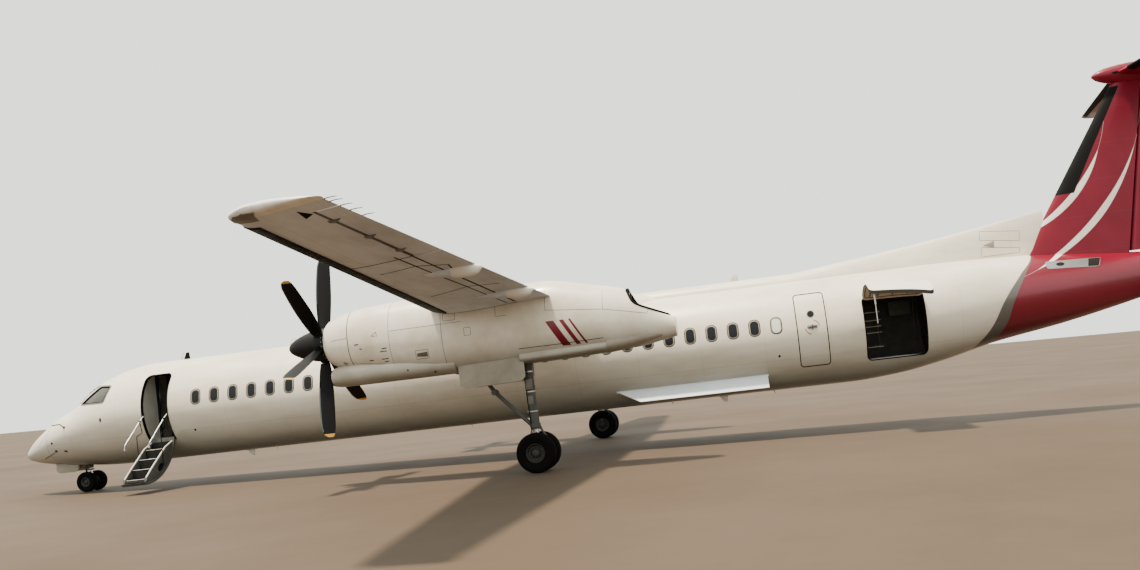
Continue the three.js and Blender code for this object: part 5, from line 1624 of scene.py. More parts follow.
@dataclass
class BaggageDoor:
    """The rear baggage door, open above its opening."""

    size: Row = Fuselage.baggage_way
    skin: float = 0.06
    gap: float = 0.01
    swing: float = -98.0
    hinge: Row = (1.183, 0.0, 0.655)

    def build(self) -> None:
        """Builds the door closed and swings it open."""
        front, back, bottom, top, corner = self.size
        gap = self.gap
        outline = rounded(front + gap, back - gap, bottom + gap, top - gap, corner - gap)
        patch = painted(outward(HULL.shape(23.0, 25.1, 0.15, SIDES)), Paintwork.WHITE)
        inner = painted(HULL.shape(22.9, 25.2, 0.15, SIDES, self.skin), Paintwork.LINER)
        frame = painted(across(outline, 0.7, 1.6), Paintwork.SEALANT)
        door = turned_about(cut(cut(patch, [inner]), [frame], keep=True), self.hinge, self.swing)
        body = Body.BAGGAGE.value
        settle(door, "baggage_door", None, body, "fuselage_paint", ["baggage_door"])
        for word, piece, finish, slot in self.trim():
            settle(turned_about(piece, self.hinge, self.swing), f"baggage_door_{word}", finish, body, slot)

    def inside(self, y: float, z: float) -> Vector:
        """The closed door's inner face at a height."""
        return HULL.side(y, z) - facing(HULL.side, y, z) * self.skin

    def trim(self) -> list[tuple[str, Piece, Paintwork, str | None]]:
        """The pieces on the closed door's inner face: word, piece, finish and slot."""
        front, back, bottom, top, corner = self.size
        edge = rounded(front + 0.05, back - 0.05, bottom + 0.05, top - 0.05, corner - 0.03)
        ribs = [tube([self.inside(y, z) - PORT * 0.008 for z in (-0.72, -0.4, 0.0, 0.3, 0.52)], 0.022, 8)
                for y in (23.65, 24.0, 24.35)]
        ribs += [tube([self.inside(y, z) - PORT * 0.01 for y in (23.42, 24.0, 24.58)], 0.026, 8)
                 for z in (-0.7, 0.1)]
        liner = dense(rounded(23.5, 24.5, -0.62, 0.48, 0.1), 0.12)
        knobs = [rod(self.inside(y, 0.52), self.inside(y, 0.52) - PORT * 0.05, 0.016) for y in (23.45, 24.55)]
        foot = self.inside(23.42, -0.74) - PORT * 0.02
        cap = box((foot.x - 0.06, front + 0.035, bottom + 0.08), (foot.x + 0.03, front + 0.05, -0.3), 0.004)
        stay = [rod(foot, foot - Vector((0.72, 0, -0.1)), 0.011),
                rod(foot, foot - Vector((0.3, 0, -0.04)), 0.018)]
        return [
            ("seal", rim(self.inside, dense(edge, ON_SKIN), 0.014, 0.008, sign=-1), Paintwork.SEAL,
             "seal_rubber"),
            ("ribs", joined(ribs), Paintwork.PRIMER, None),
            ("liner", plate(self.inside, liner, 0.006, sign=-1), Paintwork.LINER, None),
            ("end_cap", cap, Paintwork.DARK, None),
            ("latches", joined(knobs), Paintwork.GEAR, "gear_metal"),
            ("stay", joined(stay), Paintwork.ALUMINIUM, "bare_metal"),
        ]


WING_ROOT: Row = (13.87, 1.372, 16.57, 1.282, 0.486, 0.024)
INBOARD = Panel((0.0, *WING_ROOT), (4.4, *WING_ROOT))
OUTBOARD = Panel((4.4, *WING_ROOT), (14.0, 14.822, 1.802, 15.99, 1.866, 0.152, 0.02))


@dataclass
class Wing:
    """Centre wing, outer wings, flaps, ailerons, boots and small fittings."""

    flap_start: float = 0.74
    flap_nose: float = 0.746
    hinge: float = 0.77
    inner_flap: Row = (1.5, 3.7)
    outer_flap: Row = (5.12, 10.64)
    aileron: Row = (10.68, 13.64)
    end_gap: float = 0.018
    clear: float = 0.012
    free: float = 0.01
    tip: float = 14.0
    tip_cap: float = 0.212
    fairings: Row = (6.4, 9.2)

    def centre(self) -> None:
        """Builds the centre wing with bays for both inner flaps."""
        wing = painted(outward(INBOARD.shape((-4.39985, 4.39985), count=28)), Paintwork.WING)
        start, end = self.inner_flap
        bay = INBOARD.space(start - self.free, end + self.free, lambda share: self.flap_start)
        # The bays' faces are dark grey: painted shade in the gaps by the inner flaps
        bays = [painted(bay, Paintwork.SEALANT), painted(mirrored(bay), Paintwork.SEALANT)]
        settle(cut(wing, bays), "wing_centre", None, slot="wing_paint", replaces=["wing_centre"])

    def outer(self) -> Piece:
        """Builds the port outer wing with its rounded tip and its two bays."""
        rings = [OUTBOARD.ring(span, count=28) for span in (4.40015, 9.0, self.tip)]
        middle = OUTBOARD.at(1, 0.5, 0)
        last = rings[-1]
        for degrees in (15, 30, 45, 60, 72, 82, 90):
            angle = math.radians(degrees)
            out = self.tip_cap * math.sin(angle)
            length = 1 - 0.38 * (1 - math.cos(angle)) ** 1.2
            depth = max(0.12, math.cos(angle) ** 0.7)
            rings.append(tipped(last, middle, out, length, depth, 0.5))
        wing = painted(outward(loft(rings)), Paintwork.WING)
        start, end = self.outer_flap
        bay = OUTBOARD.space(start - self.free, end + self.free, lambda share: self.flap_start)
        first, final = self.aileron
        slot = OUTBOARD.space(first - self.end_gap, final + self.end_gap, lambda share: self.hinge,
                              lambda share: OUTBOARD.depth(share, self.hinge) + self.clear)
        # The bays' faces are dark: painted shade in the gaps by the outer flap and the aileron
        return cut(wing, [painted(bay, Paintwork.SEALANT), painted(slot, Paintwork.FRAME)])

    def boot(self, panel: Panel, start: float, end: float) -> Piece:
        """A rubber boot round a leading edge."""
        return panel.wrapped(0.014, 0.05).shape((start, end), end=0.17, count=16)

    def track(self, x: float) -> tuple[Piece, Piece]:
        """A flap track's fairing under the wing: its broad front and its round rear end."""
        share = OUTBOARD.share(x)
        under, last = OUTBOARD.at(share, 0.6, -1), OUTBOARD.at(share, 1, 0)
        front, middle, end = OUTBOARD.at(share, 0.5, -1).y, last.y - 0.42, last.y + 0.08
        level = under.z + 0.03
        broad = ((front, 0.02, 0.04), (front + 0.12, 0.05, 0.1), (middle - 0.2, 0.1, 0.16),
                 (middle, 0.11, 0.165))
        round_end = ((middle, 0.12, 0.15), (middle + 0.18, 0.15, 0.16), (end - 0.1, 0.12, 0.13),
                     (end, 0.03, 0.02))
        made = []
        for rows, flat in ((broad, 3.0), (round_end, 2.2)):
            sections = tuple((y, level + drop / 2, level - drop, level, half) for y, drop, half in rows)
            made.append(Hull(sections, flat, x).shape(rows[0][0], rows[-1][0], 0.06, 28))
        return made[0], made[1]

    def tip_pieces(self) -> None:
        """Builds the dark corner at the wing's tip with its lamp."""
        ring = OUTBOARD.ring(13.86, end=0.26, count=14)
        middle = OUTBOARD.at(OUTBOARD.share(13.86), 0.12, 0)
        # Columns: distance out, distance aft, share of the leading edge's size
        steps = ((0.0, -0.008, 1.07), (0.14, 0.03, 1.04), (0.25, 0.1, 0.9), (0.31, 0.19, 0.55))
        corner = loft([[middle + (place - middle) * scale + Vector((out, aft, 0)) for place in ring]
                       for out, aft, scale in steps])
        pair(corner, "wing_tip_corner", Paintwork.FRAME)
        centre = middle + Vector((0.27, 0.2, 0.0))
        section = ((-0.03, 0.0), (-0.03, 0.03), (0.0, 0.034), (0.03, 0.028), (0.045, 0.012), (0.048, 0.0))
        lamp = turned(section, centre, Vector((1, -0.3, 0)), 24)
        other = mirrored(lamp)
        settle(lamp, "wing_nav_lamp_port", Paintwork.RED_LAMP, slot="lamp_glass")
        settle(other, "wing_nav_lamp_starboard", Paintwork.GREEN_LAMP, slot="lamp_glass")

    def fittings(self) -> None:
        """Builds the wicks, brackets, vent and sealant lines."""
        lower = OUTBOARD.skin(-1)
        for name, spans, body in (("wing_wicks", (13.85, 13.98), None),
                                  ("aileron_wicks", (13.07, 13.38, 13.62), Body.AILERON)):
            starts = [OUTBOARD.at(OUTBOARD.share(span), 0.985, 0) for span in spans]
            wicks = [tube([start, start + Vector((0, 0.08, 0.01)), start + Vector((0, 0.17, 0.012))],
                          (0.007, 0.006, 0.004), 8) for start in starts]
            pair(joined(wicks), name, Paintwork.HOSE, body)
        hinges = []
        for span in (11.2, 12.2, 13.2):
            spot = OUTBOARD.at(OUTBOARD.share(span), self.hinge, -1)
            outline = [spot + Vector((-0.015, y, z)) for y, z in (
                (-0.14, 0.03), (0.08, 0.03), (0.07, 0.0), (0.0, -0.045), (-0.07, -0.035))]
            hinges.append(slab(outline, PORT * 0.03, 0.004))
        pair(joined(hinges), "aileron_brackets", Paintwork.FRAME, slot="wing_paint")
        # The vent's opening is a flat black plate: painted shade
        vent = [lower(span, chord) - UP * 0.004 for span, chord in ((13.83, 0.64), (13.5, 0.6), (13.6, 0.71))]
        pair(slab(vent, UP * 0.012), "wing_vent", Paintwork.SEAL)
        # Lines of sealant, in span places and chord fractions
        curves = (((9.95, 0.28), (10.02, 0.62), (9.64, 0.835), (8.8, 0.76)),
                  ((7.4, 0.3), (7.67, 0.65), (7.35, 0.885)),
                  ((10.84, 0.608), (8.65, 0.636), (7.67, 0.651), (5.2, 0.67)), ((5.06, 0.1), (5.06, 0.735)),
                  ((10.66, 0.1), (10.66, 0.735)), ((5.2, 0.735), (10.66, 0.735)))
        lines = [strip(lower, line, 0.032, 0.002, 0.04, -1) for line in curves]
        pair(joined(lines), "wing_sealant", Paintwork.SEALANT)

    def build(self) -> None:
        """Builds all of the wing on both sides."""
        self.centre()
        boots = [self.boot(INBOARD, 1.5, 3.55), self.boot(OUTBOARD, 5.25, 13.6)]
        settle(both(joined(boots)), "wing_boots", Paintwork.BOOT, slot="seal_rubber")
        pair(self.outer(), "wing", None, slot="wing_paint", replaces=["wing"])
        for name, surface, body in (
                ("inner_flap", INBOARD.shape(self.inner_flap, start=self.flap_nose), None),
                ("outer_flap", OUTBOARD.shape(self.outer_flap, start=self.flap_nose), None),
                ("aileron", OUTBOARD.shape(self.aileron, start=self.hinge, nose=True), Body.AILERON)):
            pair(surface, name, Paintwork.WING, body, "wing_paint", [name])
        fronts, ends = zip(*[self.track(x) for x in self.fairings])
        pair(joined(fronts), "flap_tracks", Paintwork.WING, slot="wing_paint")
        pair(joined(ends), "flap_track_ends", Paintwork.WHITE, slot="wing_paint")
        self.tip_pieces()
        self.fittings()


@dataclass
class Fairings:
    """The wing's fairing over the hull, the dorsal ridge and the strakes."""

    wing_rows: tuple[Row, ...] = (
        (12.35, 1.352, 0.7, 1.0, 0.56), (12.8, 1.5, 0.6, 0.94, 0.86), (13.5, 1.69, 0.56, 0.9, 1.12),
        (14.4, 1.752, 0.54, 0.88, 1.23), (16.2, 1.752, 0.54, 0.88, 1.23), (17.0, 1.68, 0.6, 0.9, 1.1),
        (17.7, 1.56, 0.7, 0.95, 0.76), (18.3, 1.4, 0.8, 1.0, 0.38),
    )
    # Place aft, top and half width
    ridge_rows: tuple[Row, ...] = (
        (17.42, 1.545, 0.25), (21.5, 1.545, 0.25), (23.03, 1.68, 0.235), (24.53, 1.84, 0.205),
        (26.51, 2.1, 0.15), (28.0, 2.33, 0.06),
    )
    ridge_base: float = 1.3
    ridge_power: float = 1.6
    strake_angle: float = -43.8
    strake: Row = (17.13, 17.72, 20.87, 0.42, 0.024)

    def ridge_ring(self, place: float) -> Ring:
        """The dorsal ridge's section."""
        top, half = smooth(self.ridge_rows, place)
        bend, base = 2 / self.ridge_power, self.ridge_base
        ring = [Vector((half * math.copysign(abs(math.cos(turn)) ** bend, math.cos(turn)), place,
                        base + (top - base) * math.sin(turn) ** bend)) for turn in between(0.0, math.pi, 24)]
        return [Vector((half, place, 1.12)), *ring, Vector((-half, place, 1.12))]

    def build(self) -> None:
        """Builds the three kinds of fairing."""
        cover = Hull(self.wing_rows, 2.3).shape(12.35, 18.3, 0.12, 72)
        settle(cover, "wing_fairing", Paintwork.HULL, slot="fuselage_paint", replaces=["wing_fairing"])
        places = [17.42 + 0.2 * i for i in range(53)] + [28.0]
        ridge = loft([self.ridge_ring(place) for place in places])
        settle(ridge, "dorsal_ridge", Paintwork.HULL, slot="fuselage_paint", replaces=["dorsal_ridge"])
        front, tip_front, back, span, thick = self.strake
        root, tip = RADIUS - 0.06, RADIUS + span
        plan = [Vector((x, y, -thick / 2)) for x, y in (
            (root, front - 0.08), (tip, tip_front), (tip, back), (root, back))]
        blade = slab(plan, UP * thick, 0.008)
        foot = box((RADIUS - 0.03, front - 0.02, -0.03), (RADIUS + 0.012, back + 0.03, 0.03), 0.01)
        strakes = turned_about(joined([blade, foot]), (0, 0, 0), -self.strake_angle)
        settle(both(strakes), "strakes", Paintwork.STRAKE, slot="fuselage_paint")


NACELLE = Hull((
    (11.4, 1.345, 0.505, 0.925, 0.42), (11.48, 1.425, 0.43, 0.925, 0.485), (11.96, 1.58, 0.3, 0.9, 0.56),
    (12.9, 1.66, 0.13, 0.85, 0.64), (14.2, 1.695, -0.06, 0.78, 0.665), (16.3, 1.695, 0.0, 0.76, 0.665),
    (17.3, 1.5, 0.02, 0.72, 0.62), (18.1, 1.29, 0.04, 0.65, 0.52), (19.05, 0.59, 0.18, 0.38, 0.23),
), 2.25, 4.395)
SCOOP = Hull((
    (11.44, 0.33, -0.02, 0.155, 0.33), (11.54, 0.4, -0.05, 0.17, 0.39), (12.3, 0.47, -0.06, 0.2, 0.45),
    (13.2, 0.47, -0.06, 0.2, 0.5), (14.3, 0.41, -0.055, 0.18, 0.5),
), 2.4, 4.395)


@dataclass
class Nacelle:
    """An engine nacelle with its intake scoop, exhaust, wheel bay and keel fairing, made to port."""

    x: float = 4.395
    mouth: tuple[Row, ...] = ((11.35, 0.3, 0.01, 0.155, 0.285), (12.05, 0.28, 0.04, 0.16, 0.23))
    shaft: Row = (0.925, 0.3, 11.78)
    bay: Row = (14.42, 16.02, 0.4, 0.93)
    # Edge of the exhaust's opening, from the tail up to the top of the cowl
    lip: Outline = ((19.02, 0.6), (18.8, 0.7), (18.54, 0.81), (18.34, 0.905), (18.22, 1.0), (18.134, 1.185))
    lip_top: float = 18.109
    keel: tuple[Row, ...] = (
        (15.73, 0.3, -0.03, 0.1, 0.51), (16.6, 0.3, -0.02, 0.11, 0.52), (17.2, 0.31, -0.005, 0.13, 0.5),
        (17.58, 0.32, 0.008, 0.15, 0.47),
    )
    keel_end: tuple[Row, ...] = (
        (17.585, 0.36, 0.0, 0.17, 0.5), (18.0, 0.38, 0.035, 0.21, 0.45), (18.5, 0.39, 0.12, 0.26, 0.35),
        (18.95, 0.4, 0.2, 0.3, 0.2),
    )

    def bay_tool(self) -> Piece:
        """The wheel bay's space."""
        front, back, half, top = self.bay
        return painted(box((self.x - half, front, -0.4), (self.x + half, back, top)), Paintwork.PRIMER)

    def shell(self) -> None:
        """Builds the cowl with its shaft hole, wheel bay and exhaust opening."""
        places = [11.4, 11.415, 11.44, 11.48, 11.56, 11.7] + [11.85 + 0.15 * i for i in range(49)]
        cowl = painted(outward(loft([NACELLE.ring(place, 96) for place in places])), Paintwork.COWL)
        level, radius, end = self.shaft
        # The shaft's gap behind the spinner is lined near-black: painted shade
        shaft = painted(tube([(self.x, 11.3, level), (self.x, end, level)], radius, 40), Paintwork.SOOT)
        # The faces across the exhaust's opening are black: painted shade of the open duct
        open_air = [(self.lip_top, 1.9), (19.4, 1.9), (19.4, 0.6), *self.lip, (self.lip_top, 1.3)]
        behind = painted(across(open_air, self.x - 0.8, self.x + 0.8), Paintwork.SEAL)
        rings = [above(NACELLE.ring(17.5 + 0.1 * i, 48, 0.028), 0.3) for i in range(15)]
        duct = painted(loft(rings), Paintwork.SOOT)
        cut(cowl, [shaft, self.bay_tool(), duct, behind])
        pair(cowl, "nacelle", None, slot="fuselage_paint", replaces=["nacelle"])

    def scoop(self) -> None:
        """Builds the intake scoop under the lip."""
        places = [11.44, 11.455, 11.49, 11.54, 11.62, 11.75] + [11.95 + 0.2 * i for i in range(12)] + [14.3]
        body = painted(outward(loft([SCOOP.ring(place, 72) for place in places])), Paintwork.COWL)
        # The intake's mouth is lined near-black: painted shade inside it
        mouth = painted(Hull(self.mouth, 2.4, self.x).shape(11.35, 12.05, 0.35, 48), Paintwork.SOOT)
        cut(body, [mouth])
        pair(body, "intake_scoop", None, slot="fuselage_paint")
        middle = Vector((self.x, 11.5, 0.155))
        lip = hoop(SCOOP.ring(11.47, 72, 0.001), middle, 0.06, 0.005)
        pair(lip, "intake_lip", Paintwork.BOOT, slot="seal_rubber")
        bars = [box((self.x - 0.25, 11.98, 0.05 + 0.05 * i), (self.x + 0.25, 11.99, 0.056 + 0.05 * i))
                for i in range(5)]
        pair(joined(bars), "intake_screen", Paintwork.ALUMINIUM)

    def tail(self) -> None:
        """Builds the keel fairing, the exhaust's lip and the nozzle inside it."""
        keel = Hull(self.keel, 2.4, self.x).shape(15.73, 17.58, 0.15, 64)
        pair(keel, "nacelle_keel", Paintwork.COWL, slot="fuselage_paint")
        end = Hull(self.keel_end, 2.4, self.x).shape(17.585, 18.95, 0.1, 64)
        pair(end, "nacelle_keel_end", Paintwork.RIM, slot="fuselage_paint")
        seam = strip(NACELLE.side, ((15.75, 0.29), (16.6, 0.29), (17.2, 0.3), (17.56, 0.31)), 0.016, 0.003,
                     ON_SKIN)
        pair(both(seam, self.x), "keel_joint", Paintwork.SEALANT)
        open_edge = [(18.93, 0.645), *self.lip[1:]]
        edge = [NACELLE.side(place.x, place.y) for place in curve([(y, z, 0) for y, z in open_edge], 4)]
        top = [NACELLE.at(self.lip_top, math.radians(angle)) for angle in range(66, 91, 4)]
        # The black tube along the exhaust's edge is painted shade of the dark duct inside it
        lip = tube([place - PORT * 0.006 for place in edge] + top, 0.026, 12)
        pair(both(lip, self.x), "exhaust_lip", Paintwork.SEAL)
        section = [(17.55, 0.19), (18.02, 0.2), (18.16, 0.222), (18.16, 0.212), (18.02, 0.19), (17.55, 0.18)]
        nozzle = turned(section, Vector((self.x, 0, 1.0)), AFT, 56)
        pair(nozzle, "exhaust_nozzle", Paintwork.EXHAUST)

    def engine(self) -> None:
        """Builds the engine inside the cowl and the fittings of the wheel bay."""
        case = box((self.x - 0.39, 11.78, 0.42), (self.x + 0.39, 13.78, 1.33), 0.05)
        pair(case, "engine", Paintwork.ENGINE, slot="engine_block", replaces=["engine"])
        front, back, half, top = self.bay
        frames = [box((self.x - half, y, top - 0.09), (self.x + half, y + 0.03, top - 0.001), 0.005)
                  for y in (front + 0.2, 15.0, 15.35)]
        for middle in (self.x - half + 0.02, self.x + half - 0.02):
            frames.append(box((middle - 0.018, front + 0.03, 0.35), (middle + 0.018, back - 0.03, 0.4),
                              0.005))
        pair(joined(frames), "wheel_bay_frames", Paintwork.PRIMER)
        pipes = []
        for x, z in ((0.28, 0.8), (0.22, 0.74), (-0.26, 0.82), (-0.2, 0.7)):
            path = [(self.x + x, front + 0.01, z), (self.x + x, 15.1, z), (self.x + x * 0.6, 15.6, z - 0.12),
                    (self.x + x * 0.6, back - 0.01, z - 0.12)]
            pipes.append(tube(bent(path, 0.08), 0.012, 8))
        pair(joined(pipes), "wheel_bay_pipes", Paintwork.HOSE)
        boss = turned([(-0.004, 0.0), (0.0, 0.02), (0.004, 0.045), (0.03, 0.055), (0.06, 0.055), (0.06, 0.0)],
                      Vector((self.x, 14.2, -0.076)), UP, 32)
        pair(boss, "jack_pad", Paintwork.GEAR, slot="gear_metal")

    def joints(self) -> None:
        """Builds the cowling's joint lines, hatch outlines, slots and louvred vent."""
        skin = NACELLE.side
        # Joint lines that run along or up the cowl
        lines = (((13.0, 1.0), (14.6, 1.01)), ((11.64, 0.95), (12.0, 0.97)), ((12.03, 0.43), (14.12, 0.12)),
                 ((16.42, 1.46), (16.42, 1.02)), ((16.4, 1.02), (17.6, 0.9), (18.5, 0.71), (18.53, 0.78)),
                 ((17.62, 1.3), (17.62, 0.9)), ((14.15, 1.3), (14.15, 0.12)),
                 ((15.35, 1.3), (15.35, 1.02), (15.6, 1.02)))
        seams = [strip(skin, line, 0.009, 0.0012, 0.06) for line in lines]
        for place, width in ((12.02, 0.02), (12.98, 0.009)):
            seams.append(hoop(NACELLE.ring(place, 72), Vector((self.x, place, 0.9)), width, 0.0012))
        for corners in ((14.2, 14.47, 1.06, 1.22), (14.64, 14.79, 0.7, 0.87), (13.52, 13.81, 0.33, 0.52)):
            seams.append(rim(skin, dense(rounded(*corners, 0.015), ON_SKIN), 0.008, 0.0012))
        # Slots and small openings, drawn as flat dark marks: painted shade
        slots = (((12.17, 0.8), (12.27, 0.805)), ((12.28, 0.71), (12.33, 0.69)),
                 ((12.79, 0.645), (12.9, 0.655)), ((12.44, 0.43), (12.54, 0.43)),
                 ((12.78, 0.37), (12.88, 0.375)))
        thin = (((12.58, 0.94), (12.7, 1.02)), ((12.7, 1.02), (12.71, 0.92)), ((12.6, 0.93), (12.68, 0.94)))
        marks = [rim(skin, rounded(12.74, 12.89, 0.42, 0.6, 0.012), 0.018, 0.0015)]
        marks += [strip(skin, line, width, 0.0015) for group, width in ((slots, 0.026), (thin, 0.011))
                  for line in group]
        marks += [plate(SCOOP.side, oval(y, z, 0.02, steps=16), 0.0015)
                  for y, z in ((13.27, 0.13), (13.85, 0.03))]
        vent = plate(skin, [(13.55, 0.385), (13.79, 0.365), (13.79, 0.47), (13.55, 0.455)], 0.003)
        louvres = [strip(skin, ((13.57, z), (13.77, z)), 0.012, 0.005) for z in (0.395, 0.42, 0.445)]
        for name, pieces, finish in (("joints", seams, Paintwork.SEALANT), ("marks", marks, Paintwork.SEAL),
                                     ("vent", [vent], Paintwork.FRAME), ("louvres", louvres, Paintwork.GEAR)):
            pair(both(joined(pieces), self.x), f"cowl_{name}", finish)

    def build(self) -> None:
        """Builds both nacelles."""
        self.shell()
        self.scoop()
        self.tail()
        self.engine()
        self.joints()


@dataclass
class Propeller:
    """A six-bladed propeller with its spinner, made to port."""

    hub: Row = (4.395, 11.24, 0.925)
    first: float = -9.06
    count: int = 6
    # Columns: radius, chord, thickness, pitch from feathered in degrees, shift aft
    stations: tuple[Row, ...] = (
        (0.415, 0.235, 0.118, -9, 0.0), (0.6, 0.3, 0.082, -7, 0.0), (1.2, 0.358, 0.046, -2, 0.005),
        (1.8, 0.326, 0.026, 4, 0.02), (1.99, 0.24, 0.016, 5, 0.042), (2.055, 0.11, 0.01, 6, 0.07),
    )
    spinner: Outline = ((0.0, 0.0), (0.004, 0.028), (0.022, 0.062), (0.06, 0.108), (0.11, 0.146),
                        (0.2, 0.199), (0.3, 0.243), (0.42, 0.287), (0.56, 0.328), (0.68, 0.354),
                        (0.8, 0.374), (0.9, 0.385), (0.968, 0.39), (0.968, 0.37), (0.96, 0.0))
    spinner_tip: float = 10.4

    def point(self, radius: float, chord: float, side: float, lift: float = 0.0) -> Vector:
        """A point of the upright blade's skin at a chord fraction, on side 1 or -1."""
        wide, thick, pitch, shift = smooth(self.stations, radius)
        y = (chord - 0.5) * wide
        x = side * (section(max(chord, 0.0)) * thick * (1.0 if side > 0 else 0.8) + lift)
        y -= lift if chord <= 0 else 0.0
        c, s = math.cos(math.radians(pitch)), math.sin(math.radians(pitch))
        return Vector(self.hub) + Vector((x * c + y * s, y * c - x * s + shift, radius))

    def sleeve(self, start: float, end: float, reach: float, lift: float, steps: int = 10) -> Piece:
        """A thin cover over the nose of the blade between two radii."""
        rings = []
        for radius in between(start, end, steps):
            chords = [reach * (k / 5) ** 2 for k in range(5, 0, -1)]
            upper = [self.point(radius, chord, 1, lift) for chord in chords]
            lower = [self.point(radius, chord, -1, lift) for chord in reversed(chords)]
            rings.append([*upper, self.point(radius, 0.0, 1, lift), *lower])
        return loft(rings)

    def around(self, piece: Piece) -> Piece:
        """Six copies of a piece of the upright blade, each in its place round the hub."""
        turns = [turned_about(copied(piece), self.hub, self.first + 360 / self.count * i)
                 for i in range(self.count)]
        bpy.data.objects.remove(piece)
        return joined(turns)

    def build(self) -> None:
        """Builds both propellers."""
        radii = [0.415 + 0.08 * i for i in range(19)] + [1.92, 1.96, 1.99, 2.015, 2.035, 2.048, 2.055]
        rings = []
        for radius in radii:
            chords = [0.5 - 0.5 * math.cos(math.pi * k / 14) for k in range(15)]
            upper = [self.point(radius, chord, 1) for chord in reversed(chords[1:])]
            lower = [self.point(radius, chord, -1) for chord in chords[1:]]
            rings.append([*upper, self.point(radius, 0.0, 0), *lower])
        x, y, z = self.hub
        blade = outward(joined([loft(rings), rod((x, y, z + 0.1), (x, y, z + 0.44), 0.072, 24, 0.006)]))
        core = rod((x, y - 0.15, z), (x, y + 0.12, z), 0.21, 36)
        tip = Vector((x, self.spinner_tip, z))
        cuff = turned([(0.362, 0.07), (0.362, 0.104), (0.388, 0.1), (0.396, 0.088), (0.394, 0.07)],
                      Vector(self.hub), UP, 28)
        body = Body.PROPELLER
        pair(joined([core, self.around(blade)]), "propeller", Paintwork.BLADE, body, "blade_coating",
             ["propeller"])
        guard, boot = self.sleeve(0.95, 1.93, 0.1, 0.0012), self.sleeve(0.44, 0.94, 0.16, 0.0016)
        pair(self.around(guard), "blade_guards", Paintwork.NICKEL, body, "bare_metal")
        pair(self.around(boot), "blade_boots", Paintwork.BOOT, body, "seal_rubber")
        cone = turned(self.spinner, tip, AFT, 72)
        pair(cone, "spinner", Paintwork.SPINNER, body, "blade_coating", ["spinner"])
        pair(self.around(cuff), "blade_cuffs", Paintwork.SEAL, body, "seal_rubber")
        screws = []
        for i in range(24):
            angle = math.tau * (i + 0.5) / 24
            out = Vector((math.cos(angle), 0, math.sin(angle)))
            spot = tip + Vector((0, 0.93, 0)) + out * 0.3855
            screws.append(rod(spot, spot + out * 0.0035, 0.008, 10, 0.001))
        pair(joined(screws), "spinner_screws", Paintwork.ALUMINIUM, body, "bare_metal")


@dataclass(frozen=True)
class Wheel:
    """A pair of wheels on one axle.

    Its sizes are the axle's middle, each wheel's distance from it, the tyre's radius and width, the
    rim's and axle's radii, the axle's reach to each side, and the number of holes in the disc.
    """

    centre: Row
    twin: float
    tyre: float
    width: float
    rim: float
    axle: float
    reach: float
    holes: int
    axle_sides: int

    def tyres(self) -> Piece:
        """The port tyre, with a round shoulder and grooves in its tread."""
        w, r = self.width, self.tyre
        sides = [(0.36, self.rim + 0.001), (0.41, self.rim + 0.012), (0.47, 0.66 * r), (0.5, 0.76 * r),
                 (0.495, 0.84 * r), (0.46, 0.915 * r), (0.4, 0.96 * r), (0.33, 0.985 * r)]
        grooves = []
        for place in (0.22, 0.075):
            grooves += [(place + 0.022, 0.998 * r), (place + 0.016, 0.998 * r - 0.009),
                        (place - 0.016, 0.998 * r - 0.009), (place - 0.022, 0.999 * r)]
        half = [(a * w, radius) for a, radius in [*sides, (0.28, 0.993 * r), *grooves]]
        outline = [*half, *[(-a, radius) for a, radius in reversed(half)]]
        return turned(outline, Vector(self.centre) + PORT * self.twin, PORT, 88)

    def hub(self) -> Piece:
        """The port wheel's rim and dished disc, with a ring of oval holes."""
        w, rim_radius, twin = self.width, self.rim, self.twin
        outline = [(-0.42 * w, self.axle), (-0.42 * w, rim_radius - 0.03), (-0.4 * w, rim_radius - 0.004),
                   (-0.385 * w, rim_radius), (0.41 * w, rim_radius), (0.44 * w, rim_radius - 0.004),
                   (0.44 * w, rim_radius - 0.014), (0.4 * w, rim_radius - 0.026),
                   (0.24 * w, rim_radius - 0.04), (0.16 * w, rim_radius - 0.055),
                   (0.16 * w, rim_radius * 0.5), (0.2 * w, rim_radius * 0.42),
                   (0.3 * w, rim_radius * 0.36), (0.32 * w, rim_radius * 0.3), (0.32 * w, 0.0),
                   (-0.1 * w, 0.0), (-0.1 * w, self.axle)]
        middle = Vector(self.centre)
        disc = turned([(twin + a, radius) for a, radius in outline], middle, PORT, 72)
        painted(outward(disc), Paintwork.HUB)
        ovals = []
        radius = rim_radius * 0.6
        tall, wide = rim_radius * 0.085, 0.3 * math.tau * radius / self.holes
        for i in range(self.holes):
            turn = math.tau * i / self.holes
            out = Vector((0, math.cos(turn), math.sin(turn)))
            round_hub = Vector((0, -math.sin(turn), math.cos(turn)))
            spot = middle + out * radius + PORT * (twin - 0.02)
            ring = [spot + out * u + round_hub * v for u, v in oval(0.0, 0.0, tall, wide, 14)]
            ovals.append(slab(ring, PORT * (0.2 * w + 0.03)))
        # The holes' faces are near-black: painted shade inside them
        return cut(disc, [painted(joined(ovals), Paintwork.SOOT)])

    def bolts(self) -> Piece:
        """Tie bolts round the port wheel's disc."""
        pieces = []
        face = self.twin + 0.16 * self.width
        for i in range(self.holes):
            turn = math.tau * (i + 0.5) / self.holes
            out = Vector((0, math.cos(turn), math.sin(turn))) * self.rim * 0.68
            spot = Vector(self.centre) + out + PORT * (face - 0.002)
            pieces.append(rod(spot, spot + PORT * 0.012, 0.0075, 6, 0.001))
        return joined(pieces)

    def both_hubs(self) -> Piece:
        """Both wheels' discs on their axle."""
        middle, reach = Vector(self.centre), PORT * self.reach
        axle = outward(rod(middle - reach, middle + reach, self.axle, self.axle_sides))
        return joined([both(self.hub(), middle.x), painted(axle, Paintwork.HUB)])


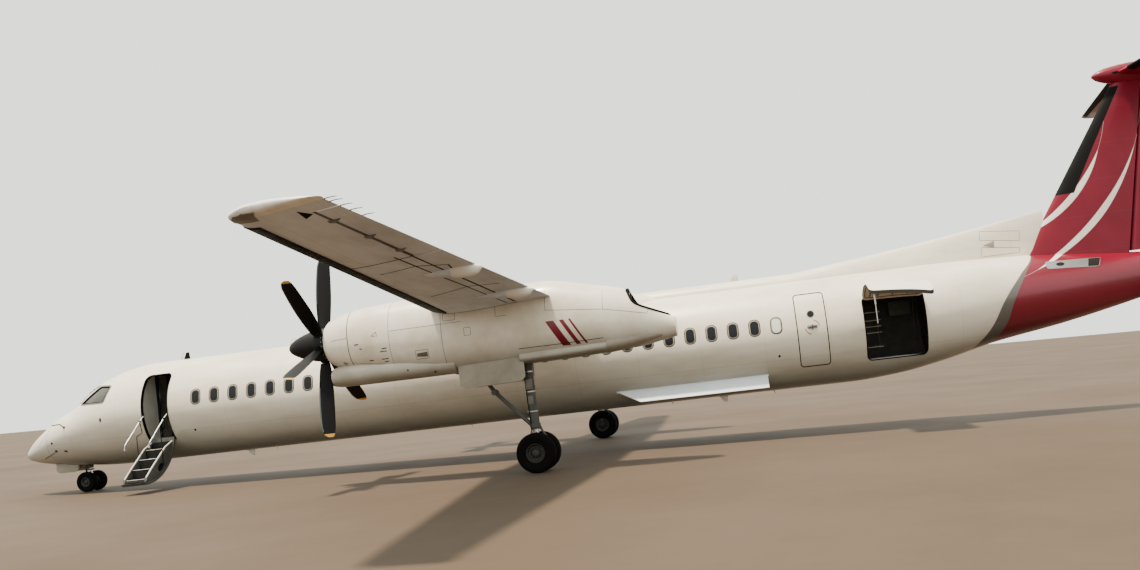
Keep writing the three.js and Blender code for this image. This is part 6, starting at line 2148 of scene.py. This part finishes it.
@dataclass
class MainGear:
    """Main gear under each nacelle: leg, drag brace, torque links, two wheels and two doors."""

    x: float = 4.395
    axle: Row = (4.395, 15.8, -1.934)
    pivot: Row = (15.74, 0.7)
    foot: Row = (15.792, -1.44)
    brace: tuple[Row, ...] = ((14.56, 0.11), (14.98, -0.56), (15.74, -1.38))
    half: float = 0.3997
    door: Outline = ((14.36, 0.3), (14.36, -0.33), (14.47, -0.405), (15.7, -0.38), (15.79, -0.3),
                     (15.79, 0.3))
    door_place: Row = (0.41, 0.434)

    def at(self, y: float, z: float, x: float = 0.0) -> Vector:
        """A point by its place aft, height and distance outboard of the leg."""
        return Vector((self.x + x, y, z))

    def pin(self, y: float, z: float, half: float, radius: float, sides: int, soft: float = 0.004) -> Piece:
        """A round pin across the leg's plane, from its place aft, height and half length."""
        return rod(self.at(y, z, -half), self.at(y, z, half), radius, sides, soft)

    def leg(self) -> None:
        """Builds the leg, its brace and links, and the small fittings on them."""
        top, foot = self.at(*self.pivot), self.at(*self.foot)
        along = (foot - top).normalized()
        parts = [rod(top, foot, 0.095, 36, 0.008), self.pin(*self.pivot, self.half, 0.07, 28)]
        for place, radius, tall in ((0.35, 0.108, 0.06), (1.2, 0.104, 0.05), (2.02, 0.112, 0.09)):
            start = top + along * place
            parts.append(rod(start, start + along * tall, radius, 36, 0.01))
        high, knee, low = [self.at(*place) for place in self.brace]
        parts += [rod(high, knee, 0.045, 24), rod(knee, low, 0.045, 24),
                  self.pin(*self.brace[0], self.half, 0.045, 20), self.pin(*self.brace[1], 0.09, 0.062, 24),
                  self.pin(*self.brace[2], 0.07, 0.06, 24)]
        # Fork at the brace's knee
        for side in (-0.062, 0.062):
            parts += [rod(knee + PORT * side, knee.lerp(end, 0.3), 0.022, 14) for end in (high, low)]
        y, z = self.axle[1], self.axle[2]
        parts.append(self.pin(y, z, 0.07, 0.088, 32, 0.01))
        # Torque links behind the leg: an upper and a lower arm that meet at a pin
        link = (y + 0.185, -1.6)
        for start in ((y + 0.09, -1.42), (y + 0.06, -1.73)):
            for side in (-0.034, 0.034):
                parts.append(tube([self.at(*start, side), self.at(*link, side * 0.4)], (0.02, 0.014), 12))
        parts += [self.pin(*link, 0.045, 0.022, 18),
                  box((self.x - 0.04, y - 0.02, -1.44), (self.x + 0.04, y + 0.12, -1.4), 0.01),
                  box((self.x - 0.04, y, -1.74), (self.x + 0.04, y + 0.09, -1.69), 0.01)]
        pair(joined(parts), "main_leg", Paintwork.GEAR, slot="gear_metal", replaces=["main_leg"])
        piston = rod(foot + along * -0.01, self.at(y, z + 0.05), 0.06, 32, 0.004)
        pair(piston, "main_piston", Paintwork.CHROME, slot="gear_metal")
        self.details(top, foot)

    def details(self, top: Vector, foot: Vector) -> None:
        """Builds hoses, clips, springs and cover panels on the leg."""
        hoses = []
        y = self.axle[1]
        for x, start, end in ((0.075, 0.1, 2.1), (-0.07, 0.2, 2.1), (0.03, 0.25, 2.06)):
            path = [top.lerp(foot, share / 2.14) + Vector((x, -0.085, 0)) for share in (start, 0.8, 1.5, end)]
            path += [self.at(y - 0.13, -1.58, x * 1.4), self.at(y - 0.11, -1.78, x * 1.7),
                     self.at(y - 0.05, -1.88, x * 1.5)]
            hoses.append(tube(curve(path, 5), 0.011, 8))
        pair(joined(hoses), "brake_hoses", Paintwork.HOSE)
        clips = []
        for share in (0.2, 0.42, 0.62, 0.82):
            spot = top.lerp(foot, share)
            clips.append(rod(spot - UP * 0.012, spot + UP * 0.012, 0.099, 36, 0.002))
            clips.append(box(spot + Vector((-0.085, -0.115, -0.01)), spot + Vector((0.085, -0.09, 0.01)),
                             0.003))
        pair(joined(clips), "hose_clips", Paintwork.ALUMINIUM, slot="bare_metal")
        # Grey boxes on the leg's outer face
        boxes = [box(self.at(15.7, -0.58, 0.09), self.at(15.84, -0.36, 0.15), 0.012),
                 box(self.at(15.72, -0.9, 0.09), self.at(15.82, -0.72, 0.13), 0.01)]
        pair(joined(boxes), "leg_boxes", Paintwork.FRAME)
        axle, brakes = Vector(self.axle), []
        # Half section of a brake, as distances from the leg's plane and radii
        section = ((0.05, 0.05), (0.05, 0.135), (0.08, 0.15), (0.11, 0.15), (0.11, 0.05))
        for side in (-1, 1):
            brakes.append(turned([(side * place, radius) for place, radius in section], axle, PORT, 40))
            for i in range(5):
                turn = math.tau * i / 5 + 0.3
                spot = axle + Vector((side * 0.075, 0.1 * math.cos(turn), 0.1 * math.sin(turn)))
                brakes.append(rod(spot, spot - PORT * (side * 0.03), 0.018, 16))
        pair(joined(brakes), "brake_housings", Paintwork.ENGINE)

    def wheels(self) -> None:
        """Builds both wheels on their axle."""
        wheel = Wheel(self.axle, 0.228, 0.427, 0.27, 0.205, 0.042, 0.2, 16, 24)
        body = Body.MAIN_WHEELS
        outer = wheel.tyres()
        inner = mirrored(outer, self.x)
        for name, tyre in (("main_tyre_outer", outer), ("main_tyre_inner", inner)):
            pair(tyre, name, Paintwork.RUBBER, body, "tyre_rubber", [name])
        pair(wheel.both_hubs(), "main_wheel_hub", None, body, "gear_metal", ["main_wheels"])
        pair(both(wheel.bolts(), self.x), "main_wheel_bolts", Paintwork.CHROME, body, "bare_metal")

    def doors(self) -> None:
        """Builds the two hanging doors beside the leg, with their hinges and links."""
        near, far = self.door_place
        outline = filleted(self.door, 0.015)
        skins = [NACELLE.shape(14.2, 15.95, 0.35, 96, -0.005), SCOOP.shape(13.2, 14.3, 0.55, 72, -0.005)]
        door = softened(outward(across(outline, self.x + near, self.x + far)), 0.004)
        cut(painted(door, Paintwork.DOOR), [painted(skin, Paintwork.SEALANT) for skin in skins])
        inner = mirrored(door, self.x)
        for name, panel in (("gear_door_outer", door), ("gear_door_inner", inner)):
            pair(panel, name, None, slot="fuselage_paint", replaces=[name])
        left, right = self.x + near - 0.018, self.x + near + 0.002
        ribs = [box((left, 14.42, z), (right, 15.68, z + 0.03), 0.004) for z in (-0.33, -0.16)]
        ribs += [box((left, y, -0.36), (right, y + 0.03, -0.08), 0.004) for y in (14.5, 15.0, 15.5)]
        for y in (14.6, 15.1, 15.55):
            path = (self.at(y, -0.05, near - 0.004), self.at(y, 0.08, near - 0.01), self.at(y, 0.12, 0.37))
            ribs.append(tube(bent(path, 0.04), 0.016, 10))
        link = rod(self.at(15.62, -0.12, near), self.at(15.64, 0.05, 0.05), 0.013, 12)
        pair(both(joined(ribs), self.x), "gear_door_ribs", Paintwork.PRIMER)
        pair(both(link, self.x), "gear_door_links", Paintwork.GEAR, slot="gear_metal")

    def build(self) -> None:
        """Builds both main gears."""
        self.leg()
        self.wheels()
        self.doors()


@dataclass
class NoseGear:
    """Nose gear: leg, brace, steered fork with a towing face, two wheels and two doors."""

    y: float = 1.864
    axle: Row = (0.0, 1.864, -1.7155)
    trunnion: float = -0.7
    bottom: float = -1.345
    half: float = 0.2347
    door: Outline = ((1.01, -1.0), (1.01, -1.33), (1.08, -1.4), (1.62, -1.405), (1.69, -1.33), (1.69, -1.0))
    door_place: Row = (0.238, 0.256)

    def leg(self) -> None:
        """Builds the fixed leg and its brace."""
        y, top, bottom = self.y, self.trunnion, self.bottom
        sleeve = turned([(bottom, 0.052), (bottom, 0.066), (bottom + 0.006, 0.07), (bottom + 0.09, 0.074),
                         (bottom + 0.1, 0.07), (top, 0.07), (top, 0.0), (bottom + 0.13, 0.0),
                         (bottom + 0.13, 0.052)], Vector((0, y, 0)), UP, 36)
        ahead, level = y - 0.62, bottom + 0.19
        parts = [sleeve, rod((-self.half, y, top), (self.half, y, top), 0.048, 24),
                 rod((0, ahead, -0.72), (0, y - 0.04, level), 0.034, 24),
                 rod((-self.half, ahead, -0.72), (self.half, ahead, -0.72), 0.038, 20),
                 rod((-0.06, y - 0.06, level), (0.06, y - 0.06, level), 0.03, 18)]
        for side in (-1, 1):
            parts.append(rod((side * 0.19, ahead, -0.72), (0, y - 0.3, -0.95), 0.02, 14))
        settle(joined(parts), "nose_leg", Paintwork.GEAR, slot="gear_metal", replaces=["nose_leg"])
        paths = [((x, y + 0.075, -0.75), (x, y + 0.08, -1.0), (x * 1.3, y + 0.1, -1.25))
                 for x in (-0.035, 0.035)]
        hoses = [tube(curve(path, 6), 0.009, 8) for path in paths]
        settle(joined(hoses), "nose_hoses", Paintwork.HOSE)
        lens = ((0, 0), (0, 0.05), (0.02, 0.062), (0.035, 0.064), (0.036, 0.0))
        case = ((-0.05, 0), (-0.04, 0.04), (-0.002, 0.056), (-0.002, 0))
        places = [Vector((x, y - 0.16, -1.13)) for x in (-0.085, 0.085)]
        lamps = [turned(lens, place, -AFT, 28) for place in places]
        settle(joined(lamps), "taxi_lamps", Paintwork.LAMP, slot="lamp_glass")
        mounts = [box((-0.1, y - 0.16, -1.145), (0.1, y - 0.06, -1.115), 0.006)]
        mounts += [turned(case, place, -AFT, 24) for place in places]
        settle(joined(mounts), "taxi_lamp_cases", Paintwork.GEAR)

    def fork(self) -> None:
        """Builds the steered fork: collar, sliding leg, links and the towing face."""
        y, z, bottom = self.y, self.axle[2], self.bottom
        body = Body.NOSE_FORK.value
        parts = [rod((0, y, bottom - 0.06), (0, y, bottom - 0.02), 0.084, 36, 0.006),
                 rod((-0.08, y, z), (0.08, y, z), 0.062, 32, 0.008),
                 box((-0.034, y - 0.15, bottom - 0.06), (0.034, y - 0.02, bottom - 0.024), 0.008),
                 box((-0.034, y - 0.14, z + 0.006), (0.034, y - 0.02, z + 0.05), 0.008),
                 box((-0.042, y - 0.128, z - 0.04), (0.042, y - 0.04, z + 0.03), 0.012)]
        # Torque links ahead of the leg that meet at a pin
        link = (y - 0.15, (z + bottom) / 2)
        for start in ((y - 0.14, bottom - 0.045), (y - 0.13, z + 0.03)):
            for x in (-0.022, 0.022):
                parts.append(tube([(x, *start), (x * 0.5, *link)], (0.016, 0.011), 12))
        parts.append(rod((-0.034, *link), (0.034, *link), 0.016, 18))
        settle(joined(parts), "nose_fork", Paintwork.GEAR, body, "gear_metal", ["nose_fork"])
        piston = rod((0, y, bottom + 0.1), (0, y, z), 0.046, 28, 0.003)
        settle(piston, "nose_piston", Paintwork.CHROME, body, "gear_metal")

    def wheels(self) -> None:
        """Builds both nose wheels."""
        wheel = Wheel(self.axle, 0.205, 0.278, 0.165, 0.132, 0.03, 0.18, 10, 20)
        body = Body.NOSE_WHEELS.value
        port = wheel.tyres()
        starboard = mirrored(port)
        for name, tyre in (("nose_tyre_port", port), ("nose_tyre_starboard", starboard)):
            settle(tyre, name, Paintwork.RUBBER, body, "tyre_rubber", [name])
        settle(wheel.both_hubs(), "nose_wheel_hub", None, body, "gear_metal", ["nose_wheels"])
        settle(both(wheel.bolts()), "nose_wheel_bolts", Paintwork.CHROME, body, "bare_metal")

    def doors(self) -> None:
        """Builds the nose gear's two hanging doors with their ribs and hinges."""
        near, far = self.door_place
        door = softened(outward(across(filleted(self.door, 0.05), near, far)), 0.003)
        skin = HULL.shape(0.8, 2.1, 0.1, SIDES, -0.005)
        cut(painted(door, Paintwork.DOOR), [painted(skin, Paintwork.SEALANT)])
        pair(door, "nose_gear_door", None, slot="fuselage_paint", replaces=["nose_gear_door"])
        ribs = [box((near - 0.014, 1.08, -1.34), (near + 0.002, 1.62, -1.32), 0.003)]
        ribs += [box((near - 0.014, y, -1.37), (near + 0.002, y + 0.02, -1.24), 0.003)
                 for y in (1.15, 1.35, 1.55)]
        for y in (1.2, 1.5):
            path = ((near - 0.004, y, -1.2), (near - 0.012, y, -1.1), (0.2, y, -1.05))
            ribs.append(tube(bent(path, 0.03), 0.01, 8))
        settle(both(joined(ribs)), "nose_gear_door_ribs", Paintwork.PRIMER)

    def build(self) -> None:
        """Builds the nose gear."""
        self.leg()
        self.fork()
        self.wheels()
        self.doors()


FIN = Panel((0.9, 27.24, 0.0, 31.74, 0.0, 0.42, 0.0), (5.2, 30.01, 0.0, 32.18, 0.0, 0.225, 0.0), True)
TAILPLANE = Panel((0.0, 30.08, 5.375, 32.48, 5.375, 0.25, 0.0),
                  (4.635, 30.87, 5.395, 32.25, 5.395, 0.135, 0.0))
BULLET = Hull((
    (29.56, 5.42, 5.36, 5.39, 0.03), (29.64, 5.48, 5.29, 5.39, 0.095), (29.9, 5.565, 5.19, 5.385, 0.165),
    (30.5, 5.625, 5.105, 5.37, 0.225), (31.3, 5.63, 5.11, 5.37, 0.235), (32.2, 5.56, 5.235, 5.395, 0.15),
    (32.83, 5.445, 5.385, 5.415, 0.028),
))


@dataclass
class Tail:
    """Fin with its two rudders in line, tailplane with its elevators, and their small fittings."""

    fore_hinge: Row = (30.0, 30.72)
    aft_hinge: Row = (30.94, 31.5)
    rudder: Row = (1.06, 5.01)
    between: float = 0.095
    elevator: Row = (0.29, 4.6)
    elevator_hinge: float = 0.6
    free: float = 0.012
    boot: Row = (2.62, 5.08)

    def line(self, ends: Row) -> Callable[[float], float]:
        """The fin's chord fraction on a hinge line, by share of the fin's height."""
        def found(share: float) -> float:
            """The chord fraction at a share."""
            height = FIN.root[0] + (FIN.tip[0] - FIN.root[0]) * share
            along_line = (height - self.rudder[0]) / (self.rudder[1] - self.rudder[0])
            place = ends[0] + (ends[1] - ends[0]) * along_line
            lead, trail = FIN.at(share, 0, 0).y, FIN.at(share, 1, 0).y
            return (place - lead) / (trail - lead)

        return found

    def surface(self, start: Callable[[float], float], end: Callable[[float], float]) -> Piece:
        """A rudder between two lines, with a round nose."""
        low, high = self.rudder
        stations = [(height, FIN.share(height)) for height in between(low, high, 8)]
        return loft([FIN.ring(height, start(share), end(share), 12, True) for height, share in stations])

    def fin(self) -> None:
        """Builds the fin, its boot and both rudders."""
        fore, aft = self.line(self.fore_hinge), self.line(self.aft_hinge)
        fin = painted(outward(FIN.shape([0.9 + 0.43 * i for i in range(11)], count=28)), Paintwork.TAIL)
        bay = FIN.space(0.88, 5.22, fore, lambda share: FIN.depth(share, fore(share)) + self.free + 0.002)
        cut(fin, [painted(bay, Paintwork.SEALANT)])
        settle(fin, "fin", None, slot="tail_paint", replaces=["fin"])
        trailing = self.line([place - self.between for place in self.aft_hinge])
        for name, surface, body in (("rudder_fore", self.surface(fore, trailing), Body.RUDDER_FORE),
                                    ("rudder_aft", self.surface(aft, lambda share: 1.0), Body.RUDDER_AFT)):
            settle(surface, name, Paintwork.TAIL, body.value, "tail_paint", [name])
        skin = FIN.wrapped(0.003, 0.006)
        boot = loft([skin.ring(span, end=0.115 - 0.03 * i / 6, count=12)
                     for i, span in enumerate(between(*self.boot, 6))])
        settle(boot, "fin_boot", Paintwork.BOOT, slot="seal_rubber")
        corners = [Vector((0.105, y, z)) for y, z in ((30.93, 5.0), (30.7, 4.62), (30.77, 4.6), (31.0, 4.86))]
        settle(both(slab(corners, PORT * 0.02, 0.006)), "rudder_teeth", Paintwork.SEAL)
        brackets = []
        for level in (1.7, 3.0, 4.3):
            spot = FIN.at(FIN.share(level), aft(FIN.share(level)), 1)
            brackets.append(box((spot.x - 0.01, spot.y - 0.13, level - 0.02),
                                (spot.x + 0.012, spot.y - 0.03, level + 0.02), 0.006))
        settle(both(joined(brackets)), "rudder_brackets", Paintwork.TAIL, Body.RUDDER_FORE.value,
               "tail_paint")

    def tailplane(self) -> None:
        """Builds the tailplane, its bullet fairing, boots and elevators."""
        rings = [TAILPLANE.ring(span, count=22) for span in (0.0, 2.3, 4.55)]
        last, middle = TAILPLANE.ring(4.55, count=22), TAILPLANE.at(TAILPLANE.share(4.55), 0.5, 0)
        for out, length, depth in ((0.03, 0.985, 0.9), (0.055, 0.95, 0.72), (0.075, 0.88, 0.45),
                                   (0.084, 0.78, 0.15)):
            rings.append(tipped(last, middle, out, length, depth, 0.4))
        half = painted(outward(loft(rings)), Paintwork.TAILPLANE)
        start, end = self.elevator
        hinge = self.elevator_hinge
        bay = TAILPLANE.space(start - 0.01, end + 0.2, lambda share: hinge,
                              lambda share: TAILPLANE.depth(share, hinge) + self.free)
        cut(half, [painted(bay, Paintwork.SEALANT)])
        bullet = painted(outward(BULLET.shape(29.56, 32.83, 0.09, 64)), Paintwork.TAILPLANE)
        settle(joined([both(half), bullet]), "tailplane", None, slot="tail_paint", replaces=["tailplane"])
        elevator = TAILPLANE.shape(between(start, end, 4), start=hinge, count=14, nose=True)
        pair(elevator, "elevator", Paintwork.TAILPLANE, Body.ELEVATOR, "tail_paint", ["elevator"])
        boots = TAILPLANE.wrapped(0.003, 0.006).shape((0.55, 4.3), end=0.075, count=10)
        settle(both(boots), "tailplane_boots", Paintwork.BOOT, slot="seal_rubber")
        starts = [TAILPLANE.at(TAILPLANE.share(span), 0.99, 0) for span in (3.2, 3.9, 4.4)]
        wicks = [tube([start, start + AFT * 0.1, start + Vector((0, 0.22, 0.004))], (0.006, 0.005, 0.003), 8)
                 for start in starts]
        pair(joined(wicks), "elevator_wicks", Paintwork.HOSE, Body.ELEVATOR)

    def fittings(self) -> None:
        """Builds the bullet's ports, joints and lamp, and the plates of the tail's exhaust."""
        settle(both(plate(BULLET.side, oval(30.05, 5.38, 0.085, 0.03, 24), 0.0015)), "bullet_ports",
               Paintwork.SEAL)
        line = strip(BULLET.side, ((29.75, 5.33), (32.6, 5.4)), 0.008, 0.0012, 0.1)
        belt = hoop(BULLET.ring(30.2, 48), Vector((0, 30.2, 5.38)), 0.008, 0.0012)
        settle(joined([both(line), belt]), "bullet_joints", Paintwork.SEALANT)
        lamp = turned([(0.0, 0.0), (0.0, 0.026), (0.02, 0.024), (0.034, 0.014), (0.04, 0.0)],
                      Vector((0, 32.8, 5.415)), AFT, 24)
        settle(lamp, "tail_lamp", Paintwork.LAMP, slot="lamp_glass")
        base = filleted([(27.742, 0.817), (28.964, 0.741), (29.08, 0.963), (27.74, 1.0)], 0.05)
        screen = filleted([(28.7, 0.77), (28.95, 0.755), (29.06, 0.95), (28.78, 0.96)], 0.02)
        for name, outline, lift, finish, slot in (
                ("auxiliary_exhaust_plates", dense(base, ON_SKIN), 0.006, Paintwork.ALUMINIUM, "bare_metal"),
                ("auxiliary_exhausts", oval(28.08, 0.9, 0.1, 0.045, 24), 0.009, Paintwork.SOOT, None),
                ("exhaust_screens", dense(screen, ON_SKIN), 0.008, Paintwork.SOOT, None)):
            settle(both(plate(HULL.side, outline, lift)), name, finish, slot=slot)

    def build(self) -> None:
        """Builds the tail."""
        self.fin()
        self.tailplane()
        self.fittings()


@dataclass
class Fittings:
    """Small pieces on the outside of the fuselage."""

    radome: float = 1.28
    # Place aft where the dorsal ridge carries what stands on top
    ridge: float = 17.0
    # Columns: place aft, length at the foot, height, thickness
    masts: tuple[Row, ...] = ((4.88, 0.07, 0.23, 0.014), (4.99, 0.2, 0.2, 0.014), (8.1, 0.26, 0.22, 0.016),
                              (20.2, 0.24, 0.2, 0.016))
    dark_mast: int = 1

    def spot(self, place: float, height: float, wide: float, tall: float | None = None) -> Piece:
        """A small round or oval plate on the hull, from its half width and half height."""
        return plate(HULL.side, oval(place, height, wide, tall, 16), 0.0015)

    def nose(self) -> None:
        """Builds the radome's joint, the nose's ports and its probes."""
        ring = HULL.ring(self.radome, 96)
        joint = hoop(ring, Vector((0, self.radome, -0.5)), 0.008, 0.001)
        latch = strip(HULL.side, ((1.24, -0.3), (0.96, -0.5), (0.86, -0.62), (0.88, -0.78), (1.0, -0.93)),
                      0.008, 0.001)
        settle(joined([joint, both(latch)]), "nose_joints", Paintwork.SEALANT)
        ports = [self.spot(1.49, -0.54, 0.035), self.spot(1.9, -0.8, 0.03),
                 self.spot(1.86, -0.79, 0.042, 0.021), self.spot(3.285, -0.07, 0.03, 0.06),
                 self.spot(5.889, -0.621, 0.03)]
        settle(both(joined(ports)), "nose_ports", Paintwork.SEAL)
        probes = []
        for place, height, lean in ((1.995, -0.15, 0.07), (1.56, -0.76, -0.03)):
            root, out = HULL.side(place, height), facing(HULL.side, place, height)
            knee = root + out * 0.09 + Vector((0, -0.02, lean))
            ahead = knee + Vector((0, -0.24, -0.01 if lean > 0 else -0.1))
            probes += [tube(bent((root - out * 0.02, root + out * 0.02, knee, ahead), 0.03), 0.015, 12),
                       rod(root - out * 0.004, root + out * 0.008, 0.04, 20, 0.002)]
        settle(both(joined(probes)), "nose_probes", Paintwork.PROBE, slot="bare_metal")

    def antennas(self) -> None:
        """Builds the antennas, beacon and drains along the top and bottom."""
        pale, dark = [], []
        for i, (place, run, tall, thick) in enumerate(self.masts):
            base = 1.335 if place < self.ridge else 1.535
            lean = 0.11 if run < 0.1 else run * 0.45
            outline = [(place, base), (place + run, base), (place + lean + run * 0.45, base + tall),
                       (place + lean, base + tall)]
            blade = softened(outward(across(filleted(outline, 0.02), -thick / 2, thick / 2)), 0.005)
            foot = box((-0.035, place - 0.03, base - 0.02), (0.035, place + run + 0.03, base + 0.014), 0.008)
            group = dark if i == self.dark_mast else pale
            group += [blade, foot]
        settle(joined(pale), "antennas", Paintwork.WHITE)
        settle(joined(dark), "antenna_dark", Paintwork.SEAL)
        below, run = [], 0.22
        for place in (6.6, 19.6):
            outline = [(place, -1.34), (place + run, -1.34), (place + run * 0.95, -1.5),
                       (place + run * 0.55, -1.5)]
            below += [softened(outward(across(filleted(outline, 0.02), -0.008, 0.008)), 0.004),
                      box((-0.03, place - 0.03, -1.352), (0.03, place + run + 0.03, -1.33), 0.006)]
        for place, x in ((7.6, 0.25), (12.9, -0.3), (18.4, 0.28), (21.0, -0.2)):
            foot = HULL.at(place, x / RADIUS - math.pi / 2)
            path = [foot, foot - UP * 0.05, foot - Vector((0, -0.03, 0.09))]
            below.append(tube(path, (0.016, 0.014, 0.008), 12))
        settle(joined(below), "belly_antennas", Paintwork.WHITE)
        lamp = turned([(0, 0.045), (0.02, 0.045), (0.05, 0.034), (0.066, 0.014), (0.07, 0.0), (0, 0.0)],
                      Vector((0, 13.2, 1.605)), UP, 28)
        settle(lamp, "beacon", Paintwork.RED_LAMP, slot="lamp_glass")

    def panels(self) -> None:
        """Builds the outlines of the hatches on the ridge, its vents and the static ports."""
        lines = []
        for hatch in (((26.42, 1.76), (27.36, 1.63), (27.4, 1.88), (26.45, 1.99)),
                      ((26.4, 1.34), (27.32, 1.34), (27.35, 1.47), (26.43, 1.58))):
            edges = [(lift, shrunk(dense(hatch, ON_SKIN), inset))
                     for lift, inset in ((-0.004, 0), (0.0012, 0), (0.0012, 0.008), (-0.004, 0.008))]
            lines.append(loft([[self.on_ridge(y, z) + PORT * lift for y, z in outline]
                               for lift, outline in edges], closed=True))
        settle(both(joined(lines)), "hatch_joints", Paintwork.SEALANT)
        vent = [self.on_ridge(y, z) for y, z in ((26.48, 1.62), (26.74, 1.53), (26.76, 1.71))]
        settle(both(slab([place - PORT * 0.02 for place in vent], PORT * 0.026, 0.003)), "ridge_vents",
               Paintwork.RIM)
        settle(both(self.spot(21.2, -0.5, 0.03)), "static_ports", Paintwork.SEAL)

    def on_ridge(self, place: float, height: float) -> Vector:
        """A point of the ridge's port side."""
        top, half = smooth(Fairings.ridge_rows, place)
        base, power = Fairings.ridge_base, Fairings.ridge_power
        rise = min(1.0, max(0.0, (height - base) / (top - base))) ** (power / 2)
        return Vector((half * math.cos(math.asin(rise)) ** (2 / power), place, height))

    def build(self) -> None:
        """Builds all of the small pieces."""
        self.nose()
        self.antennas()
        self.panels()


def main() -> None:
    """Builds the scene in order."""
    logging.basicConfig(level=logging.INFO, format="%(name)s: %(message)s")
    studio = Studio()
    studio.camera()
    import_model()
    for assembly in (Fuselage(), Airstair(), BaggageDoor(), Wing(), Fairings(), Nacelle(), Propeller(),
                     MainGear(), NoseGear(), Tail(), Fittings()):
        assembly.build()
        log.info("%s done", type(assembly).__name__)
    studio.light()
    studio.floor()


if __name__ == "__main__":
    main()
